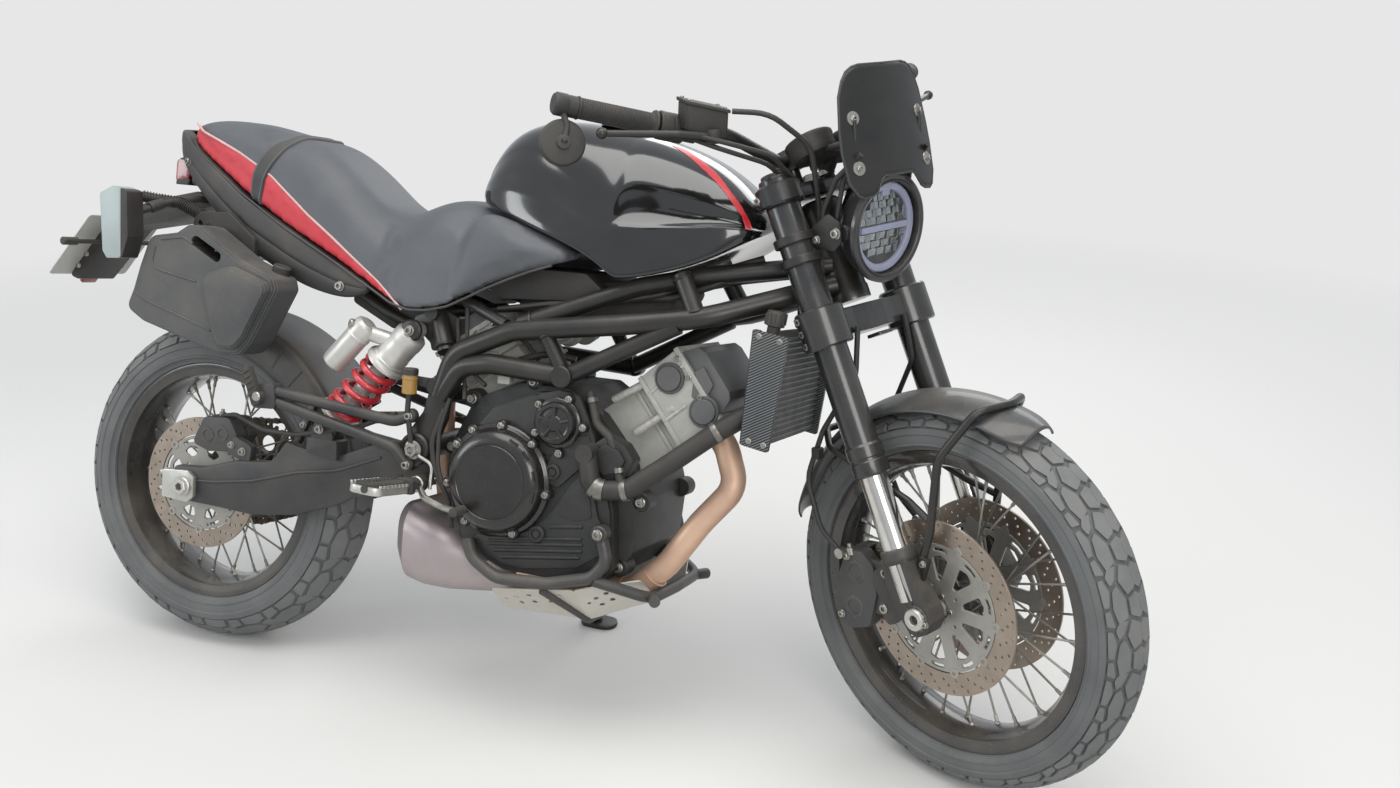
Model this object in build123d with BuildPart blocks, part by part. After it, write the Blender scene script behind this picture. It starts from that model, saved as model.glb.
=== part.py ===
from build123d import *
import os
from math import acos, asin, atan2, cos, degrees, hypot, pi, radians, sin, sqrt

os.makedirs("parts", exist_ok=True)

# The motorcycle is drawn upright, X forward, Y to the rider's left, Z up, with the origin
# under the rear axle at floor level. It is turned and leaned on its side stand at the end.
# Sizes are in millimetres and angles in degrees.

# Wheels and tyres
wheelbase = 1488
front_tyre = {"r": 329, "half": 55}
rear_tyre = {"r": 321, "half": 75}
tyre_wall = 9
seat_gap = 0.2
front_rim = {"seat_r": 241, "flange_r": 257, "half": 43, "bed_r": 226}
rear_rim = {"seat_r": 216, "flange_r": 232, "half": 63, "bed_r": 200}
rim_wall = 4
spoke_r = 2.2
spokes_in_set = 9
spoke_tip_gap = 1.2
spoke_sweep = 58

# Steering
rake = 24.5
fork_trail = 27.4
leg_lead = 19.8
leg_y = 107
steer_now = 28
lean = 13.5
axle_r = 12
axle_bore_r = 8
bore_chamfer = 1.5
bore_depth = 58.5
front_axle_end = 134
rear_axle_end = 154
nut_t = 10
shaft_gap = 0.3

# Fork heights, along the steering axis from the level of the front axle
fork_low = 238
fork_top = 745
outer_r = 28
chrome_r = 23
foot_top = 106
foot_r = 27
low_clamp_from = 456
low_clamp_to = 522
top_clamp_from = 700
top_clamp_to = 735
stem_r = 18
head_r = 32
bearing_gap = 1

# Brakes
front_disc = {"r": 149, "inner_r": 112, "y": 64.5, "first_arm": 18}
rear_disc = {"r": 128, "inner_r": 95, "y": 88.25, "first_arm": 0}
disc_t = 4.5
drill_r = 3.6
pad_gap = 5

# Frame, swingarm and engine
pivot = (510, 460)
pivot_r = 12
main_tube_r = 18
thin_tube_r = 13
crank = (760, 420)
case_half = 150
beam_inner = 104
beam_outer = 130
shock_bolt_r = 6
plate_inner = 132
plate_t = 12
pivot_boss_t = 8

front_axle = Vector(wheelbase, 0, front_tyre["r"])
rear_axle = Vector(0, 0, rear_tyre["r"])
steer_up = Vector(-sin(radians(rake)), 0, cos(radians(rake)))
steer_fore = Vector(cos(radians(rake)), 0, sin(radians(rake)))
steer_origin = front_axle - steer_fore * fork_trail
fork_plane = Plane(origin=steer_origin, x_dir=steer_fore, z_dir=steer_up)


def at_fork(ahead, y, up):
    """Point given ahead of the steering axis, to the left, and up along it."""
    return steer_origin + steer_fore * ahead + Vector(0, y, 0) + steer_up * up


def fork_level(up, ahead=0, y=0):
    """Plane square to the steering axis, its x ahead and its y to the left."""
    return Plane(origin=at_fork(ahead, y, up), x_dir=steer_fore, z_dir=steer_up)


def from_right(y):
    """Sketch plane seen from the rider's right, its x forward and its y up."""
    return Plane(origin=(0, y, 0), x_dir=(1, 0, 0), z_dir=(0, -1, 0))


def tube(points, radius, bends=(), mode=Mode.ADD):
    """Adds a round bar along a filleted route to the part being built."""
    with BuildLine() as route:
        if len(points) > 2:
            FilletPolyline(*points, radius=list(bends))
        else:
            Line(*points)
    with BuildSketch(Plane(origin=route.line @ 0, z_dir=route.line % 0)) as ring:
        Circle(radius)
    sweep(ring.sketch, path=route.line, mode=mode)


def slab(outline, y_from, y_to, mode=Mode.ADD):
    """Adds a plate with a side outline, from one distance left of the middle to another."""
    low, high = min(y_from, y_to), max(y_from, y_to)
    with BuildSketch(from_right(high)) as face:
        with BuildLine():
            Polyline(*outline, close=True)
        make_face()
    extrude(face.sketch, amount=high - low, mode=mode)


def ring_side(centre, radius, angles):
    """Side view points on a circle."""
    return [(centre[0] + radius * cos(radians(a)), centre[1] + radius * sin(radians(a))) for a in angles]


def turned_about_axle(axle, profile, mode=Mode.ADD):
    """Adds or cuts a ring turned from a half section of (radius, distance left) points."""
    with BuildSketch(Plane(origin=axle, x_dir=(1, 0, 0), z_dir=(0, 0, 1))) as half:
        with BuildLine():
            Polyline(*profile, close=True)
        make_face()
    revolve(half.sketch, axis=Axis(axle, (0, 1, 0)), mode=mode)


def axle_bores(axle, mouth):
    """Cuts the blind bore and its chamfer into both ends of an axle."""
    wall = mouth - bore_chamfer
    beyond = mouth + 8
    profile = [
        (0, wall - bore_depth), (axle_bore_r, wall - bore_depth), (axle_bore_r, wall),
        (axle_bore_r + bore_chamfer, mouth), (axle_bore_r + bore_chamfer, beyond), (0, beyond),
    ]
    for side in (-1, 1):
        turned_about_axle(axle, [(r, side * y) for r, y in profile], mode=Mode.SUBTRACT)


# Where it stands: the front is turned, then the whole leans until both tyres touch the floor
steering = fork_plane.location * Location((0, 0, 0), (0, 0, -steer_now)) * fork_plane.location.inverse()


def lowest(tilt, axle, tyre):
    """Height of a tyre's lowest point in a tilted pose."""
    middle = (tilt * Location(axle)).position
    tip = (tilt * Location(axle + Vector(0, 1, 0))).position
    slope = (tip - middle).Z
    return middle.Z - (tyre["r"] - tyre["half"]) * sqrt(1 - slope**2) - tyre["half"]


def leaned(pitch):
    return Location((0, 0, 0), (0, pitch, 0)) * Location((0, 0, 0), (-lean, 0, 0))


pitch = 0
for settling in range(4):
    front_low = lowest(leaned(pitch) * steering, front_axle, front_tyre)
    rear_low = lowest(leaned(pitch), rear_axle, rear_tyre)
    pitch += degrees((front_low - rear_low) / wheelbase)
standing = Location((0, 0, -rear_low)) * leaned(pitch)


# Wheels: tyre, rim, and laced spokes with their hub
def make_tyre(axle, tyre, rim):
    tread_half = tyre["half"] * 0.93
    shoulder = tyre["r"] - tyre["half"] * 0.55
    bulge = (shoulder + rim["flange_r"]) / 2
    bead = rim["half"] - rim_wall - 1
    seat = rim["seat_r"] + seat_gap
    liner = tyre["half"] - tyre_wall
    with BuildPart() as ring:
        with BuildSketch(Plane(origin=axle, x_dir=(1, 0, 0), z_dir=(0, 0, 1))):
            with BuildLine():
                ThreePointArc((shoulder, -tread_half), (tyre["r"], 0), (shoulder, tread_half))
                ThreePointArc((shoulder, tread_half), (bulge, tyre["half"]), (rim["flange_r"], bead))
                Polyline((rim["flange_r"], bead), (seat, bead), (seat, bead - tyre_wall), (bulge, liner))
                ThreePointArc((bulge, liner), (tyre["r"] - 2 * tyre_wall, 0), (bulge, -liner))
                Polyline((bulge, -liner), (seat, tyre_wall - bead), (seat, -bead), (rim["flange_r"], -bead))
                ThreePointArc((rim["flange_r"], -bead), (bulge, -tyre["half"]), (shoulder, -tread_half))
            make_face()
        revolve(axis=Axis(axle, (0, 1, 0)))
    return ring


def make_rim(axle, rim):
    inner = rim["half"] - rim_wall
    well = inner * 0.45
    half = [
        (rim["flange_r"], inner),
        (rim["flange_r"], rim["half"]),
        (rim["seat_r"] - rim_wall, rim["half"]),
        (rim["seat_r"] - rim_wall, inner - 10),
        (rim["bed_r"], well),
    ]
    outer = [(rim["bed_r"] + rim_wall, well), (rim["seat_r"], inner - 12), (rim["seat_r"], inner)]
    profile = half + [(r, -y) for r, y in reversed(half)]
    profile += [(r, -y) for r, y in reversed(outer)] + outer
    with BuildPart() as hoop:
        turned_about_axle(axle, profile)
    return hoop


def make_lacing(axle, rim, core_r, core_half, flange_r, flange_y):
    reach = rim["bed_r"] - spoke_tip_gap
    # side of the wheel, way the spoke crosses, start angle of its set
    sets = [(-1, -1, 0), (-1, 1, 20), (1, -1, 10), (1, 1, 30)]

    def at_wheel(radius, angle, y):
        return axle + Vector(radius * cos(radians(angle)), y, radius * sin(radians(angle)))

    span = (at_wheel(reach, spoke_sweep, 8) - at_wheel(flange_r - 5, 0, flange_y)).length
    with BuildPart() as lacing:
        with BuildSketch(from_right(core_half)):
            with Locations((axle.X, axle.Z)):
                Circle(core_r)
        extrude(amount=2 * core_half)
        for y in (-flange_y, flange_y):
            with BuildSketch(from_right(y + 2.5)):
                with Locations((axle.X, axle.Z)):
                    Circle(flange_r)
            extrude(amount=5)
        for side, cross, first in sets:
            for place in range(spokes_in_set):
                angle = first + place * 360 / spokes_in_set
                foot = at_wheel(flange_r - 5, angle, side * flange_y)
                head = at_wheel(reach, angle + cross * spoke_sweep, side * 8)
                with BuildSketch(Plane(origin=foot, z_dir=head - foot)):
                    RegularPolygon(spoke_r, 6)
        extrude(amount=span)
        with BuildSketch(from_right(2 * core_half)):
            with Locations((axle.X, axle.Z)):
                Circle(axle_r + shaft_gap)
        extrude(amount=4 * core_half, mode=Mode.SUBTRACT)
    return lacing


def make_disc(axle, disc, side, hub_r, spokes):
    """Adds a floating rotor, its windowed carrier and the bobbins between them."""
    with BuildSketch(from_right(side * disc["y"] + disc_t / 2)) as rotor:
        with Locations((axle.X, axle.Z)):
            Circle(disc["r"])
            Circle(disc["inner_r"], mode=Mode.SUBTRACT)
            with PolarLocations(disc["inner_r"] - 2, spokes, start_angle=disc["first_arm"] + 180 / spokes):
                Circle(7)
            Circle(disc["inner_r"] - 6)
            Circle(disc["inner_r"] - 14, mode=Mode.SUBTRACT)
            with PolarLocations((disc["inner_r"] + hub_r) / 2 - 4, spokes, start_angle=disc["first_arm"]):
                Rectangle(disc["inner_r"] - hub_r - 8, 12)
            Circle(hub_r + 6)
            Circle(axle_r + 6, mode=Mode.SUBTRACT)
            for ring, turn in enumerate((0, 6, 12)):
                row_r = disc["inner_r"] + 9 + ring * (disc["r"] - disc["inner_r"] - 18) / 2
                with PolarLocations(row_r, 2 * spokes, start_angle=turn):
                    RegularPolygon(drill_r, 6, mode=Mode.SUBTRACT)
    extrude(rotor.sketch, amount=disc_t)


front_tyre_ring = make_tyre(front_axle, front_tyre, front_rim)
front_tyre_ring.part.label = "front_tyre"

rear_tyre_ring = make_tyre(rear_axle, rear_tyre, rear_rim)
rear_tyre_ring.part.label = "rear_tyre"

front_hoop = make_rim(front_axle, front_rim)
front_hoop.part.label = "front_rim"

rear_hoop = make_rim(rear_axle, rear_rim)
rear_hoop.part.label = "rear_rim"

front_hub = {"core_r": 24, "core_half": 62.25, "flange_r": 40, "flange_y": 32}
rear_hub = {"core_r": 30, "core_half": 86, "flange_r": 52, "flange_y": 42}

front_lacing = make_lacing(front_axle, front_rim, **front_hub)
front_lacing.part.label = "front_spokes"

rear_lacing = make_lacing(rear_axle, rear_rim, **rear_hub)
rear_lacing.part.label = "rear_spokes"

with BuildPart() as front_rotors:
    for side in (-1, 1):
        make_disc(front_axle, front_disc, side, 34, 10)
front_rotors.part.label = "front_discs"

with BuildPart() as rear_rotor:
    make_disc(rear_axle, rear_disc, -1, 40, 8)
rear_rotor.part.label = "rear_disc"

block_side = [(-52, 294), (-52, 348), (8, 352), (22, 340), (22, 302), (8, 290)]
block_t = 10
axle_half = 148
with BuildPart() as axle_set:
    tube([rear_axle + Vector(0, -axle_half, 0), rear_axle + Vector(0, axle_half, 0)], axle_r)
    for side in (-1, 1):
        slab(block_side, side * (beam_outer + seat_gap), side * (beam_outer + block_t))
        with BuildSketch(from_right(side * (beam_outer + block_t + 3) + 4)):
            with Locations((rear_axle.X, rear_axle.Z)):
                Circle(24)
        extrude(amount=8)
        tube([(0, side * (beam_outer + 9), rear_axle.Z), (0, side * rear_axle_end, rear_axle.Z)], 19)
    axle_bores(rear_axle, rear_axle_end)
axle_set.part.label = "rear_axle"

# Swingarm: two deep arched beams, a bridge and the pivot barrel
beam_side = [
    (-34, 290), (-34, 356), (30, 360), (110, 384), (190, 392), (222, 436), (246, 430), (330, 420), (430, 462),
    (pivot[0] + 24, 478), (pivot[0] + 24, 436), (430, 386), (340, 330), (250, 298), (150, 284), (60, 288),
]
with BuildPart() as swing:
    for side in (-1, 1):
        slab(beam_side, side * beam_inner, side * beam_outer)
    slab([(350, 350), (350, 400), (418, 425), (424, 385)], -beam_inner, beam_inner)
    tube([(pivot[0], -beam_outer, pivot[1]), (pivot[0], beam_outer, pivot[1])], 20)
    # fork for the foot of the shock, with its bolt
    slab([(274, 424), (276, 452), (340, 452), (342, 414)], -beam_inner, -140)
    for y in (-beam_inner, -132):
        slab([(280, 450), (290, 484), (322, 484), (334, 450)], y, y - 8)
    tube([(306, -beam_inner - 2, 471), (306, -144, 471)], shock_bolt_r)
    for spot in (pivot, (0, rear_axle.Z)):
        bolt_r = pivot_r if spot is pivot else axle_r
        ends = [(spot[0], side * (beam_outer + 1), spot[1]) for side in (-1, 1)]
        tube(ends, bolt_r + seat_gap, mode=Mode.SUBTRACT)
swing.part.label = "swingarm"

# Frame: head tube, trellis of round tubes on both sides, pivot plates, all welded
# name, radius, bend radii, points
side_tubes = [
    (
        "upper main", main_tube_r, (150, 90, 90, 60),
        [
            (1222, -24, 818), (1030, -128, 746), (893, -146, 722), (690, -146, 692), (575, -140, 640),
            (548, -138, 560),
        ],
    ),
    (
        "lower main", main_tube_r, (50, 60),
        [(552, -138, 560), (588, -140, 618), (650, -146, 630), (796, -148, 624)],
    ),
    ("diagonal", main_tube_r - 3, (), [(796, -148, 624), (990, -134, 730)]),
    ("rear strut", thin_tube_r, (), [(748, -146, 700), (796, -148, 624)]),
    ("front strut", main_tube_r - 2, (), [(1020, -128, 744), (980, -112, 814)]),
    (
        "top rail", main_tube_r - 2, (120, 120),
        [(700, -140, 702), (900, -104, 786), (1010, -86, 814), (1212, -20, 850)],
    ),
    ("seat strut", main_tube_r - 3, (), [(556, -138, 640), (520, -112, 706)]),
]
pivot_plate = [
    (538, 600), (574, 588), (568, 520), (548, 470), (546, 404), (520, 392), (490, 400), (478, 450), (492, 490),
    (520, 530),
]
head_low = low_clamp_to + bearing_gap
head_high = top_clamp_from - bearing_gap
with BuildPart() as trellis:
    with BuildSketch(fork_level(head_low)):
        Circle(head_r)
    extrude(amount=head_high - head_low)
    for name, radius, bends, points in side_tubes:
        tube(points, radius, bends)
    slab(pivot_plate, -plate_inner, -plate_inner - plate_t)
    mirror(about=Plane.XZ)
    # cross tubes tie the two sides
    for x, z, radius in ((548, 560, 15), (700, 702, 13), (520, 706, 13)):
        tube([(x, -138, z), (x, 138, z)], radius)
    for side in (-1, 1):
        boss_ends = (plate_inner, plate_inner + plate_t + pivot_boss_t)
        tube([(pivot[0], side * y, pivot[1]) for y in boss_ends], 30)
    with BuildSketch(fork_level(head_low - 1)):
        Circle(stem_r + shaft_gap)
    extrude(amount=head_high - head_low + 2, mode=Mode.SUBTRACT)
    tube([(pivot[0], -170, pivot[1]), (pivot[0], 170, pivot[1])], pivot_r + seat_gap, mode=Mode.SUBTRACT)
trellis.part.label = "main_frame"

bolt_half = plate_inner + plate_t + pivot_boss_t + seat_gap
with BuildPart() as pivot_bolt:
    tube([(pivot[0], -bolt_half - 6, pivot[1]), (pivot[0], bolt_half + 6, pivot[1])], pivot_r)
    for side in (-1, 1):
        with BuildSketch(from_right(side * (bolt_half + 7) + 7)):
            with Locations(pivot):
                RegularPolygon(17, 6)
        extrude(amount=14)
pivot_bolt.part.label = "pivot_bolt"

# Engine: crankcase, covers and two cylinders at 87 degrees
core = [
    (566, 480), (580, 350), (620, 292), (900, 286), (932, 330), (938, 420), (916, 492),
    (856, 560), (790, 600), (690, 600), (604, 560),
]
case = [
    (590, 470), (586, 380), (622, 300), (700, 268), (880, 266), (908, 300), (900, 400), (880, 470),
    (850, 540), (800, 596), (740, 590), (660, 556),
]
clutch_at = (685, 430)
pump_at = (792, 544)
alternator_at = (800, 420)
# side view places of the screw bosses on the right case
case_bosses = [(612, 322), (706, 281), (796, 279), (874, 282), (893, 330), (888, 400), (868, 462), (848, 516)]
# ribs of the lower right cover: height, rear end, front end
case_ribs = [(352, 690, 872), (334, 668, 876), (316, 662, 880), (298, 676, 880)]
left_case_half = case_half - 12
left_case = [(600, 470), (596, 360), (640, 300), (880, 300), (900, 420), (840, 540), (700, 560)]
sprocket_cover = [(604, 470), (600, 390), (660, 350), (706, 400), (700, 470), (650, 500)]
with BuildPart() as engine:
    slab(core, -112, 112)
    slab(case, -112, -case_half)
    slab(left_case, 112, left_case_half)
    for z, x_from, x_to in case_ribs:
        tube([(x_from, -case_half, z), (x_to, -case_half, z)], 5)
    with BuildSketch(from_right(-case_half)):
        with Locations((770, 462)):
            Circle(13)
        with Locations((772, 368)):
            Circle(14)
        with Locations(*case_bosses):
            Circle(8)
    extrude(amount=8)
    # oil filler with its grip ribs, level window ring and drain plug
    with BuildSketch(from_right(-case_half)):
        with Locations((842, 420)):
            Circle(17)
            with PolarLocations(16, 8):
                Circle(4)
    extrude(amount=12)
engine.part.label = "engine_case"

# steps of the round covers: side of the bike, centre, face it stands on, then (radius, height, taper) rows,
# number of screw bosses and their circle
clutch_steps = [(100, 12, 0), (92, 28, 8), (58, 3, 0), (20, 4, 0)]
pump_steps = [(44, 10, 0), (36, 12, 8), (14, 4, 0)]
alternator_steps = [(84, 26, 0), (74, 8, 30), (34, 5, 0)]


def round_cover(side, centre, face, steps, bosses, boss_circle):
    """Adds a stepped round cover, its first step carrying the screw bosses."""
    out = face
    for place, (radius, height, taper) in enumerate(steps):
        plane = Plane(origin=(0, side * out, 0), x_dir=(-side, 0, 0), z_dir=(0, side, 0))
        with BuildSketch(plane) as step:
            with Locations((-side * centre[0], centre[1])):
                Circle(radius)
                if place == 0:
                    with PolarLocations(boss_circle, bosses, start_angle=20):
                        Circle(9)
        extrude(step.sketch, amount=height, taper=taper)
        out += height


with BuildPart() as covers:
    round_cover(-1, clutch_at, case_half, clutch_steps, 6, 102)
    round_cover(-1, pump_at, case_half, pump_steps, 3, 44)
    round_cover(1, alternator_at, left_case_half, alternator_steps, 7, 84)
    # sprocket cover on the left
    slab(sprocket_cover, left_case_half, case_half + 8)
    add(engine.part, mode=Mode.SUBTRACT)
covers.part.label = "engine_covers"


def along(angle, distance, offset):
    """Side view point at a distance up a cylinder's axis and an offset forward of it."""
    up = Vector(cos(radians(angle)), sin(radians(angle)))
    across = Vector(sin(radians(angle)), -cos(radians(angle)))
    spot = Vector(*crank) + up * distance + across * offset
    return (spot.X, spot.Y)


def up_cylinder(angle, corners, y_from, y_to):
    """Adds a slab given by (distance, offset) corners on a cylinder's axis."""
    slab([along(angle, distance, offset) for distance, offset in corners], y_from, y_to)


# angle of the axis, distances up it of base, gasket, cover and top
cylinder_table = [(38, 158, 252, 338, 376), (125, 168, 252, 312, 340)]
lip = 4
with BuildPart() as cylinders:
    for angle, base, gasket, rocker, top in cylinder_table:
        up_cylinder(angle, [(base, -66), (gasket, -66), (gasket, 66), (base, 66)], -84, 84)
        up_cylinder(angle, [(gasket, -72), (rocker, -78), (rocker, 66), (gasket, 72)], -106, 100)
        up_cylinder(angle, [(rocker, -70), (top, -54), (top, 40), (rocker, 58)], -98, 92)
        # lip where the cover meets the head
        lip_side = [(rocker - lip, -77), (rocker + lip, -76), (rocker + lip, 63), (rocker - lip, 65)]
        up_cylinder(angle, lip_side, -109, 103)
    for plug_r, plug_out in ((23, 7), (17, 10)):
        with BuildSketch(from_right(-106)):
            with Locations(along(38, 320, 38), along(38, 320, -44)):
                Circle(plug_r)
        extrude(amount=plug_out)
    add(engine.part, mode=Mode.SUBTRACT)
    add(trellis.part, mode=Mode.SUBTRACT)
cylinders.part.label = "cylinders"

# Radiator with a fan and two side guards with slanting slats
radiator_side = [(1120, 548), (1126, 738), (1186, 730), (1168, 540)]
guard_inner = 142
radiator_guard_t = 10
slat_pitch = 14
slat_depth = 4
with BuildPart() as radiator:
    slab([(1122, 552), (1127, 732), (1165, 727), (1152, 546)], -guard_inner, guard_inner)
    for side in (-1, 1):
        slab(radiator_side, side * guard_inner, side * (guard_inner + radiator_guard_t))
        for z in range(560, 700, slat_pitch):
            slat = [(1128, z), (1160, z + 18), (1160, z + 25), (1128, z + 7)]
            deep = side * (guard_inner + radiator_guard_t - slat_depth)
            slab(slat, deep, deep + side * 2 * slat_depth, mode=Mode.SUBTRACT)
        tube([(1141, side * 72, 722), (1140, side * 60, 784)], 7)
    with BuildSketch(Plane(origin=(1122, 0, 640), z_dir=(-1, 0, 0))):
        Circle(84)
    extrude(amount=22)
    tube([(1150, -122, 728), (1156, -122, 770)], 15)
    add(trellis.part, mode=Mode.SUBTRACT)
radiator.part.label = "radiator"

lower_hose = [
    (858, -170, 500), (870, -170, 440), (930, -160, 446), (1000, -152, 500), (1070, -128, 560),
    (1132, -108, 604),
]
with BuildPart() as hoses:
    tube(lower_hose, 17, (24, 26, 200, 100))
    tube([(858, -152, 502), (858, -186, 502)], 16)
    tube([(836, -128, 600), (858, -140, 548), (890, -150, 530), (921, -159, 450)], 8, (25, 20))
    add(engine.part, mode=Mode.SUBTRACT)
    add(covers.part, mode=Mode.SUBTRACT)
    add(cylinders.part, mode=Mode.SUBTRACT)
    add(radiator.part, mode=Mode.SUBTRACT)
hoses.part.label = "coolant_hoses"

# Exhaust: two headers into a box under the swingarm pivot
front_header = [
    (1034, -36, 556), (1066, -52, 522), (1092, -64, 462), (1036, -72, 392), (984, -78, 312), (920, -70, 254),
    (690, -50, 244),
]
rear_header = [(540, 0, 634), (470, 30, 592), (446, 53, 520), (452, 53, 400), (470, 48, 330), (500, 40, 300)]
with BuildPart() as headers:
    tube(front_header, 22, (40, 44, 160, 90, 50))
    tube(rear_header, 19, (50, 60, 80, 50))
    add(cylinders.part, mode=Mode.SUBTRACT)
    add(engine.part, mode=Mode.SUBTRACT)
headers.part.label = "exhaust_headers"

# x, centre height, width, height and corner radius of the sections of the silencer box
box_sections = [
    (446, 300, 150, 80, 30), (486, 280, 252, 142, 46), (570, 262, 260, 114, 46), (694, 240, 130, 66, 26),
]
with BuildPart() as muffler:
    for x, z, width, height, corner in box_sections:
        with BuildSketch(Plane(origin=(x, -6, z), x_dir=(0, 1, 0), z_dir=(1, 0, 0))):
            RectangleRounded(width, height, corner)
    loft()
    tube([(470, 96, 262), (410, 118, 252)], 24)
    add(headers.part, mode=Mode.SUBTRACT)
    add(engine.part, mode=Mode.SUBTRACT)
muffler.part.label = "silencer_box"


def panel(corners, thick):
    """Adds a flat plate through its corners, thickened to the side they run round."""
    spots = [Vector(*corner) for corner in corners]
    across = spots[1] - spots[0]
    flat = Plane(origin=spots[0], x_dir=across, z_dir=across.cross(spots[2] - spots[0]))
    drawn = [flat.to_local_coords(spot) for spot in spots]
    with BuildSketch(flat) as face:
        with BuildLine():
            Polyline(*[(spot.X, spot.Y) for spot in drawn], close=True)
        make_face()
    extrude(face.sketch, amount=thick)


guard_r = 11
guard_loop = [
    (894, -168, 366), (908, -170, 322), (884, -170, 280), (800, -168, 252), (700, -168, 246), (650, -166, 282),
    (636, -160, 318),
]
with BuildPart() as guard:
    tube(guard_loop, guard_r, (24, 40, 60, 50, 40))
    tube([(886, -170, 286), (972, -112, 256), (976, 0, 256)], guard_r - 1, (50,))
    tube([(790, -167, 252), (846, -86, 192), (846, 0, 190)], 7, (20,))
    mirror(about=Plane.XZ)
    add(engine.part, mode=Mode.SUBTRACT)
    add(headers.part, mode=Mode.SUBTRACT)
guard.part.label = "guard_tubes"

# x, half width and height of the flat floor, half width and height of the raised edges
skid_sections = [(690, 86, 206, 160, 240), (846, 86, 195, 160, 262), (966, 60, 246, 112, 262)]
skid_t = 3
with BuildPart() as skid:
    for lift, mode in ((0, Mode.ADD), (skid_t, Mode.SUBTRACT)):
        for x, flat, floor_z, half, edge_z in skid_sections:
            with BuildSketch(Plane(origin=(x, 0, lift), x_dir=(0, 1, 0), z_dir=(1, 0, 0))):
                with BuildLine():
                    floor_line = [(-half, edge_z), (-flat, floor_z), (flat, floor_z), (half, edge_z)]
                    Polyline(*floor_line, (half, 300), (-half, 300), close=True)
                make_face()
        loft(ruled=True, mode=mode)
    add(guard.part, mode=Mode.SUBTRACT)
    add(headers.part, mode=Mode.SUBTRACT)
    add(muffler.part, mode=Mode.SUBTRACT)
skid.part.label = "skid_plate"

# Tank sections: x, top height, then half width and height of the ridge, the hollow below it and the low edge
tank_sections = [
    (572, 950, (50, 936), (58, 926), (60, 916)),
    (596, 1010, (74, 976), (88, 950), (98, 902)),
    (640, 1048, (90, 1000), (107, 972), (118, 887)),
    (730, 1064, (108, 986), (122, 955), (142, 862)),
    (790, 1061, (123, 957), (131, 932), (148, 842)),
    (842, 1054, (134, 937), (139, 912), (151, 813)),
    (866, 1050, (133, 944), (134, 912), (151, 800)),
    (910, 1041, (126, 953), (127, 918), (149, 801)),
    (960, 1025, (121, 945), (124, 914), (144, 814)),
    (1010, 1003, (113, 932), (117, 909), (137, 834)),
    (1050, 976, (101, 920), (107, 904), (126, 854)),
    (1085, 942, (80, 909), (86, 900), (104, 876)),
    (1102, 918, (44, 904), (50, 898), (56, 888)),
]
cap_x = 820
with BuildPart() as tank:
    for x, top, ridge, hollow, low in tank_sections:
        right = [ridge, hollow, low]
        with BuildSketch(Plane(origin=(x, 0, 0), x_dir=(0, 1, 0), z_dir=(1, 0, 0))):
            with BuildLine():
                Polyline(*right, *[(-half, z) for half, z in reversed(right)])
                ThreePointArc((-ridge[0], ridge[1]), (0, top), ridge)
            make_face()
    loft(ruled=True)
    # hollow over the airbox
    with BuildSketch(Plane.XY.offset(760)):
        with Locations((905, 0)):
            Rectangle(330, 248)
    extrude(amount=90, mode=Mode.SUBTRACT)
    # filler cap in two steps with its hinge
    for radius, top in ((52, 1064), (42, 1067)):
        with BuildSketch(Plane.XY.offset(1030)):
            with Locations((cap_x, 0)):
                Circle(radius)
        extrude(amount=top - 1030)
    slab([(cap_x - 60, 1040), (cap_x - 60, 1068), (cap_x - 30, 1070), (cap_x - 30, 1040)], -9, 9)
    add(trellis.part, mode=Mode.SUBTRACT)
tank.part.label = "fuel_tank"

# The seat's sections: x, top height, then half width and height of the piping and of the low edge
seat_sections = [
    (-94, 1012, (36, 1004), (40, 998)),
    (-40, 1028, (76, 998), (86, 956)),
    (60, 1022, (99, 964), (108, 897)),
    (140, 1006, (111, 927), (120, 855)),
    (210, 992, (121, 882), (128, 821)),
    (300, 938, (132, 824), (136, 782)),
    (350, 897, (137, 791), (140, 757)),
    (410, 870, (142, 753), (145, 731)),
    (470, 889, (148, 714), (149, 704)),
    (540, 908, (150, 724), (152, 713)),
    (606, 884, (152, 752), (154, 742)),
    (806, 838, (153, 828), (153, 818)),
]
# hollow below it for the rear frame, in side view
seat_hollow = [
    (-60, 930), (20, 900), (120, 860), (300, 800), (474, 780), (640, 840), (820, 830), (820, 600), (-60, 600),
]
hollow_half = 119


def plan_block(halves, low, high, mode=Mode.INTERSECT):
    """Keeps what lies inside a plan outline given as (x, half width) from back to front."""
    with BuildSketch(Plane.XY.offset(low)) as plan:
        with BuildLine():
            right = [(x, -half) for x, half in reversed(halves)]
            Polyline(*halves, *right, close=True)
        make_face()
    extrude(plan.sketch, amount=high - low, mode=mode)


with BuildPart() as seat:
    for x, top, piping, edge in seat_sections:
        with BuildSketch(Plane(origin=(x, 0, 0), x_dir=(0, 1, 0), z_dir=(1, 0, 0))):
            with BuildLine():
                Polyline(piping, edge, (-edge[0], edge[1]), (-piping[0], piping[1]))
                ThreePointArc((-piping[0], piping[1]), (0, top), piping)
            make_face()
    loft(ruled=True)
    slab(seat_hollow, -hollow_half, hollow_half, mode=Mode.SUBTRACT)
    add(tank.part, mode=Mode.SUBTRACT)
    add(trellis.part, mode=Mode.SUBTRACT)
seat.part.label = "seat"

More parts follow.
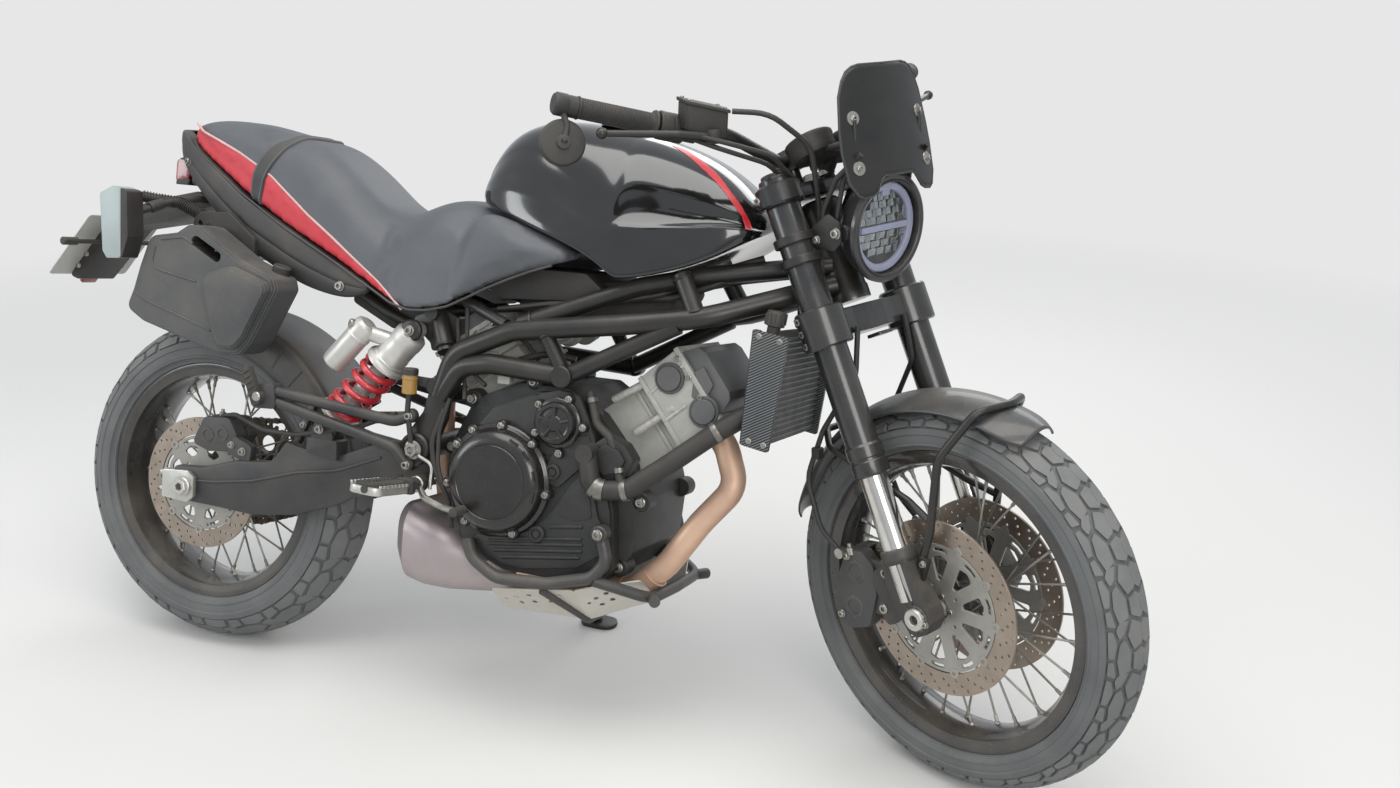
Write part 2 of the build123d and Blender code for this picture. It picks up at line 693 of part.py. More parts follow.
# Plastics under the seat: side panels closed at the rear, seen from the side and in plan
tail_side = [
    (-130, 992), (-98, 1004), (-42, 968), (90, 896), (384, 762), (384, 735), (340, 716), (285, 719),
    (228, 731), (161, 760), (108, 785), (48, 824), (-57, 901), (-112, 940),
]
tail_plan = [(-130, 40), (-98, 66), (0, 104), (100, 122), (212, 130), (385, 140)]
tail_inside = [(-104, 30), (-60, 76), (0, 96), (100, 114), (212, 122), (390, 132)]
tail_low, tail_high = 600, 1100
# middle line of the groove pressed into each side: x, half width, height
tail_groove = [(108, 123.4, 794), (212, 130.4, 779), (376, 139.9, 734)]
with BuildPart() as tail:
    slab(tail_side, -170, 170)
    plan_block(tail_plan, tail_low, tail_high)
    plan_block(tail_inside, tail_low, tail_high, mode=Mode.SUBTRACT)
    for side in (-1, 1):
        tube([(x, side * half, z) for x, half, z in tail_groove], 3, (300,), mode=Mode.SUBTRACT)
    add(seat.part, mode=Mode.SUBTRACT)
tail.part.label = "tail_panel"

# Rear frame: rails under the seat, welded to cross bars
seat_rail = [(530, 96, 704), (300, 96, 770), (60, 84, 868), (-70, 56, 908)]
rail_stay = [(534, 80, 650), (400, 80, 690), (150, 88, 831)]
with BuildPart() as subframe:
    for side in (-1, 1):
        tube([(x, side * y, z) for x, y, z in seat_rail], 11, (200, 200))
        tube([(x, side * y, z) for x, y, z in rail_stay], 9, (200,))
    for x, z, half in ((300, 770, 96), (60, 868, 84), (-60, 904, 58)):
        tube([(x, -half, z), (x, half, z)], 9)
    add(trellis.part, mode=Mode.SUBTRACT)
    add(cylinders.part, mode=Mode.SUBTRACT)
    add(seat.part, mode=Mode.SUBTRACT)
    add(tail.part, mode=Mode.SUBTRACT)
subframe.part.label = "rear_frame"

# Airbox under the tank, battery box under the seat
airbox_side = [(650, 735), (700, 765), (930, 792), (962, 780), (940, 735), (860, 718), (760, 714), (690, 708)]
with BuildPart() as airbox:
    slab(airbox_side, -58, 58)
    slab([(310, 706), (330, 756), (460, 764), (480, 720), (470, 664), (400, 664)], -72, 72)
    add(cylinders.part, mode=Mode.SUBTRACT)
    add(trellis.part, mode=Mode.SUBTRACT)
    add(subframe.part, mode=Mode.SUBTRACT)
    add(seat.part, mode=Mode.SUBTRACT)
    add(tank.part, mode=Mode.SUBTRACT)
airbox.part.label = "airbox"

# Rear shock: body with its side reservoir, and a coil spring
shock_top = Vector(483, -122, 671)
shock_foot = Vector(306, -122, 471)
shock_line = (shock_foot - shock_top).normalized()
shock_length = (shock_foot - shock_top).length
shock_across = 68
coil_r = 31
wire_r = 6.5
cup_r = coil_r + wire_r + 2
bottle_y = -20
bottle_from = shock_top + shock_line * 60 + Vector(-shock_across * 0.749, bottle_y, shock_across * 0.663)
# distances along the shock, and radius
shock_steps = [(14, 84, 29), (84, 92, cup_r), (92, 224, 17), (shock_length - 44, shock_length - 34, cup_r)]
with BuildPart() as shock:
    for start, end, radius in shock_steps + [(shock_length - 36, shock_length - 8, 9.5)]:
        tube([shock_top + shock_line * start, shock_top + shock_line * end], radius)
    for eye in (shock_top, shock_foot):
        tube([eye + Vector(0, 9.8, 0), eye - Vector(0, 9.8, 0)], 16)
    tube([bottle_from, bottle_from + shock_line * 104], 23)
    tube([shock_top + shock_line * 40, bottle_from + shock_line * 16], 13)
    for eye in (shock_top, shock_foot):
        tube([eye + Vector(0, 20, 0), eye - Vector(0, 20, 0)], shock_bolt_r + seat_gap, mode=Mode.SUBTRACT)
shock.part.label = "shock_body"

coil_from = 92.3
coil_to = shock_length - 44.3
turns = 5
winding_height = coil_to - coil_from - 2 * wire_r
with BuildPart() as spring:
    with BuildLine() as winding:
        Helix(
            pitch=winding_height / turns, height=winding_height, radius=coil_r,
            center=shock_top + shock_line * (coil_from + wire_r), direction=shock_line,
        )
    with BuildSketch(Plane(origin=winding.line @ 0, z_dir=winding.line % 0)):
        Circle(wire_r)
    sweep(is_frenet=True)
spring.part.label = "shock_spring"

with BuildPart() as shock_mount:
    slab([(466, 682), (474, 696), (528, 716), (560, 700), (556, 640), (510, 636), (506, 650)], -101, -111)
    tube([shock_top + Vector(0, 14, 0), shock_top - Vector(0, 14, 0)], shock_bolt_r)
    tube([shock_top - Vector(0, 10, 0), shock_top - Vector(0, 16, 0)], 10)
    add(trellis.part, mode=Mode.SUBTRACT)
    add(subframe.part, mode=Mode.SUBTRACT)
    add(cylinders.part, mode=Mode.SUBTRACT)
shock_mount.part.label = "shock_bracket"

# Rear brake: two-piston caliper over the disc, and its reservoir
with BuildPart() as rear_brake:
    mid = -rear_disc["y"]
    slab([(4, 408), (28, 458), (84, 462), (104, 426), (84, 396), (40, 392)], mid - 34, mid + 30)
    swept = ring_side((0, rear_axle.Z), rear_disc["r"] + pad_gap, range(10, 131, 12)) + [(0, rear_axle.Z)]
    slab(swept, mid - disc_t / 2 - pad_gap, mid + disc_t / 2 + pad_gap, mode=Mode.SUBTRACT)
    slab([(84, 396), (104, 426), (140, 408), (136, 380)], -beam_inner - 4, -beam_outer + 4)
    tube([(498, -158, 562), (498, -158, 606)], 14)
    tube([(498, -150, 584), (544, -138, 580)], 5)
    add(swing.part, mode=Mode.SUBTRACT)
    add(trellis.part, mode=Mode.SUBTRACT)
rear_brake.part.label = "rear_brake"


with BuildPart() as hugger:
    axle_spot = (rear_axle.X, rear_axle.Z)
    outline = ring_side(axle_spot, 340, (32, 44, 56, 68, 80, 92)) + ring_side(axle_spot, 270, (80, 62, 46, 36))
    slab(outline, -88, 88)
    inner = ring_side(axle_spot, 334, (10, 22, 32, 44, 56, 68, 80, 92, 104))
    inner += ring_side(axle_spot, 200, (104, 60, 10))
    slab(inner, -82, 82, mode=Mode.SUBTRACT)
    # ribs pressed into the side wall
    for angle in (48, 58, 68, 78):
        ends = ring_side(axle_spot, 286, (angle,)) + ring_side(axle_spot, 328, (angle,))
        tube([(ends[0][0], -88, ends[0][1]), (ends[1][0], -88, ends[1][1])], 3)
    slab([(214, 424), (226, 424), (262, 506), (250, 510)], -100, -82)
    # chain guard held on the left side
    slab([(96, 451), (96, 455), (330, 483), (330, 479)], 76, 102)
    slab([(214, 466), (226, 468), (262, 506), (250, 510)], 82, 88)
hugger.part.label = "rear_hugger"

# Pegs, their hangers and the foot levers
with BuildPart() as pegs:
    for side in (-1, 1):
        out = side * (plate_inner + plate_t)
        tube([(500, out + side * 8, 520), (476, out + side * 20, 508), (228, side * 190, 538)], 10, (30,))
        tube([(498, out + side * 8, 432), (476, out + side * 20, 462), (228, side * 190, 520)], 10, (30,))
        slab([(196, 502), (190, 544), (240, 552), (244, 506)], side * 180, side * 200)
        slab([(204, 506), (176, 574), (192, 582), (222, 514)], side * 198, side * 212)
        tube([(534, out - side * 2, 408), (534, side * 214, 404)], 11)
        tube([(534, side * 206, 404), (518, side * 316, 412)], 9)
        slab([(468, 404), (468, 418), (566, 412), (566, 396)], side * 216, side * 312)
    for spot in ((500, 520), (498, 432)):
        for side in (-1, 1):
            tube([(spot[0], side * (plate_inner + plate_t + out), spot[1]) for out in (0, 14)], 11)
    add(trellis.part, mode=Mode.SUBTRACT)
    add(pivot_bolt.part, mode=Mode.SUBTRACT)
pegs.part.label = "peg_hangers"

lever_route = [(534, 168, 404), (560, 190, 386), (606, 200, 376), (640, 212, 376)]
with BuildPart() as levers:
    for side in (-1, 1):
        tube([(x, side * y, z) for x, y, z in lever_route], 6, (20, 30))
        tube([(640, side * 190, 376), (640, side * 226, 376)], 8)
    add(pegs.part, mode=Mode.SUBTRACT)
    add(covers.part, mode=Mode.SUBTRACT)
levers.part.label = "foot_levers"

# Final drive on the left: sprocket on the wheel, and the chain's two runs and wraps
chain_y = 89
sprocket_r = 106
drive_r = 40
drive_at = (620, 468)
link_pairs = 56
link_t = 1.4
with BuildPart() as sprocket:
    with BuildSketch(from_right(chain_y + 3)):
        with Locations((0, rear_axle.Z)):
            Circle(sprocket_r - 8)
            with PolarLocations(sprocket_r - 8, 42):
                Circle(4.2)
            with PolarLocations(62, 6):
                Circle(16, mode=Mode.SUBTRACT)
            Circle(axle_r + 6, mode=Mode.SUBTRACT)
    extrude(amount=6)
sprocket.part.label = "rear_sprocket"

gap_x = drive_at[0]
gap_z = drive_at[1] - rear_axle.Z
reach = hypot(gap_x, gap_z)
tilt = atan2(gap_z, gap_x)
spread = asin((sprocket_r - drive_r) / reach)


def chain_loop(grow):
    """Closed outline round both sprockets, as a face in the open sketch."""
    big = sprocket_r + grow
    small = drive_r + grow
    centre = (0, rear_axle.Z)
    ends = []
    for sign in (1, -1):
        angle = tilt + sign * (pi / 2 - spread)
        ends.append([ring_side(c, r, (degrees(angle),))[0] for c, r in ((centre, big), (drive_at, small))])
    back = (centre[0] - big * cos(tilt), centre[1] - big * sin(tilt))
    front = (drive_at[0] + small * cos(tilt), drive_at[1] + small * sin(tilt))
    with BuildLine() as loop:
        Line(ends[0][0], ends[0][1])
        ThreePointArc(ends[0][1], front, ends[1][1])
        Line(ends[1][1], ends[1][0])
        ThreePointArc(ends[1][0], back, ends[0][0])
    return loop.line


pitch_line = Wire(chain_loop(0).edges())
link_places = []
for place in range(link_pairs):
    spot = pitch_line.position_at(place / link_pairs)
    way = pitch_line.tangent_at(place / link_pairs)
    link_places.append(((spot.X, spot.Y), degrees(atan2(way.Y, way.X))))
with BuildPart() as chain:
    with BuildSketch(from_right(chain_y + 9)):
        add(chain_loop(6.5))
        make_face()
        add(chain_loop(-6.5))
        make_face(mode=Mode.SUBTRACT)
    extrude(amount=18)
    with BuildSketch(from_right(chain_y + 3.4)):
        add(chain_loop(0.5))
        make_face()
        add(chain_loop(-9))
        make_face(mode=Mode.SUBTRACT)
    extrude(amount=6.8, mode=Mode.SUBTRACT)
    # outer link plates stand proud of both faces, one link in two
    for face in (chain_y + 9 + link_t, chain_y - 9):
        with BuildSketch(from_right(face)):
            for spot, turn in link_places:
                with Locations(Location(spot, turn)):
                    Rectangle(12, 12.4)
        extrude(amount=link_t)
    add(engine.part, mode=Mode.SUBTRACT)
    add(covers.part, mode=Mode.SUBTRACT)
chain.part.label = "drive_chain"

# Tail: carrier arm, blank plate, lamps and reflector
carrier_side = [
    (-30, 862), (-70, 884), (-256, 836), (-280, 822), (-382, 694), (-360, 688), (-264, 800), (-150, 822),
]
with BuildPart() as carrier:
    slab(carrier_side, -48, 48)
    slab([(-60, 876), (-60, 902), (20, 900), (20, 862), (-30, 852)], -30, 30)
    for side in (-1, 1):
        tube([(-304, 0, 768), (-304, side * 152, 768)], 5)
        tube([(-304, side * 120, 768), (-304, side * 152, 768)], 8)
        tube([(-50, side * 40, 872), (-70, side * 120, 862), (-84, side * 192, 838)], 7, (60,))
    panel([(-280, 110, 822), (-280, -110, 822), (-384, -110, 692), (-384, 110, 692)], 1.6)
    add(subframe.part, mode=Mode.SUBTRACT)
    add(tail.part, mode=Mode.SUBTRACT)
carrier.part.label = "plate_carrier"

indicator_side = [(-141, 871), (-107, 884), (-77, 877), (-72, 791), (-84, 751), (-119, 748), (-128, 760)]
with BuildPart() as lamps:
    for side in (-1, 1):
        slab(indicator_side, side * 192, side * 236)
    slab([(-132, 902), (-130, 944), (-108, 950), (-92, 930), (-104, 900)], -44, 44)
    add(carrier.part, mode=Mode.SUBTRACT)
    add(tail.part, mode=Mode.SUBTRACT)
lamps.part.label = "rear_lamps"

# Moulded can hung on the right, with its bracket: its outline, and the raised lower front of its face
can_side = [
    (-49, 796), (10, 806), (37, 823), (65, 821), (156, 767), (232, 740), (238, 720), (186, 620), (165, 596),
    (120, 592), (-59, 637), (-98, 659), (-83, 695), (-70, 739),
]
can_raised = [
    (84, 724), (96, 741), (146, 757), (224, 733), (230, 720), (182, 628), (162, 606), (122, 604), (92, 690),
]
can_inner = 134
can_outer = 205
can_face = 222
with BuildPart() as can:
    for outline, face, round_r in ((can_side, can_outer, 8), (can_raised, can_face, 6)):
        with BuildSketch(from_right(-can_inner)):
            with BuildLine():
                Polyline(*outline, close=True)
            make_face()
            fillet(vertices(), round_r)
        extrude(amount=face - can_inner)
    # grip hole
    with BuildSketch(from_right(-can_inner + 10)):
        with Locations((82, 782)):
            SlotOverall(74, 22, rotation=-27)
    extrude(amount=can_face, mode=Mode.SUBTRACT)
can.part.label = "side_can"

with BuildPart() as can_bracket:
    slab([(10, 700), (10, 820), (70, 850), (130, 800), (130, 690)], -112, -can_inner)
    tube([(70, -118, 830), (70, -86, 850)], 7)
    tube([(-60, -62, 880), (-10, -112, 858), (60, -132, 816), (120, -134, 786)], 13, (60, 80))
    add(can.part, mode=Mode.SUBTRACT)
    add(subframe.part, mode=Mode.SUBTRACT)
    add(tail.part, mode=Mode.SUBTRACT)
    add(carrier.part, mode=Mode.SUBTRACT)
can_bracket.part.label = "can_bracket"

# Side stand: a leg turning on a slanted pin, its foot flat on the floor
stand_pin = Vector(612, 156, 244)
stand_down = Vector(88, 146, -176)
ground = Plane(standing.inverse())
stand_foot = stand_pin + stand_down * (ground.to_local_coords(stand_pin).Z / -ground.z_dir.dot(stand_down))
stand_back = Vector(-0.97, 0.15, -0.15)
stand_axis = stand_down.cross(stand_back).normalized()
stand_swing = degrees(acos(stand_down.normalized().dot(stand_back.normalized())))
stand_pin_r = 8
stand_eye_r = 17
with BuildPart() as stand:
    tube([stand_pin - stand_axis * 8, stand_pin + stand_axis * 8], stand_eye_r)
    tube([stand_pin + stand_down.normalized() * 12, stand_foot + ground.z_dir * 12], 10)
    with BuildSketch(Plane(origin=stand_foot, x_dir=(1, 0, 0), z_dir=ground.z_dir)):
        SlotOverall(78, 46)
    extrude(amount=9)
    pin_ends = [stand_pin - stand_axis * 20, stand_pin + stand_axis * 20]
    tube(pin_ends, stand_pin_r + shaft_gap, mode=Mode.SUBTRACT)
stand.part.label = "side_stand"

with BuildPart() as stand_bracket:
    stand_root = stand_pin - stand_axis * 26
    tube([stand_root - stand_axis * 6, stand_pin + stand_axis * 16], stand_pin_r)
    tube([stand_root - stand_axis * 6, stand_pin - stand_axis * 10.5], stand_eye_r - 2)
    arm_y = plate_inner + 5
    tube([stand_root, stand_root - Vector(52, 0, 0), (552, arm_y, 350), (540, arm_y, 410)], 10, (18, 30))
    tube([stand_pin + stand_axis * 10.5, stand_pin + stand_axis * 16], stand_pin_r + 4)
    add(pegs.part, mode=Mode.SUBTRACT)
    add(trellis.part, mode=Mode.SUBTRACT)
    add(engine.part, mode=Mode.SUBTRACT)
    add(muffler.part, mode=Mode.SUBTRACT)
stand_bracket.part.label = "stand_bracket"

# Fork: black outer tubes above, chrome sliders and axle castings below
# start and end along the fork, and radius
fork_steps = [
    (fork_low, fork_top, outer_r), (fork_low, fork_low + 54, outer_r + 3),
    (fork_top, fork_top + 8, outer_r - 6),
]
with BuildPart() as fork_tubes:
    for side in (-1, 1):
        for start, end, radius in fork_steps:
            with BuildSketch(fork_level(start, leg_lead, side * leg_y)):
                Circle(radius)
            extrude(amount=end - start)
        with BuildSketch(fork_level(fork_low - 1, leg_lead, side * leg_y)):
            Circle(chrome_r + seat_gap)
        extrude(amount=42, mode=Mode.SUBTRACT)
fork_tubes.part.label = "fork_tubes"

# distance ahead of the steering axis and height along it: the axle casting and its lug for the caliper
foot_side = [(-6, 100), (-10, 20), (6, -24), (36, -28), (56, -10), (56, 12), (44, 60), (42, 100)]
caliper_lug = [(-2, 96), (-56, 84), (-64, 62), (-58, 36), (-66, 6), (-54, -8), (0, 10)]
with BuildPart() as sliders:
    for side in (-1, 1):
        with BuildSketch(fork_level(30, leg_lead, side * leg_y)):
            Circle(chrome_r)
        extrude(amount=fork_low + 40 - 30)
        with BuildSketch(fork_level(28, leg_lead, side * leg_y)):
            Circle(foot_r)
        extrude(amount=foot_top - 28)
        # the casting steps forward to the axle and back to the caliper
        with BuildSketch(from_right(side * leg_y + 19)):
            with BuildLine():
                Polyline(*[(at_fork(a, 0, h).X, at_fork(a, 0, h).Z) for a, h in foot_side], close=True)
            make_face()
        extrude(amount=38)
        with BuildSketch(from_right(side * (leg_y - 12) + 6)):
            with BuildLine():
                Polyline(*[(at_fork(a, 0, h).X, at_fork(a, 0, h).Z) for a, h in caliper_lug], close=True)
            make_face()
        extrude(amount=12)
        tube([front_axle + Vector(0, side * 69, 0), front_axle + Vector(0, side * 90, 0)], 17)
    with BuildSketch(from_right(front_axle_end - nut_t)):
        with Locations((front_axle.X, front_axle.Z)):
            Circle(axle_r)
    extrude(amount=2 * (front_axle_end - nut_t))
    for side in (-1, 1):
        with BuildSketch(from_right(side * (front_axle_end - nut_t / 2) + nut_t / 2)):
            with Locations((front_axle.X, front_axle.Z)):
                RegularPolygon(19, 6)
        extrude(amount=nut_t)
    axle_bores(front_axle, front_axle_end)
sliders.part.label = "fork_lowers"

with BuildPart() as clamps:
    for low, high, boss_r in ((low_clamp_from, low_clamp_to, 41), (top_clamp_from, top_clamp_to, 38)):
        with BuildSketch(fork_level(low)):
            with Locations((leg_lead, leg_y), (leg_lead, -leg_y)):
                Circle(boss_r)
            with BuildLine():
                left = [(-20, 96), (leg_lead + 22, 112), (46, 50)]
                Polyline((-34, 0), *left, *[(ahead, -y) for ahead, y in reversed(left)], close=True)
            make_face()
            with Locations((leg_lead, leg_y), (leg_lead, -leg_y)):
                Circle(outer_r + seat_gap, mode=Mode.SUBTRACT)
        extrude(amount=high - low)
    # pinch lugs behind each leg
    for up in (468, 489, 510):
        for side in (-1, 1):
            with BuildSketch(fork_level(up - 6, leg_lead - 36, side * (leg_y + 18))):
                RectangleRounded(34, 24, 8)
            extrude(amount=12)
    with BuildSketch(fork_level(low_clamp_to - 4)):
        Circle(stem_r)
    extrude(amount=top_clamp_from - low_clamp_to + 8)
    with BuildSketch(fork_level(top_clamp_to)):
        Circle(20)
    extrude(amount=8)
    # risers for the handlebar
    for side in (-1, 1):
        with BuildSketch(fork_level(top_clamp_to, 2, side * 40)):
            Circle(11)
        extrude(amount=40)
    for side in (-1, 1):
        with BuildSketch(fork_level(0, leg_lead, side * leg_y)):
            Circle(outer_r + seat_gap)
        extrude(amount=900, mode=Mode.SUBTRACT)
clamps.part.label = "triple_clamps"

# Handlebar from the risers out to its ends
bar_r = 11
bar_middle = at_fork(2, 0, top_clamp_to + 40)
bar_end = Vector(1030, 424, 1142)
grip_start = Vector(1084, 282, 1103)
bar_way = (bar_end - grip_start).normalized()


def sided(spot, side):
    return Vector(spot.X, side * spot.Y, spot.Z)


with BuildPart() as bar:
    tube(
        [
            bar_middle,
            bar_middle + Vector(0, 64, 0),
            Vector(1146, 190, 1084),
            grip_start,
            bar_end + bar_way * 4,
        ],
        bar_r, (30, 70, 60),
    )
    mirror(about=Plane.XZ)
    add(clamps.part, mode=Mode.SUBTRACT)
bar.part.label = "handlebar"

with BuildPart() as bar_clamp:
    for side in (-1, 1):
        clamp_start = bar_middle + Vector(0, side * 40 - 13, 0)
        with BuildSketch(Plane(origin=clamp_start, x_dir=steer_fore, z_dir=(0, 1, 0))):
            RectangleRounded(44, 34, 8)
        extrude(amount=26)
    add(clamps.part, mode=Mode.SUBTRACT)
    add(bar.part, mode=Mode.SUBTRACT)
bar_clamp.part.label = "bar_clamps"

grip_r = 16.5
with BuildPart() as grips:
    for side in (-1, 1):
        tube([sided(grip_start + bar_way * 6, side), sided(grip_start + bar_way * 132, side)], grip_r)
        tube([sided(grip_start + bar_way * 2, side), sided(grip_start + bar_way * 8, side)], grip_r + 5)
    add(bar.part, mode=Mode.SUBTRACT)
grips.part.label = "grips"

with BuildPart() as controls:
    for side in (-1, 1):
        inner = sided(grip_start - bar_way * 2, side)
        way = sided(bar_way, side)
        tube([inner, inner - way * 44], 23)
        tube([inner - way * 46, inner - way * 66], 18)
        box_plane = Plane(origin=inner - way * 56 + Vector(30, 0, 14), x_dir=way, z_dir=(0.1, 0, 1))
        with BuildSketch(box_plane):
            RectangleRounded(74, 46, 6)
        extrude(amount=34)
        lever_root = inner - way * 58 + Vector(50, 0, 2)
        lever_tip = sided(Vector(1096, 398, 1100), side)
        tube([lever_root, inner + way * 10 + Vector(58, 0, -14), lever_tip], 6, (60,))
        with Locations(lever_tip):
            Sphere(9)
        tube([lever_root - Vector(40, 0, 0), lever_root + Vector(6, 0, 0)], 11)
    add(bar.part, mode=Mode.SUBTRACT)
    add(grips.part, mode=Mode.SUBTRACT)
controls.part.label = "bar_controls"

# Bar-end mirror on the right
mirror_centre = Vector(1040, -436, 1086)
mirror_way = Vector(0.88, -0.42, 0.2).normalized()
with BuildPart() as mirror_part:
    end = sided(bar_end, -1)
    way = sided(bar_way, -1)
    tube([end - way * 8, end + way * 16], 17)
    tube([end + Vector(6, -4, -8), mirror_centre + mirror_way * 12], 5)
    tube([mirror_centre - mirror_way * 4, mirror_centre + mirror_way * 8], 36)
    tube([mirror_centre + mirror_way * 8, mirror_centre + mirror_way * 16], 10)
    add(bar.part, mode=Mode.SUBTRACT)
    add(grips.part, mode=Mode.SUBTRACT)
mirror_part.part.label = "bar_end_mirror"

# Headlight, its brackets on the fork legs, and the fly screen above
lamp_centre = Vector(1323, 0, 925)
lamp_way = Vector(1, 0, -0.06).normalized()
lamp_r = 90
lamp_plane = Plane(origin=lamp_centre, x_dir=(0, 1, 0), z_dir=lamp_way)
lens_r = 76
with BuildPart() as lamp_shell:
    for back, radius in ((0, lamp_r), (34, lamp_r - 5), (54, lamp_r - 24), (66, lamp_r - 52)):
        with BuildSketch(lamp_plane.offset(-back)):
            Circle(radius)
    loft(ruled=True)
    with BuildSketch(lamp_plane.offset(-14)):
        Circle(lens_r + seat_gap)
    extrude(amount=20, mode=Mode.SUBTRACT)
lamp_shell.part.label = "headlight_shell"

with BuildPart() as lens:
    with BuildSketch(lamp_plane.offset(-14 + seat_gap)):
        Circle(lens_r)
    with BuildSketch(lamp_plane.offset(4)):
        Circle(lens_r - 8)
    loft(ruled=True)
lens.part.label = "headlight_lens"

screen_stay = [(1262, 87, 909), (1266, 93, 960), (1290, 93, 1010), (1336, 82, 1052)]
with BuildPart() as lamp_bracket:
    for side in (-1, 1):
        with BuildSketch(fork_level(604, leg_lead, side * leg_y)):
            Circle(outer_r + 7)
            Circle(outer_r + seat_gap, mode=Mode.SUBTRACT)
        extrude(amount=30)
        ear = at_fork(leg_lead + outer_r, side * (leg_y - 10), 619)
        tube([ear, Vector(1284, side * 70, 925)], 8)
        tube([(x, side * y, z) for x, y, z in screen_stay], 5, (30, 30))
    add(lamp_shell.part, mode=Mode.SUBTRACT)
    add(fork_tubes.part, mode=Mode.SUBTRACT)
lamp_bracket.part.label = "headlight_bracket"

screen_low = Vector(1346, 0, 1012)
screen_high = Vector(1306, 0, 1186)
screen_up = (screen_high - screen_low).normalized()
screen_plane = Plane(origin=screen_low, x_dir=(0, 1, 0), z_dir=Vector(0, 1, 0).cross(screen_up))
screen_bow_r = 330
screen_t = 4
# half of its outline: distance from the middle, height
screen_half = [(40, 2), (60, -26), (84, -30), (106, 0), (108, 40), (98, 130), (84, 164), (56, 178)]
with BuildPart() as screen:
    # bowed forward across its width: a ring wall cut to the outline
    bow_centre = screen_low - Vector(screen_bow_r, 0, 0) - screen_up * 60
    with BuildSketch(Plane(origin=bow_centre, x_dir=(0, 1, 0), z_dir=screen_up)):
        Circle(screen_bow_r)
        Circle(screen_bow_r - screen_t, mode=Mode.SUBTRACT)
    extrude(amount=290)
    with BuildSketch(screen_plane.offset(-80)):
        with BuildLine():
            Polyline(*[(-y, z) for y, z in screen_half], *screen_half[::-1], close=True)
        make_face()
        fillet(vertices(), 8)
    extrude(amount=120, mode=Mode.INTERSECT)
    add(lamp_bracket.part, mode=Mode.SUBTRACT)
screen.part.label = "fly_screen"

with BuildPart() as dials:
    dial_plane = Plane(origin=Vector(1196, 0, 1064), x_dir=(0, 1, 0), z_dir=Vector(-0.55, 0, 0.83))
    for y, radius in ((-52, 42), (44, 46)):
        with BuildSketch(dial_plane):
            with Locations((y, 0)):
                Circle(radius)
        extrude(amount=-34)
    with BuildSketch(dial_plane.offset(-34)):
        Rectangle(120, 40)
    extrude(amount=6)
    tube([Vector(1206, 0, 1040), at_fork(34, 0, top_clamp_to - 4)], 12)
    for side in (-1, 1):
        tube([(1216, side * 52, 1046), (1268, side * 52, 1060), (1296, side * 52, 1062)], 6, (20,))
    add(clamps.part, mode=Mode.SUBTRACT)
    add(bar_clamp.part, mode=Mode.SUBTRACT)
    add(bar.part, mode=Mode.SUBTRACT)
    add(screen.part, mode=Mode.SUBTRACT)
dials.part.label = "instruments"

# Front mudguard and its two hoops
guard_low_r = 346
guard_t = 3
guard_half = 62
axle_side = (front_axle.X, front_axle.Z)
with BuildPart() as mudguard:
    arc = list(range(66, 171, 8))
    outline = ring_side(axle_side, guard_low_r + 30, arc) + ring_side(axle_side, guard_low_r - 24, arc[::-1])
    slab(outline, -guard_half, guard_half)
    # domed across: inside and outside are turned surfaces
    rim_r = guard_low_r - 22
    with BuildSketch(Plane(origin=front_axle, x_dir=(1, 0, 0), z_dir=(0, 0, 1))) as dome:
        with BuildLine():
            in_half = guard_half - 2
            ThreePointArc((rim_r, -guard_half), (guard_low_r + guard_t, 0), (rim_r, guard_half))
            Line((rim_r, guard_half), (rim_r - guard_t, in_half))
            ThreePointArc((rim_r - guard_t, in_half), (guard_low_r, 0), (rim_r - guard_t, -in_half))
            Line((rim_r - guard_t, -in_half), (rim_r, -guard_half))
        make_face()
    revolve(dome.sketch, axis=Axis(front_axle, (0, 1, 0)), mode=Mode.INTERSECT)
mudguard.part.label = "front_mudguard"

# half hoops, from the left down to the right: side is mirrored point by point
front_hoop_half = [(1472, 99, 396), (1486, 90, 466), (1498, 90, 592), (1548, 62, 672), (1569, 0, 675)]
rear_hoop_half = [(1488, 89, 482), (1430, 75, 502), (1262, 75, 556), (1224, 40, 572)]


def hooped(half):
    """Route from one side over the middle to its mirror image."""
    return half + [(x, -y, z) for x, y, z in reversed(half) if y]


with BuildPart() as stays:
    tube(hooped(front_hoop_half), 7, (40, 60, 34, 60, 34, 60, 40))
    tube(hooped(rear_hoop_half), 6, (30, 24, 20, 20, 24, 30))
    add(sliders.part, mode=Mode.SUBTRACT)
    add(mudguard.part, mode=Mode.SUBTRACT)
stays.part.label = "mudguard_stays"

# Front calipers, split round the discs
caliper_side = [
    (1352, 400), (1318, 396), (1296, 330), (1300, 268), (1330, 252), (1372, 268), (1386, 330), (1378, 380),
]
with BuildPart() as calipers:
    for side in (-1, 1):
        mid = side * front_disc["y"]
        slab(caliper_side, mid - side * 22, mid + side * 36)
        slab([(1366, 300), (1366, 384), (1424, 384), (1424, 300)], mid + side * 20, mid + side * 30)
        swept = ring_side(axle_side, front_disc["r"] + pad_gap, range(90, 271, 12)) + [axle_side]
        slab(swept, mid - disc_t / 2 - pad_gap, mid + disc_t / 2 + pad_gap, mode=Mode.SUBTRACT)
    add(sliders.part, mode=Mode.SUBTRACT)
calipers.part.label = "front_calipers"

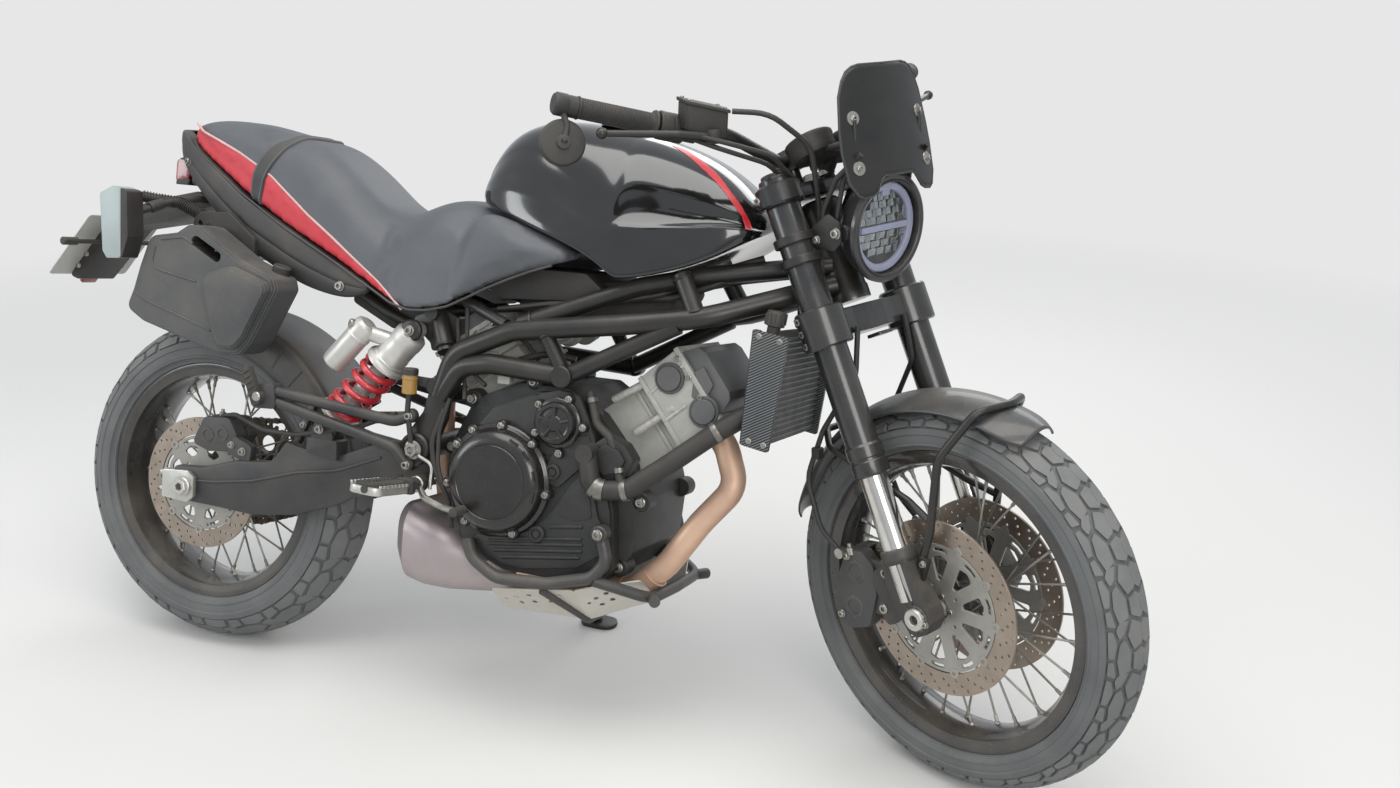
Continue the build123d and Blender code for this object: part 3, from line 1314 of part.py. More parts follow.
hose_route = [
    (1310, 60, 770), (1318, 74, 690), (1262, 92, 590), (1232, 100, 500), (1268, 106, 420), (1312, 104, 388),
]
with BuildPart() as brake_hoses:
    for side in (-1, 1):
        tube([(x, side * y, z) for x, y, z in hose_route], 5, (40, 60, 60, 50))
    add(clamps.part, mode=Mode.SUBTRACT)
    add(fork_tubes.part, mode=Mode.SUBTRACT)
    add(calipers.part, mode=Mode.SUBTRACT)
    add(sliders.part, mode=Mode.SUBTRACT)
    add(stays.part, mode=Mode.SUBTRACT)
brake_hoses.part.label = "brake_hoses"

# Bodies: fixed, turning with the steering, and each wheel
fixed = [
    trellis, subframe, swing, axle_set, pivot_bolt, shock, spring, shock_mount, engine, covers, cylinders,
    radiator, hoses, headers, muffler, guard, skid, tank, seat, tail, airbox, carrier, lamps, can, can_bracket,
    rear_brake, hugger, pegs, levers, chain, stand_bracket,
]
turning = [
    fork_tubes, sliders, clamps, bar, bar_clamp, grips, controls, mirror_part, lamp_shell, lens, lamp_bracket,
    screen, dials, mudguard, stays, calipers, brake_hoses,
]
front_wheel = [front_tyre_ring, front_hoop, front_lacing, front_rotors]
rear_wheel = [rear_tyre_ring, rear_hoop, rear_lacing, rear_rotor, sprocket]

placed = []
for piece in fixed + rear_wheel + [stand]:
    placed.append((piece.part.label, piece.part.moved(standing)))
for piece in turning + front_wheel:
    placed.append((piece.part.label, piece.part.moved(standing * steering)))

whole = Compound([part for label, part in placed]).bounding_box()
centred = Location((-whole.center().X, -whole.center().Y, 0))
for label, part in placed:
    ready = part.moved(centred)
    ready.label = label
    export_step(ready, f"parts/{label}.step")


# Joints and mounts in the finished frame: place in metres, then direction
turned_front = standing * steering
axle_end = front_axle_end - bore_chamfer
rear_end = rear_axle_end - bore_chamfer
marks = {
    "steering": (standing, steer_origin, steer_up),
    "front_wheel": (turned_front, front_axle, Vector(0, 1, 0)),
    "rear_wheel": (standing, rear_axle, Vector(0, 1, 0)),
    "side_stand": (standing, stand_pin, stand_axis),
    "front_axle_left": (turned_front, front_axle + Vector(0, axle_end, 0), Vector(0, 1, 0)),
    "front_axle_right": (turned_front, front_axle - Vector(0, axle_end, 0), Vector(0, -1, 0)),
    "rear_axle_left": (standing, rear_axle + Vector(0, rear_end, 0), Vector(0, 1, 0)),
    "rear_axle_right": (standing, rear_axle - Vector(0, rear_end, 0), Vector(0, -1, 0)),
    "stand_foot": (standing, stand_foot, -ground.z_dir),
    "plate": (standing, Vector(-332, 0, 757), Vector(-130, 0, 104).normalized()),
}
for name, (pose, spot, way) in marks.items():
    here = (centred * pose * Location(spot)).position
    tip = (centred * pose * Location(spot + way)).position
    print("mark", name, *[round(v / 1000, 6) for v in here], *[round(v, 6) for v in tip - here])
print("stand swing", round(stand_swing, 2), "size", whole.size, "low", whole.min.Z)
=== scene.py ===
import bpy
import bmesh
from math import asin, atan2, cos, degrees, hypot, pi, radians, sin, sqrt, tan
from mathutils import Euler, Matrix, Vector
from mathutils.bvhtree import BVHTree


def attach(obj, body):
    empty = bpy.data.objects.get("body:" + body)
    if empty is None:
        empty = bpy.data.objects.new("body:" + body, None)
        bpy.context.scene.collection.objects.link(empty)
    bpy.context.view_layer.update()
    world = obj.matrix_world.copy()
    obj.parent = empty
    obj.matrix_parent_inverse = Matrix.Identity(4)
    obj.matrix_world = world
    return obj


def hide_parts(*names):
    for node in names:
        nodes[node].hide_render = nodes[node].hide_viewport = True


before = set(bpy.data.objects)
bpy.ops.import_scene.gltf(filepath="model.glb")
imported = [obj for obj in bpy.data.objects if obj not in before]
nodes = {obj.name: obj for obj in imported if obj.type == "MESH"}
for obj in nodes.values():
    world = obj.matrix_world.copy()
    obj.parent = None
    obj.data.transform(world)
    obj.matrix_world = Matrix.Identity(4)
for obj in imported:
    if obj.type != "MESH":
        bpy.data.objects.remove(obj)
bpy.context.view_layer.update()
print("frame loaded,", len(nodes), "nodes")

# The motorcycle is drawn upright in millimetres, X forward, Y to the rider's left, Z up,
# and is put on its stand by these values
parking = {"lean": 13.5, "pitch": -0.2036, "shift": (-0.700252, -0.233294, 0.002074), "turn": 28}
chassisSizes = {
    "wheelbase": 1488, "rake": 24.5, "axleBehind": 27.4, "legLead": 19.8, "legY": 107,
    "frontRadius": 329, "rearRadius": 321,
}
frontAxle = Vector((chassisSizes["wheelbase"], 0, chassisSizes["frontRadius"]))
rearAxle = Vector((0, 0, chassisSizes["rearRadius"]))
rakeTurn = radians(chassisSizes["rake"])
steerUp = Vector((-sin(rakeTurn), 0, cos(rakeTurn)))
steerFore = Vector((cos(rakeTurn), 0, sin(rakeTurn)))
steerSpot = frontAxle - steerFore * chassisSizes["axleBehind"]
parked = (
    Matrix.Translation(parking["shift"])
    @ Matrix.Rotation(radians(parking["pitch"]), 4, "Y")
    @ Matrix.Rotation(radians(-parking["lean"]), 4, "X")
    @ Matrix.Scale(0.001, 4)
)
turned = (
    parked @ Matrix.Translation(steerSpot)
    @ Matrix.Rotation(radians(-parking["turn"]), 4, steerUp) @ Matrix.Translation(-steerSpot)
)
bodyFrames = {
    "chassis": parked, "rear_wheel": parked, "side_stand": parked, "steering": turned,
    "front_wheel": turned,
}


def atFork(ahead, y, up):
    return steerSpot + steerFore * ahead + Vector((0, y, 0)) + steerUp * up


def onSide(point, side):
    return Vector((point[0], side * point[1], point[2]))


# outlines: a disc with its outer edge broken, a rectangle between limits, and one about the middle
def stud(radius, edge, top, height):
    return [(0, 0), (radius, 0), (radius, edge), (top, height), (0, height)]


def rectangle(first, second, low, high):
    return [(first, low), (second, low), (second, high), (first, high)]


def oblong(u, v):
    return [(-u, -v), (u, -v), (u, v), (-u, v)]


# mesh helpers: each adds to an open bmesh, with the material index given as mat

def newMesh():
    return bmesh.new()


# points of a polyline with filleted corners
def roundedRoute(points, bends):
    spots = [Vector(p) for p in points]
    bends = list(bends) + [0] * (len(spots) - 2 - len(bends))
    route = [spots[0]]
    for i in range(1, len(spots) - 1):
        before, here, after = spots[i - 1], spots[i], spots[i + 1]
        a = (before - here).normalized()
        b = (after - here).normalized()
        corner = a.angle(b, pi)
        if bends[i - 1] <= 0 or corner > pi - 0.01:
            route.append(here)
            continue
        reach = min(
            bends[i - 1] / tan(corner / 2), (before - here).length * 0.499, (after - here).length * 0.499,
        )
        bend = reach * tan(corner / 2)
        centre = here + (a + b).normalized() * (bend / sin(corner / 2))
        first = here + a * reach - centre
        last = here + b * reach - centre
        steps = max(2, int(first.angle(last) / radians(9)))
        for k in range(steps + 1):
            t = k / steps
            sweep = first.angle(last)
            spot = first * (sin((1 - t) * sweep) / sin(sweep)) + last * (sin(t * sweep) / sin(sweep))
            route.append(centre + spot)
    route.append(spots[-1])
    return route


def addTube(bm, points, radius, bends=(), sides=16, mat=0, capped=True, radii=None):
    route = roundedRoute(points, bends)
    rings = []
    across = None
    for i, spot in enumerate(route):
        way = (route[min(i + 1, len(route) - 1)] - route[max(i - 1, 0)]).normalized()
        if across is None:
            across = way.orthogonal().normalized()
        across = (across - way * across.dot(way)).normalized()
        other = way.cross(across)
        width = radius if radii is None else radii[0] + (radii[1] - radii[0]) * i / (len(route) - 1)
        rings.append([
            bm.verts.new(
                spot + (across * cos(2 * pi * k / sides) + other * sin(2 * pi * k / sides)) * width
            )
            for k in range(sides)
        ])
    skinRings(bm, rings, mat, capped)


def skinRings(bm, rings, mat=0, capped=True, closed=False):
    count = len(rings[0])
    pairs = list(zip(rings, rings[1:])) + ([(rings[-1], rings[0])] if closed else [])
    for low, high in pairs:
        for k in range(count):
            face = bm.faces.new((low[k], low[(k + 1) % count], high[(k + 1) % count], high[k]))
            face.material_index = mat
            face.smooth = True
    if capped and not closed:
        for ring in (rings[0][::-1], rings[-1]):
            face = bm.faces.new(ring)
            face.material_index = mat


# turned shape: profile holds (radius, distance along way); closed joins its two ends
def addTurned(bm, spot, way, profile, steps=64, mat=0, closed=False):
    way = Vector(way).normalized()
    across = way.orthogonal().normalized()
    other = way.cross(across)
    rings = []
    for radius, along in profile:
        if radius < 1e-6:
            rings.append([bm.verts.new(Vector(spot) + way * along)])
            continue
        rings.append([
            bm.verts.new(
                Vector(spot) + way * along
                + (across * cos(2 * pi * k / steps) + other * sin(2 * pi * k / steps)) * radius
            )
            for k in range(steps)
        ])
    pairs = list(zip(rings, rings[1:])) + ([(rings[-1], rings[0])] if closed else [])
    for low, high in pairs:
        for k in range(steps):
            corners = [
                low[k % len(low)], low[(k + 1) % len(low)], high[(k + 1) % len(high)], high[k % len(high)],
            ]
            corners = list(dict.fromkeys(corners))
            if len(corners) > 2:
                face = bm.faces.new(corners)
                face.material_index = mat
                face.smooth = True
    if not closed:
        for ring, turn in ((rings[0], -1), (rings[-1], 1)):
            if len(ring) > 1:
                face = bm.faces.new(ring[::turn])
                face.material_index = mat


# extrudes an outline of (u, v) points on a plane given as (origin, u way, v way, out way)
def addPrism(bm, outline, flat, depth, bevel=0, mat=0):
    origin, uWay, vWay, outWay = flat
    place = lambda u, v, w: origin + uWay * u + vWay * v + outWay * w
    part = bmesh.new()
    low = [part.verts.new(place(u, v, 0)) for u, v in outline]
    high = [part.verts.new(place(u, v, depth)) for u, v in outline]
    part.faces.new(low[::-1])
    part.faces.new(high)
    for k in range(len(outline)):
        n = (k + 1) % len(outline)
        part.faces.new((low[k], low[n], high[n], high[k]))
    bmesh.ops.recalc_face_normals(part, faces=part.faces)
    if bevel:
        sharp = [e for e in part.edges if e.calc_face_angle(0) > radians(24)]
        bmesh.ops.bevel(
            part, geom=sharp, offset=bevel, segments=2, profile=0.6, affect="EDGES", clamp_overlap=True,
        )
    mergeIn(bm, part, mat)


# copies one bmesh into another and frees it
def mergeIn(bm, part, mat=0, matrix=None):
    made = {}
    for v in part.verts:
        made[v] = bm.verts.new(matrix @ v.co if matrix else v.co)
    for f in part.faces:
        try:
            face = bm.faces.new([made[v] for v in f.verts])
        except ValueError:
            continue
        face.material_index = mat
        face.smooth = True
    part.free()


# side view plane: u forward, v up, thickness to the left (out 1) or right (out -1)
def sidePlane(y, out=1):
    return (Vector((0, y, 0)), Vector((1, 0, 0)), Vector((0, 0, 1)), Vector((0, out, 0)))


def addPlate(bm, outline, yFrom, yTo, bevel=2, mat=0):
    addPrism(bm, outline, sidePlane(min(yFrom, yTo)), abs(yTo - yFrom), bevel, mat)


# joins rows of vertices into an open skin
def skinRows(bm, rows):
    for a, b in zip(rows, rows[1:]):
        for k in range(len(a) - 1):
            bm.faces.new((a[k], a[k + 1], b[k + 1], b[k]))
    bmesh.ops.recalc_face_normals(bm, faces=bm.faces)


# outline of a bar with round ends
def capsule(half, radius, tilt=0, spot=(0, 0)):
    points = []
    for end in (1, -1):
        u, v = spot[0] + end * half * cos(radians(tilt)), spot[1] + end * half * sin(radians(tilt))
        for k in range(9):
            angle = radians(tilt + (0 if end > 0 else 180) - 90 + 180 * k / 8)
            points.append((u + radius * cos(angle), v + radius * sin(angle)))
    return points


# flat plate with holes: loops of (u, v) points, outer ones and holes alike
def addCutout(bm, loops, flat, depth, bevel=0.4, mat=0):
    curve = bpy.data.curves.new("cutout", "CURVE")
    curve.dimensions = "2D"
    curve.fill_mode = "BOTH"
    curve.extrude = depth / 2 - bevel
    curve.bevel_depth = bevel
    curve.bevel_resolution = 0
    for loop in loops:
        line = curve.splines.new("POLY")
        line.points.add(len(loop) - 1)
        for point, (u, v) in zip(line.points, loop):
            point.co = (u, v, 0, 1)
        line.use_cyclic_u = True
    holder = bpy.data.objects.new("cutout", curve)
    mesh = bpy.data.meshes.new_from_object(holder)
    part = bmesh.new()
    part.from_mesh(mesh)
    bmesh.ops.remove_doubles(part, verts=part.verts, dist=0.01)
    bmesh.ops.recalc_face_normals(part, faces=part.faces)
    origin, uWay, vWay, outWay = flat
    for v in part.verts:
        u, w, d = v.co
        v.co = origin + uWay * u + vWay * w + outWay * (d + depth / 2)
    bmesh.ops.recalc_face_normals(part, faces=part.faces)
    mergeIn(bm, part, mat)
    bpy.data.objects.remove(holder)
    bpy.data.curves.remove(curve)
    bpy.data.meshes.remove(mesh)


def circlePoints(u, v, radius, steps=24, start=0, stop=360):
    span = stop - start
    count = steps if span >= 360 else steps + 1
    return [
        (
            u + radius * cos(radians(start + span * k / steps)),
            v + radius * sin(radians(start + span * k / steps)),
        )
        for k in range(count)
    ]


# outline of (u, v) points with its corners rounded
def roundCorners(outline, radius, steps=4):
    flat = [Vector((u, v, 0)) for u, v in outline]
    spots = []
    for i, here in enumerate(flat):
        before, after = flat[i - 1], flat[(i + 1) % len(flat)]
        a, b = (before - here), (after - here)
        corner = a.angle(b, pi)
        size = radius[i] if isinstance(radius, (list, tuple)) else radius
        if size <= 0 or corner > pi - 0.02:
            spots.append((here.x, here.y))
            continue
        reach = min(size / tan(corner / 2), a.length * 0.48, b.length * 0.48)
        first, last = here + a.normalized() * reach, here + b.normalized() * reach
        for k in range(steps + 1):
            t = k / steps
            spot = first * (1 - t) ** 2 + here * 2 * t * (1 - t) + last * t ** 2
            spots.append((spot.x, spot.y))
    return spots


# turns a bmesh drawn upright in millimetres into a piece that rides on a body
def makePiece(name, bm, materials, hides=(), sharp=32, finish=None, body="chassis"):
    mesh = bpy.data.meshes.new(name)
    bm.to_mesh(mesh)
    bm.free()
    mesh.transform(bodyFrames[body])
    for material in materials:
        mesh.materials.append(finishes[material])
    piece = bpy.data.objects.new(name, mesh)
    bpy.context.scene.collection.objects.link(piece)
    mesh.shade_smooth()
    mesh.set_sharp_from_angle(angle=radians(sharp))
    if finish:
        finish(piece)
    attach(piece, body)
    if hides:
        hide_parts(*hides)
    return piece


def addSlab(bm, outline, corner, yFrom, yTo, bevel=2, mat=0):
    addPlate(bm, roundCorners(outline, corner), yFrom, yTo, bevel, mat)


# replaces a piece's mesh by what its modifiers make of it
def bakeModifiers(piece):
    bpy.context.view_layer.update()
    ready = bpy.data.meshes.new_from_object(piece.evaluated_get(bpy.context.evaluated_depsgraph_get()))
    ready.name = piece.name
    piece.modifiers.clear()
    piece.data = ready


# shader groups that several finishes share

def newGroup(name, inputs, outputs):
    group = bpy.data.node_groups.new(name, "ShaderNodeTree")
    for label, kind, value in inputs:
        socket = group.interface.new_socket(label, in_out="INPUT", socket_type=kind)
        if value is not None:
            socket.default_value = value
    for label, kind in outputs:
        group.interface.new_socket(label, in_out="OUTPUT", socket_type=kind)
    start = group.nodes.new("NodeGroupInput")
    end = group.nodes.new("NodeGroupOutput")
    return group, start, end


def mathNode(tree, kind, first, second=None):
    node = tree.nodes.new("ShaderNodeMath")
    node.operation = kind
    for socket, value in zip(node.inputs, (first, second)):
        if value is None:
            continue
        if isinstance(value, (int, float)):
            socket.default_value = value
        else:
            tree.links.new(value, socket)
    return node.outputs[0]


def rangeNode(tree, value, lowIn, highIn, lowOut=0.0, highOut=1.0):
    node = tree.nodes.new("ShaderNodeMapRange")
    for socket, given in zip(node.inputs, (value, lowIn, highIn, lowOut, highOut)):
        if isinstance(given, (int, float)):
            socket.default_value = given
        else:
            tree.links.new(given, socket)
    return node.outputs[0]


def buildMottle():
    group, start, end = newGroup(
        "mottle",
        [
            ("Vector", "NodeSocketVector", None), ("Scale", "NodeSocketFloat", 8.0),
            ("Low", "NodeSocketFloat", 0.25), ("High", "NodeSocketFloat", 0.75),
        ],
        [("Mask", "NodeSocketFloat")],
    )
    noise = group.nodes.new("ShaderNodeTexNoise")
    noise.inputs["Detail"].default_value = 6
    noise.inputs["Roughness"].default_value = 0.6
    group.links.new(start.outputs["Vector"], noise.inputs["Vector"])
    group.links.new(start.outputs["Scale"], noise.inputs["Scale"])
    mask = rangeNode(group, noise.outputs["Fac"], start.outputs["Low"], start.outputs["High"])
    group.links.new(mask, end.inputs["Mask"])
    return group


def buildSettledDust():
    group, start, end = newGroup(
        "settledDust",
        [
            ("Vector", "NodeSocketVector", None), ("Amount", "NodeSocketFloat", 0.3),
            ("Scale", "NodeSocketFloat", 11.0),
        ],
        [("Mask", "NodeSocketFloat")],
    )
    surface = group.nodes.new("ShaderNodeNewGeometry")
    split = group.nodes.new("ShaderNodeSeparateXYZ")
    group.links.new(surface.outputs["Normal"], split.inputs[0])
    upward = rangeNode(group, split.outputs["Z"], -0.3, 1.0, 0.3, 1.0)
    film = group.nodes.new("ShaderNodeTexNoise")
    specks = group.nodes.new("ShaderNodeTexNoise")
    for noise, detail in ((film, 5), (specks, 2)):
        noise.inputs["Detail"].default_value = detail
        noise.inputs["Roughness"].default_value = 0.55
        group.links.new(start.outputs["Vector"], noise.inputs["Vector"])
    group.links.new(start.outputs["Scale"], film.inputs["Scale"])
    group.links.new(mathNode(group, "MULTIPLY", start.outputs["Scale"], 22), specks.inputs["Scale"])
    soft = rangeNode(group, film.outputs["Fac"], 0.3, 0.75, 0.15, 0.8)
    grit = rangeNode(group, specks.outputs["Fac"], 0.62, 0.78, 0.0, 0.55)
    patches = mathNode(group, "ADD", soft, grit)
    mask = mathNode(
        group, "MULTIPLY", mathNode(group, "MULTIPLY", upward, patches), start.outputs["Amount"],
    )
    group.links.new(mask, end.inputs["Mask"])
    return group


def buildEdgeWear():
    group, start, end = newGroup(
        "edgeWear",
        [
            ("Vector", "NodeSocketVector", None), ("Amount", "NodeSocketFloat", 0.5),
            ("Scale", "NodeSocketFloat", 140.0),
        ],
        [("Mask", "NodeSocketFloat")],
    )
    surface = group.nodes.new("ShaderNodeNewGeometry")
    edges = rangeNode(group, surface.outputs["Pointiness"], 0.565, 0.64)
    noise = group.nodes.new("ShaderNodeTexNoise")
    noise.inputs["Detail"].default_value = 4
    group.links.new(start.outputs["Vector"], noise.inputs["Vector"])
    group.links.new(start.outputs["Scale"], noise.inputs["Scale"])
    broken = rangeNode(group, noise.outputs["Fac"], 0.45, 0.6)
    mask = mathNode(group, "MULTIPLY", mathNode(group, "MULTIPLY", edges, broken), start.outputs["Amount"])
    group.links.new(mask, end.inputs["Mask"])
    return group


def buildFineGrain():
    group, start, end = newGroup(
        "fineGrain",
        [
            ("Vector", "NodeSocketVector", None), ("Scale", "NodeSocketFloat", 400.0),
            ("Cells", "NodeSocketFloat", 0.5),
        ],
        [("Height", "NodeSocketFloat")],
    )
    noise = group.nodes.new("ShaderNodeTexNoise")
    noise.inputs["Detail"].default_value = 3
    cells = group.nodes.new("ShaderNodeTexVoronoi")
    for node in (noise, cells):
        group.links.new(start.outputs["Vector"], node.inputs["Vector"])
        group.links.new(start.outputs["Scale"], node.inputs["Scale"])
    mix = group.nodes.new("ShaderNodeMix")
    group.links.new(start.outputs["Cells"], mix.inputs[0])
    group.links.new(noise.outputs["Fac"], mix.inputs[2])
    group.links.new(cells.outputs["Distance"], mix.inputs[3])
    group.links.new(mix.outputs[0], end.inputs["Height"])
    return group


groups = {
    "mottle": buildMottle(), "settledDust": buildSettledDust(), "edgeWear": buildEdgeWear(),
    "fineGrain": buildFineGrain(),
}


# linear colour of a web colour code
def tone(code):
    parts = [int(code[i:i + 2], 16) / 255 for i in (1, 3, 5)]
    return tuple(c / 12.92 if c <= 0.04045 else ((c + 0.055) / 1.055) ** 2.4 for c in parts) + (1.0,)


def useGroup(tree, name, vector, **values):
    node = tree.nodes.new("ShaderNodeGroup")
    node.node_tree = groups[name]
    tree.links.new(vector, node.inputs["Vector"])
    for label, value in values.items():
        node.inputs[label].default_value = value
    return node.outputs[0]


def mixColours(tree, mask, first, second):
    node = tree.nodes.new("ShaderNodeMix")
    node.data_type = "RGBA"
    for socket, value in ((node.inputs[0], mask), (node.inputs[6], first), (node.inputs[7], second)):
        if isinstance(value, (tuple, float, int)):
            socket.default_value = value
        else:
            tree.links.new(value, socket)
    return node.outputs[2]


finishes = {}


# a finish from a colour, its mottling, dust, worn edges and grain; paint may recolour by place
def makeFinish(
    name, colour, other, metal, rough, patch, depth, dust, grain=500.0, cells=0.4,
    dustColour="#8f8577", wear=0.0, wearColour="#b9b7b2", coat=0.0, paint=None, relief=None,
):
    material = bpy.data.materials.new(name)
    material.use_nodes = True
    tree = material.node_tree
    shader = tree.nodes["Principled BSDF"]
    where = tree.nodes.new("ShaderNodeTexCoord").outputs["Object"]
    patches = useGroup(tree, "mottle", where, Scale=patch)
    base = mixColours(tree, patches, tone(colour), tone(other))
    if paint:
        base = paint(tree, where, base)
    if wear:
        base = mixColours(tree, useGroup(tree, "edgeWear", where, Amount=wear), base, tone(wearColour))
    if dust:
        settled = useGroup(tree, "settledDust", where, Amount=dust)
        base = mixColours(tree, settled, base, tone(dustColour))
        lift = mathNode(tree, "MULTIPLY", settled, 0.5)
        roughness = mathNode(tree, "ADD", rangeNode(tree, patches, 0, 1, *rough), lift)
    else:
        roughness = rangeNode(tree, patches, 0, 1, *rough)
    tree.links.new(base, shader.inputs["Base Color"])
    tree.links.new(roughness, shader.inputs["Roughness"])
    shader.inputs["Metallic"].default_value = metal
    shader.inputs["Coat Weight"].default_value = coat
    shader.inputs["Coat Roughness"].default_value = 0.06
    height = useGroup(tree, "fineGrain", where, Scale=grain, Cells=cells)
    if relief:
        height = relief(tree, where, height)
    bump = tree.nodes.new("ShaderNodeBump")
    bump.inputs["Strength"].default_value = depth
    bump.inputs["Distance"].default_value = 0.001
    tree.links.new(height, bump.inputs["Height"])
    tree.links.new(bump.outputs[0], shader.inputs["Normal"])
    finishes[name] = material
    return material


# object coordinates moved into the upright motorcycle's directions
def placed(tree, where, turn=(0, 0, 0), shift=(0, 0, 0), scale=(1, 1, 1)):
    node = tree.nodes.new("ShaderNodeMapping")
    node.vector_type = "POINT"
    node.inputs["Rotation"].default_value = [radians(a) for a in turn]
    node.inputs["Location"].default_value = shift
    node.inputs["Scale"].default_value = scale
    tree.links.new(where, node.inputs["Vector"])
    return node.outputs[0]


def weaveWave(tree, where):
    wave = tree.nodes.new("ShaderNodeTexWave")
    wave.wave_type = "BANDS"
    wave.bands_direction = "Z"
    wave.inputs["Scale"].default_value = 78
    wave.inputs["Distortion"].default_value = 0
    tree.links.new(placed(tree, where, (0, 28, 0)), wave.inputs["Vector"])
    return rangeNode(tree, wave.outputs["Fac"], 0.35, 0.65)


def weaveStripes(tree, where, base):
    return mixColours(tree, weaveWave(tree, where), tone("#0f1011"), tone("#6d7174"))


def weaveRelief(tree, where, height):
    return weaveWave(tree, where)


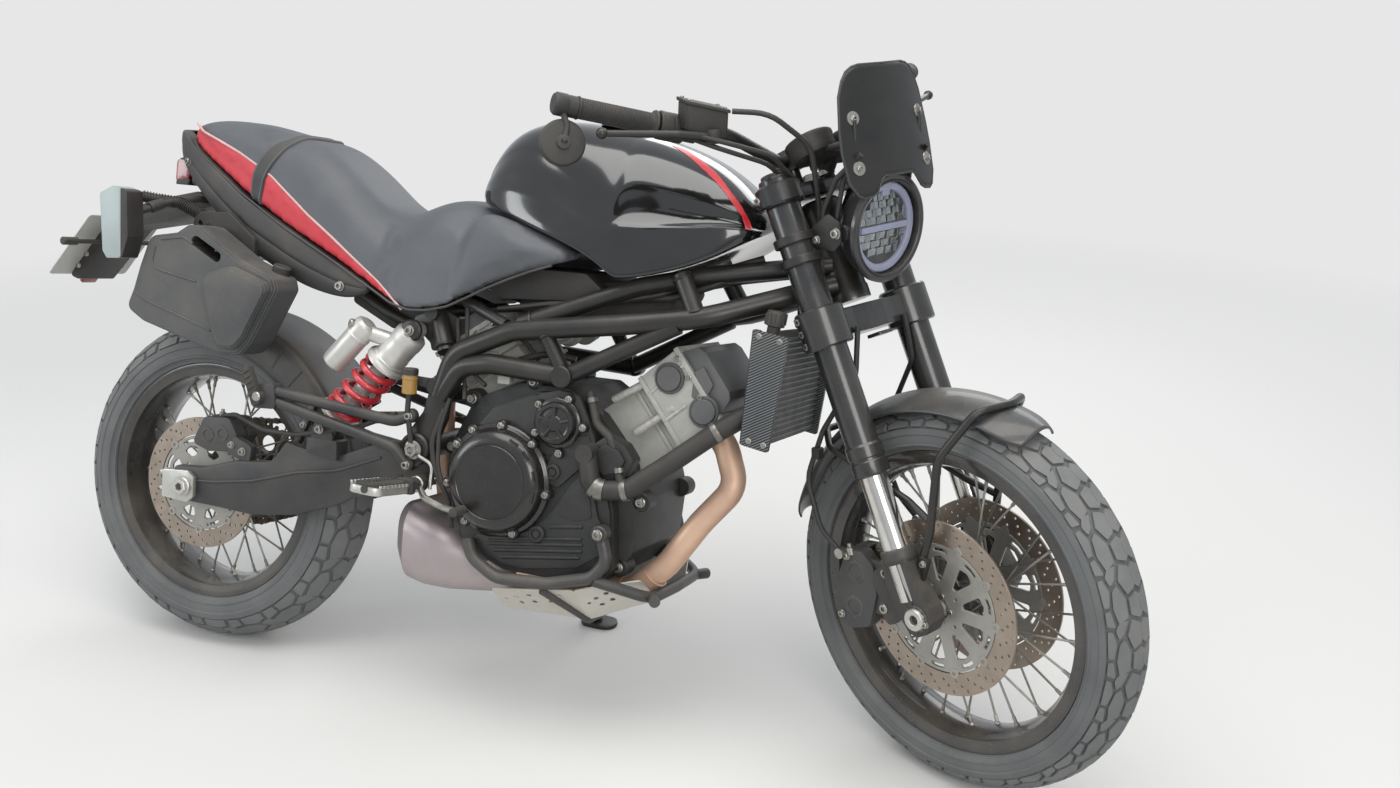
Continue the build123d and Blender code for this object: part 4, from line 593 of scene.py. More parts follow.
# finish: colour, its second colour, metal, roughness, patch scale, grain depth, dust, and what else it has
finishTable = {
    "tyreRubber": (
        "#4a4c4e", "#5c5e5f", 0.0, (0.75, 0.9), 9, 0.25, 0.6, dict(grain=700, dustColour="#8b8a86"),
    ),
    "treadRubber": (
        "#55585a", "#686a6b", 0.0, (0.7, 0.88), 16, 0.3, 0.55, dict(grain=600, dustColour="#99958c"),
    ),
    "rimBlack": ("#141517", "#1c1d20", 0.0, (0.18, 0.32), 14, 0.05, 0.5, dict(coat=0.5)),
    "spokeSteel": ("#a9a7a1", "#7f7b73", 0.9, (0.3, 0.5), 40, 0.15, 0.3),
    "hubGrey": ("#47484a", "#5b5a57", 0.4, (0.4, 0.6), 20, 0.15, 0.5),
    "discSteel": (
        "#8f8378", "#a69a8e", 0.85, (0.28, 0.42), 25, 0.06, 0.35, dict(grain=900, dustColour="#7a6654"),
    ),
    "carrierAlloy": ("#8d8b86", "#a3a19b", 0.6, (0.4, 0.55), 30, 0.15, 0.4, dict(dustColour="#7d6f60")),
    "frameBlack": ("#0e0f10", "#151617", 0.0, (0.28, 0.42), 12, 0.08, 0.18, dict(grain=900)),
    "swingBlack": ("#171a1e", "#212429", 0.0, (0.36, 0.52), 10, 0.15, 0.35),
    "boltSteel": ("#b3b1ab", "#8d8a83", 0.95, (0.25, 0.42), 60, 0.15, 0.2),
    "darkBolt": ("#3a3a3c", "#4b4a48", 0.7, (0.35, 0.5), 60, 0.15, 0.3),
    "bareAlloy": (
        "#c9c8c3", "#b0afa9", 0.8, (0.3, 0.48), 25, 0.15, 0.25, dict(wear=0.4, wearColour="#efeeea"),
    ),
    "caseGrey": (
        "#1b1d1e", "#272829", 0.25, (0.38, 0.55), 14, 0.35, 0.28, dict(grain=350, dustColour="#7c766c"),
    ),
    "coverBlack": ("#07080a", "#0c0d0f", 0.0, (0.18, 0.3), 16, 0.1, 0.14, dict(grain=650, coat=0.3)),
    "headAlloy": (
        "#b3b2ad", "#9d9c97", 0.35, (0.5, 0.68), 18, 0.45, 0.3,
        dict(grain=300, cells=0.6, dustColour="#a2998b", wear=0.4, wearColour="#dedcd6"),
    ),
    "silencerSteel": (
        "#b7acae", "#9c9294", 0.75, (0.3, 0.45), 6, 0.1, 0.3, dict(grain=250, dustColour="#a09082"),
    ),
    "skidAlloy": (
        "#cac7bf", "#b8b4ab", 0.55, (0.38, 0.55), 12, 0.15, 0.35, dict(wear=0.4, wearColour="#e6e4df"),
    ),
    "tailPlastic": ("#1b1d21", "#26282d", 0.0, (0.45, 0.6), 10, 0.2, 0.4, dict(grain=800)),
    "shockAlloy": ("#cfcdca", "#bcbab6", 0.55, (0.3, 0.45), 20, 0.15, 0.25),
    "springRed": ("#c3202f", "#a81a27", 0.0, (0.25, 0.4), 20, 0.05, 0.2, dict(coat=0.5)),
    "mouldBlack": ("#151617", "#1e1f20", 0.0, (0.46, 0.64), 12, 0.25, 0.3, dict(grain=700)),
    "canPlastic": ("#2e3133", "#3b3f42", 0.0, (0.42, 0.6), 8, 0.3, 0.5, dict(grain=450)),
    "hoseRubber": ("#161617", "#1f1f20", 0.0, (0.46, 0.62), 20, 0.2, 0.25, dict(grain=700)),
    "chainSteel": ("#5a544b", "#403b35", 0.7, (0.4, 0.6), 60, 0.15, 0.4, dict(dustColour="#5f5445")),
    "lampGrey": ("#b3b7b8", "#a2a6a8", 0.0, (0.15, 0.3), 15, 0.05, 0.25, dict(coat=0.6)),
    "lampRed": ("#6d1016", "#7d151b", 0.0, (0.12, 0.25), 15, 0.05, 0.2, dict(coat=0.8)),
    "forkBlack": ("#0f1114", "#171a1e", 0.0, (0.2, 0.32), 12, 0.05, 0.2, dict(coat=0.3)),
    "forkChrome": ("#d8d6d2", "#c2bfb9", 1.0, (0.1, 0.2), 20, 0.03, 0.15),
    "footBlack": ("#1c1e21", "#2a2c2f", 0.2, (0.35, 0.5), 22, 0.15, 0.5, dict(wear=0.5)),
    "gripRubber": ("#1f2021", "#29292a", 0.0, (0.6, 0.8), 20, 0.3, 0.35, dict(grain=900)),
    "guardBlack": ("#1f2124", "#2a2c30", 0.0, (0.3, 0.45), 9, 0.08, 0.45),
    "caliperGrey": ("#2c2f33", "#3a3d41", 0.3, (0.4, 0.55), 20, 0.15, 0.45, dict(wear=0.2)),
    "coreBlack": ("#141414", "#1e1d1c", 0.0, (0.6, 0.8), 30, 0.15, 0.4),
    "meshAlloy": ("#77787a", "#5f6062", 0.6, (0.4, 0.55), 20, 0.15, 0.3),
    "headerSteel": (
        "#dab79c", "#bd9a86", 0.5, (0.38, 0.54), 9, 0.08, 0.3, dict(grain=400, dustColour="#c4ad9c"),
    ),
    "tankPaint": ("#08090b", "#0b0c0f", 0.0, (0.1, 0.16), 5, 0.02, 0.06, dict(coat=0.7)),
    "seatVinyl": (
        "#3f4145", "#4c4e52", 0.0, (0.42, 0.56), 8, 0.3, 0.25, dict(grain=420, dustColour="#7c7d80"),
    ),
    "screenBlack": ("#0a0b0c", "#0e0f10", 0.0, (0.3, 0.4), 6, 0.04, 0.1),
    "guardGloss": ("#1b1f24", "#262a30", 0.0, (0.3, 0.44), 9, 0.03, 0.45, dict(coat=0.25)),
    "plugGrey": ("#4c4e50", "#5e5f60", 0.35, (0.4, 0.55), 18, 0.3, 0.3, dict(grain=300, wear=0.3)),
    "guardWeave": (
        "#2a2c2e", "#3a3c3e", 0.5, (0.35, 0.5), 20, 0.6, 0.2, dict(paint=weaveStripes, relief=weaveRelief),
    ),
    "clampSteel": ("#8c8a86", "#6f6d68", 0.85, (0.3, 0.45), 50, 0.15, 0.25),
    "seatRed": ("#c5323e", "#b42b37", 0.0, (0.45, 0.6), 9, 0.3, 0.12, dict(grain=420)),
    "pipingPale": ("#cfa9a6", "#b99592", 0.0, (0.5, 0.6), 30, 0.1, 0.2),
    "strapBlack": ("#26282b", "#303236", 0.0, (0.5, 0.65), 20, 0.3, 0.3, dict(grain=500)),
    "threadGrey": ("#7c7e80", "#6b6d6f", 0.0, (0.7, 0.8), 60, 0.1, 0.1),
    "mirrorGlass": ("#c9ced2", "#bfc4c8", 1.0, (0.03, 0.06), 8, 0.15, 0.1),
    "lampBlack": ("#1c1d20", "#232428", 0.0, (0.22, 0.34), 9, 0.15, 0.2, dict(coat=0.4)),
    "lampPale": ("#c9c6dc", "#bab7cf", 0.0, (0.3, 0.42), 9, 0.15, 0.08),
    "screenEdge": ("#2b2d2f", "#1f2123", 0.0, (0.45, 0.6), 14, 0.15, 0.2),
    "dialGrey": ("#2a2c30", "#303338", 0.0, (0.5, 0.6), 9, 0.15, 0.1),
    "dialMark": ("#d8d8d2", "#c8c8c2", 0.0, (0.5, 0.6), 9, 0.15, 0.05),
    "fluidAmber": ("#a8823c", "#8d6b30", 0.0, (0.2, 0.3), 9, 0.15, 0.2, dict(coat=0.5)),
    "indicatorPale": ("#98a3a3", "#8a9596", 0.0, (0.3, 0.42), 9, 0.08, 0.3),
    "cleatGrey": ("#6a6d6e", "#565a5b", 0.0, (0.45, 0.6), 14, 0.15, 0.4),
    "tiePale": ("#e2e0da", "#cfccc4", 0.0, (0.4, 0.5), 20, 0.15, 0.12),
    "stripeRed": ("#c01f2d", "#ad1b27", 0.0, (0.32, 0.4), 6, 0.02, 0.1, dict(coat=0.15)),
    "blankPlate": ("#b9b9b5", "#a8a8a3", 0.0, (0.4, 0.55), 9, 0.15, 0.3),
}
for name, row in finishTable.items():
    makeFinish(name, *row[:7], **(row[7] if len(row) > 7 else {}))
pane = {"bend": 1.45, "tint": (0.93, 0.94, 0.95, 1), "roughness": 0.04}
clearGlass = bpy.data.materials.new("clearGlass")
clearGlass.use_nodes = True
tree = clearGlass.node_tree
tree.nodes.clear()
paneOut = tree.nodes.new("ShaderNodeOutputMaterial")
paneMix = tree.nodes.new("ShaderNodeMixShader")
paneFresnel = tree.nodes.new("ShaderNodeFresnel")
paneFresnel.inputs["IOR"].default_value = pane["bend"]
seeThrough = tree.nodes.new("ShaderNodeBsdfTransparent")
seeThrough.inputs["Color"].default_value = pane["tint"]
shine = tree.nodes.new("ShaderNodeBsdfAnisotropic")
shine.inputs["Roughness"].default_value = pane["roughness"]
paneSide = tree.nodes.new("ShaderNodeNewGeometry")
paneFront = mathNode(tree, "SUBTRACT", 1.0, paneSide.outputs["Backfacing"])
tree.links.new(mathNode(tree, "MULTIPLY", paneFresnel.outputs[0], paneFront), paneMix.inputs[0])
tree.links.new(seeThrough.outputs[0], paneMix.inputs[1])
tree.links.new(shine.outputs[0], paneMix.inputs[2])
tree.links.new(paneMix.outputs[0], paneOut.inputs["Surface"])
finishes["clearGlass"] = clearGlass
print("finishes made:", len(finishes))

# Geometry Nodes trees for repeated forms

def newTree(name, inputs):
    tree = bpy.data.node_groups.new(name, "GeometryNodeTree")
    ids = {}
    for label, kind, value in inputs:
        socket = tree.interface.new_socket(label, in_out="INPUT", socket_type=kind)
        if value is not None:
            socket.default_value = value
        ids[label] = socket.identifier
    tree.interface.new_socket("Geometry", in_out="OUTPUT", socket_type="NodeSocketGeometry")
    start = tree.nodes.new("NodeGroupInput")
    end = tree.nodes.new("NodeGroupOutput")
    return tree, start, end, ids


# repeats the given geometry round the Y axis
def buildRingRepeat():
    tree, start, end, ids = newTree("ringRepeat", [
        ("Geometry", "NodeSocketGeometry", None), ("Count", "NodeSocketInt", 12),
        ("Finish", "NodeSocketMaterial", None),
    ])
    spots = tree.nodes.new("GeometryNodePoints")
    index = tree.nodes.new("GeometryNodeInputIndex")
    step = mathNode(tree, "DIVIDE", 2 * pi, start.outputs["Count"])
    turn = mathNode(tree, "MULTIPLY", index.outputs[0], step)
    angles = tree.nodes.new("ShaderNodeCombineXYZ")
    asTurn = tree.nodes.new("FunctionNodeEulerToRotation")
    place = tree.nodes.new("GeometryNodeInstanceOnPoints")
    solid = tree.nodes.new("GeometryNodeRealizeInstances")
    paint = tree.nodes.new("GeometryNodeSetMaterial")
    for source, target in (
        (start.outputs["Count"], spots.inputs["Count"]), (turn, angles.inputs["Y"]),
        (angles.outputs[0], asTurn.inputs[0]), (spots.outputs[0], place.inputs["Points"]),
        (start.outputs["Geometry"], place.inputs["Instance"]),
        (asTurn.outputs[0], place.inputs["Rotation"]),
        (place.outputs[0], solid.inputs[0]), (solid.outputs[0], paint.inputs["Geometry"]),
        (start.outputs["Finish"], paint.inputs["Material"]), (paint.outputs[0], end.inputs[0]),
    ):
        tree.links.new(source, target)
    return tree, ids


# puts a copy of the template on each point, turned and scaled by the point's own values
def buildPlaceOn():
    tree, start, end, ids = newTree("placeOn", [
        ("Geometry", "NodeSocketGeometry", None), ("Template", "NodeSocketObject", None),
        ("Finish", "NodeSocketMaterial", None),
    ])
    source = tree.nodes.new("GeometryNodeObjectInfo")
    spots = tree.nodes.new("GeometryNodeMeshToPoints")
    place = tree.nodes.new("GeometryNodeInstanceOnPoints")
    asTurn = tree.nodes.new("FunctionNodeEulerToRotation")
    solid = tree.nodes.new("GeometryNodeRealizeInstances")
    paint = tree.nodes.new("GeometryNodeSetMaterial")
    values = []
    for label in ("turn", "size"):
        node = tree.nodes.new("GeometryNodeInputNamedAttribute")
        node.data_type = "FLOAT_VECTOR"
        node.inputs["Name"].default_value = label
        values.append(node.outputs["Attribute"])
    for a, b in (
        (start.outputs["Template"], source.inputs["Object"]), (start.outputs["Geometry"], spots.inputs[0]),
        (spots.outputs[0], place.inputs["Points"]), (source.outputs["Geometry"], place.inputs["Instance"]),
        (values[0], asTurn.inputs[0]), (asTurn.outputs[0], place.inputs["Rotation"]),
        (values[1], place.inputs["Scale"]), (place.outputs[0], solid.inputs[0]),
        (solid.outputs[0], paint.inputs["Geometry"]), (start.outputs["Finish"], paint.inputs["Material"]),
        (paint.outputs[0], end.inputs[0]),
    ):
        tree.links.new(a, b)
    return tree, ids


trees = {"ringRepeat": buildRingRepeat(), "placeOn": buildPlaceOn()}


# runs a tree on a bmesh and gives back the plain result as a new bmesh
def growMesh(name, bm, treeName, values):
    mesh = bpy.data.meshes.new(name)
    for label, rows in values.pop("attributes", {}).items():
        layer = bm.verts.layers.float_vector.new(label)
        bm.verts.ensure_lookup_table()
        for vert, row in zip(bm.verts, rows):
            vert[layer] = row
    bm.to_mesh(mesh)
    bm.free()
    holder = bpy.data.objects.new(name, mesh)
    bpy.context.scene.collection.objects.link(holder)
    tree, ids = trees[treeName]
    modifier = holder.modifiers.new(treeName, "NODES")
    modifier.node_group = tree
    for label, value in values.items():
        modifier[ids[label]] = value
    bpy.context.view_layer.update()
    grown = bpy.data.meshes.new_from_object(holder.evaluated_get(bpy.context.evaluated_depsgraph_get()))
    result = bmesh.new()
    result.from_mesh(grown)
    for label in ("turn", "size"):
        layer = result.verts.layers.float_vector.get(label)
        if layer:
            result.verts.layers.float_vector.remove(layer)
    bpy.data.objects.remove(holder)
    bpy.data.meshes.remove(mesh)
    bpy.data.meshes.remove(grown)
    return result


# repeats a part drawn about the Y axis and adds the ring at an axle
def repeatRound(bm, part, count, mat, axle, finish):
    ring = growMesh("ring", part, "ringRepeat", {"Count": count, "Finish": finish})
    mergeIn(bm, ring, mat, Matrix.Translation(axle))


# adds a copy of the template at each (place, way of its Z or full turn, size) in spots
def placeCopies(bm, template, spots, mat, finish):
    points = bmesh.new()
    turns, sizes = [], []
    for spot, way, size in spots:
        points.verts.new(spot)
        turns.append(way if isinstance(way, Euler) else Vector(way).to_track_quat("Z", "Y").to_euler())
        sizes.append(size if isinstance(size, (tuple, list)) else (size, size, size))
    mesh = bpy.data.meshes.new("template")
    template.to_mesh(mesh)
    template.free()
    model = bpy.data.objects.new("template", mesh)
    bpy.context.scene.collection.objects.link(model)
    grown = growMesh("copies", points, "placeOn", {
        "Template": model, "Finish": finish,
        "attributes": {"turn": [tuple(t) for t in turns], "size": sizes},
    })
    mergeIn(bm, grown, mat)
    bpy.data.objects.remove(model)
    bpy.data.meshes.remove(mesh)


# wheels: carcass, tread blocks, rim, laced spokes, hub and discs

wheels = {
    "front": {
        "axle": frontAxle, "r": chassisSizes["frontRadius"], "half": 55, "shoulder": 298.75,
        "treadHalf": 51.15,
        "flange": 257, "rimHalf": 43, "seat": 241, "bed": 226, "pitches": 24, "body": "front_wheel",
    },
    "rear": {
        "axle": rearAxle, "r": chassisSizes["rearRadius"], "half": 75, "shoulder": 279.75,
        "treadHalf": 69.75,
        "flange": 232, "rimHalf": 63, "seat": 216, "bed": 200, "pitches": 20, "body": "rear_wheel",
    },
}
grooveDepth = 4.5

# tread blocks as outlines of (round the tyre, across it) shares: of a pitch, and of half the tread
treadBlocks = {
    "front": [
        [(-0.24, 0.08), (-0.13, -0.1), (0.13, -0.1), (0.24, 0.08), (0.15, 0.36), (-0.15, 0.36)],
        [(0.30, 0.14), (0.40, -0.02), (0.60, -0.02), (0.70, 0.14), (0.79, 0.36), (0.5, 0.52), (0.21, 0.36)],
        [(-0.17, 0.43), (0.17, 0.43), (0.46, 0.58), (0.34, 0.72), (0.02, 0.78), (-0.30, 0.70)],
        [(0.40, 0.74), (0.54, 0.60), (0.80, 0.44), (0.76, 0.70), (0.62, 0.79)],
        [(-0.34, 0.76), (0.0, 0.84), (-0.02, 1.0), (-0.30, 1.0)],
        [(0.06, 0.84), (0.36, 0.78), (0.60, 0.85), (0.60, 1.0), (0.05, 1.0)],
    ],
    "rear": [
        [(-0.26, 0.06), (-0.14, -0.1), (0.14, -0.1), (0.26, 0.06), (0.17, 0.32), (-0.17, 0.32)],
        [(0.32, 0.11), (0.42, -0.02), (0.58, -0.02), (0.68, 0.11), (0.77, 0.30), (0.5, 0.46), (0.23, 0.30)],
        [(-0.19, 0.37), (0.19, 0.37), (0.46, 0.52), (0.34, 0.68), (0.02, 0.74), (-0.30, 0.66)],
        [(0.40, 0.70), (0.54, 0.55), (0.78, 0.38), (0.76, 0.64), (0.62, 0.76)],
        [(-0.34, 0.72), (0.0, 0.80), (-0.02, 1.0), (-0.30, 1.0)],
        [(0.06, 0.80), (0.36, 0.75), (0.60, 0.82), (0.60, 1.0), (0.05, 1.0)],
    ],
}


# one block, bent to the crown and round the tyre
def treadBlock(bm, outline, wheel, across):
    bend = (
        wheel["treadHalf"] ** 2 + (wheel["r"] - wheel["shoulder"]) ** 2
    ) / 2 / (wheel["r"] - wheel["shoulder"])
    arc = bend * asin(wheel["treadHalf"] / bend)
    pitch = 2 * pi / wheel["pitches"]
    part = bmesh.new()
    spots = roundCorners([(s * pitch * wheel["r"], t * arc) for s, t in outline], 3, 2)
    low = [part.verts.new((u, v, 0)) for u, v in spots]
    high = [part.verts.new((u, v, 1)) for u, v in spots]
    part.faces.new(high)
    for k in range(len(spots)):
        n = (k + 1) % len(spots)
        part.faces.new((low[k], low[n], high[n], high[k]))
    rim = [e for e in part.edges if all(v.co.z > 0.5 for v in e.verts)]
    bmesh.ops.bevel(part, geom=rim, offset=0.9, segments=1, affect="EDGES")
    for level in (0.2, 0.35, 0.5, 0.65, 0.8, 0.92):
        cut = level * arc
        bmesh.ops.bisect_plane(
            part, geom=part.verts[:] + part.edges[:] + part.faces[:], plane_co=(0, cut, 0),
            plane_no=(0, 1, 0),
        )
    for v in part.verts:
        u, t, lift = v.co
        height = grooveDepth * (lift - 1) - (0.5 if lift < 0.2 else 0)
        swing = t / bend
        radius = wheel["r"] - bend * (1 - cos(swing)) + height * cos(swing)
        angle = u / wheel["r"]
        v.co = (radius * cos(angle), across * (bend + height) * sin(swing), radius * sin(angle))
    if across > 0:
        bmesh.ops.reverse_faces(part, faces=part.faces)
    bmesh.ops.recalc_face_normals(part, faces=part.faces)
    mergeIn(bm, part)


# half section of the tyre below its blocks, from the left bead over the crown to the right one
def tyreProfile(wheel):
    r, half, flange = wheel["r"], wheel["half"], wheel["flange"]
    drop = r - wheel["shoulder"]
    bend = (wheel["treadHalf"] ** 2 + drop ** 2) / 2 / drop
    crown = []
    for k in range(0, 15):
        swing = asin(wheel["treadHalf"] / bend) * k / 14
        inner = bend - grooveDepth
        crown.append((r - bend + inner * cos(swing), inner * sin(swing)))
    wall = wheel["shoulder"] - flange
    side = [
        (wheel["shoulder"] - 3, half * 0.945), (wheel["shoulder"] - wall * 0.22, half * 0.975),
        (wheel["shoulder"] - wall * 0.3, half * 0.985), (wheel["shoulder"] - wall * 0.34, half * 0.96),
        (flange + wall * 0.42, half * 0.985), (flange + wall * 0.34, half * 0.975),
        (flange + wall * 0.32, half * 0.995),
        (flange + wall * 0.26, half * 0.995), (flange + wall * 0.23, half * 0.95),
        (flange + 5, wheel["rimHalf"] + 4), (flange + 2.5, wheel["rimHalf"] + 3.5),
        (flange + 1, wheel["rimHalf"] - 2),
        (flange - 4, wheel["rimHalf"] - 5),
    ]
    halfLine = crown + side
    return [(a, b) for a, b in reversed(halfLine)] + [(a, -b) for a, b in halfLine[1:]]


for label, wheel in wheels.items():
    bm = newMesh()
    addTurned(bm, wheel["axle"], (0, 1, 0), tyreProfile(wheel), 144, 0, closed=True)
    pitch = bmesh.new()
    for outline in treadBlocks[label]:
        treadBlock(pitch, outline, wheel, -1)
        treadBlock(pitch, [(s + 0.5, t) for s, t in outline], wheel, 1)
    repeatRound(bm, pitch, wheel["pitches"], 1, wheel["axle"], finishes["treadRubber"])
    makePiece(
        label + "TyreTread", bm, ["tyreRubber", "treadRubber"], [label + "_tyre"], 40,
        body=wheel["body"],
    )

    # rim with rolled flanges, drop centre and a fine groove
    inner = wheel["rimHalf"] - 4
    flange, seat, bed = wheel["flange"], wheel["seat"], wheel["bed"]
    halfRim = [
        (flange - 4, inner - 1), (flange, inner), (flange + 0.6, inner + 2), (flange, inner + 4),
        (flange - 4, inner + 4.6),
        (flange - 11, inner + 3), (seat - 5, inner + 1), (seat - 8, inner - 4), (seat - 9.5, inner - 12),
        (bed + 2, inner * 0.55), (bed - 0.4, inner * 0.42), (bed - 2, inner * 0.2), (bed - 2.2, 0),
    ]
    upper = [
        (flange - 8, inner - 1), (seat - 0.5, inner - 3), (seat - 2, inner - 12), (bed + 4, inner * 0.4),
        (bed + 3, 0),
    ]
    section = halfRim + [(a, -b) for a, b in reversed(halfRim[:-1])]
    section += [(a, -b) for a, b in upper] + [(a, b) for a, b in reversed(upper[:-1])]
    bm = newMesh()
    addTurned(bm, wheel["axle"], (0, 1, 0), section, 144, 0, closed=True)
    makePiece(label + "Rim", bm, ["rimBlack"], [label + "_rim"], body=wheel["body"])

print("tyres and rims made")

# radius and half width of the hub's core, flange radius and its place across
hubs = {
    "front": {"core": 24, "coreHalf": 62, "flangeR": 40, "flangeY": 32},
    "rear": {"core": 30, "coreHalf": 86, "flangeR": 52, "flangeY": 42},
}
lacing = {
    "perSet": 9, "sweep": 58, "radius": 2.0, "sets": [(-1, -1, 0), (-1, 1, 20), (1, -1, 10), (1, 1, 30)],
}
nippleFinish = finishes["spokeSteel"]
for label, wheel in wheels.items():
    hub, axle = hubs[label], wheel["axle"]
    bm = newMesh()
    nipples = []
    for side, cross, first in lacing["sets"]:
        for k in range(lacing["perSet"]):
            angle = radians(first + k * 360 / lacing["perSet"])
            far = angle + cross * radians(lacing["sweep"])
            foot = axle + Vector(
                (
                    (hub["flangeR"] - 5) * cos(angle), side * (hub["flangeY"] + 3.2 * cross),
                    (hub["flangeR"] - 5) * sin(angle),
                )
            )
            reach = wheel["bed"] - 1
            head = axle + Vector((reach * cos(far), side * 9, reach * sin(far)))
            way = (head - foot).normalized()
            elbow = foot + way * 3
            addTube(
                bm, [foot - Vector((0, side * cross * 5, 0)), elbow, head], lacing["radius"], (3,), 7, 0,
            )
            nipples.append((head - way * 17, way, 1))
    nipple = bmesh.new()
    addTurned(nipple, (0, 0, 0), (0, 0, 1), [(2.6, 0), (3.1, 1), (3.2, 12), (4.6, 14), (4.8, 19)], 8)
    placeCopies(bm, nipple, nipples, 0, nippleFinish)
    core, coreHalf, flangeR, flangeY = hub["core"], hub["coreHalf"], hub["flangeR"], hub["flangeY"]
    halfHub = [
        (14, coreHalf), (core - 2, coreHalf), (core, coreHalf - 3), (core, flangeY + 9),
        (core + 5, flangeY + 4),
        (flangeR - 1, flangeY + 3), (flangeR, flangeY + 2), (flangeR, flangeY - 2),
        (flangeR - 1, flangeY - 3),
        (core + 5, flangeY - 5), (core - 1, flangeY - 12), (core - 3, 0),
    ]
    addTurned(bm, axle, (0, 1, 0), halfHub + [(a, -b) for a, b in reversed(halfHub[:-1])], 64, 1)
    makePiece(
        label + "Lacing", bm, ["spokeSteel", "hubGrey"], [label + "_spokes"],
        body=wheel["body"],
    )
print("hubs and spokes laced")

# floating discs: a drilled rotor, bobbins, and a carrier with windows
discTable = {
    "front": {
        "r": 149, "inner": 112, "y": 64.5, "sides": (-1, 1), "arms": 10, "hub": 34, "thick": 4.5,
        "bore": 20,
    },
    "rear": {
        "r": 128, "inner": 95, "y": 88.25, "sides": (-1,), "arms": 8, "hub": 40, "thick": 4.5, "bore": 19,
    },
}


def ringHoles(radius, count, size, phase=0.0, steps=10):
    return [
        circlePoints(
            radius * cos(2 * pi * (k + phase) / count), radius * sin(2 * pi * (k + phase) / count), size,
            steps,
        )
        for k in range(count)
    ]


for label, disc in discTable.items():
    wheel = wheels[label]
    bm = newMesh()
    for side in disc["sides"]:
        plane = (
            wheel["axle"] + Vector((0, side * disc["y"] - disc["thick"] / 2, 0)), Vector((1, 0, 0)),
            Vector((0, 0, 1)), Vector((0, 1, 0)),
        )
        band = disc["r"] - disc["inner"]
        # three staggered rows of drilled holes, and long slots by the inner edge
        loops = [circlePoints(0, 0, disc["r"], 96), circlePoints(0, 0, disc["inner"], 96)]
        for share, phase in ((0.30, 0.0), (0.56, 0.33), (0.82, 0.66)):
            loops += ringHoles(disc["inner"] + band * share, disc["arms"] * 3, 2.7, phase)
        addCutout(bm, loops, plane, disc["thick"], 0.4, 0)
        # carrier: rim, arms and hub ring left between its windows
        outer = disc["inner"] - 3
        windows = []
        arms = disc["arms"]
        for k in range(arms):
            middle = 360 * (k + 0.5) / arms
            halfOut = 180 / arms - 7.5
            halfIn = 180 / arms - 9
            near = disc["hub"] + 14
            far = outer - 21
            points = [
                (near, middle - halfIn * 0.55), (far, middle - halfOut), (far + 4, middle),
                (far, middle + halfOut), (near, middle + halfIn * 0.55),
            ]
            flat = [(a * cos(radians(b)), a * sin(radians(b))) for a, b in points]
            windows.append(roundCorners(flat, 5, 3))
            slot = [
                (outer - 12, middle - halfOut * 0.72), (outer - 5, middle - halfOut * 0.72),
                (outer - 4, middle), (outer - 5, middle + halfOut * 0.72),
                (outer - 12, middle + halfOut * 0.72), (outer - 11, middle),
            ]
            windows.append(
                roundCorners([(a * cos(radians(b)), a * sin(radians(b))) for a, b in slot], 2.5, 3)
            )
        windows += ringHoles(disc["hub"] + 6, arms // 2, 3.2, 0.5, 12)
        addCutout(
            bm, [circlePoints(0, 0, outer, 96), circlePoints(0, 0, disc["bore"], 40)] + windows, plane,
            disc["thick"], 0.7, 1,
        )
        bobbins = []
        for k in range(arms):
            angle = 2 * pi * k / arms
            spot = wheel["axle"] + Vector(
                ((disc["inner"] - 1.5) * cos(angle), side * disc["y"], (disc["inner"] - 1.5) * sin(angle))
            )
            bobbins.append((spot, (0, side, 0), 1))
        bobbin = bmesh.new()
        addTurned(
            bobbin, (0, 0, 0), (0, 0, 1),
            [(3.2, 1.5), (3.6, 3.4), (8.2, 3.4), (8.8, 2.8), (8.8, -2.8), (8.2, -3.4), (3, -3.4)], 18,
        )
        placeCopies(bm, bobbin, bobbins, 2, finishes["carrierAlloy"])
        screws = [
            (
                wheel["axle"] + Vector(
                    (24 * cos(2 * pi * k / 5) + 0, side * (disc["y"] + 2.2), 24 * sin(2 * pi * k / 5))
                ),
                (0, side, 0), 1,
            )
            for k in range(5)
        ] if label == "front" else [
            (
                wheel["axle"] + Vector(
                    (33 * cos(2 * pi * k / 5), side * (disc["y"] + 2.2), 33 * sin(2 * pi * k / 5))
                ),
                (0, side, 0), 1,
            )
            for k in range(5)
        ]
        screw = bmesh.new()
        addTurned(
            screw, (0, 0, 0), (0, 0, 1), [(4.8, 0), (4.8, 2.4), (4, 3.4), (2.2, 3.4), (2, 1.4), (0, 1.4)],
            14,
        )
        placeCopies(bm, screw, screws, 3, finishes["boltSteel"])
    makePiece(
        label + "DrilledDiscs", bm, ["discSteel", "carrierAlloy", "carrierAlloy", "boltSteel"],
        ["front_discs" if label == "front" else "rear_disc"], body=wheel["body"],
    )
print("discs made")


# frame: trellis of round tubes, head tube, pivot plates

def bothSides(points):
    return [points, [(x, -y, z) for x, y, z in points]]


# radius, bend radii, points of the right side
trellisTubes = [
    (
        18, (150, 90, 90, 60),
        [
            (1222, -24, 818), (1030, -128, 746), (893, -146, 722), (690, -146, 692), (575, -140, 640),
            (548, -138, 560),
        ],
    ),
    (18, (50, 60), [(552, -138, 560), (588, -140, 618), (650, -146, 630), (796, -148, 624)]),
    (15, (), [(796, -148, 624), (990, -134, 730)]),
    (13, (), [(748, -146, 700), (796, -148, 624)]),
    (16, (), [(1020, -128, 744), (980, -112, 814)]),
    (16, (120, 120), [(700, -140, 702), (900, -104, 786), (1010, -86, 814), (1212, -20, 850)]),
    (15, (), [(556, -138, 640), (520, -112, 706)]),
]
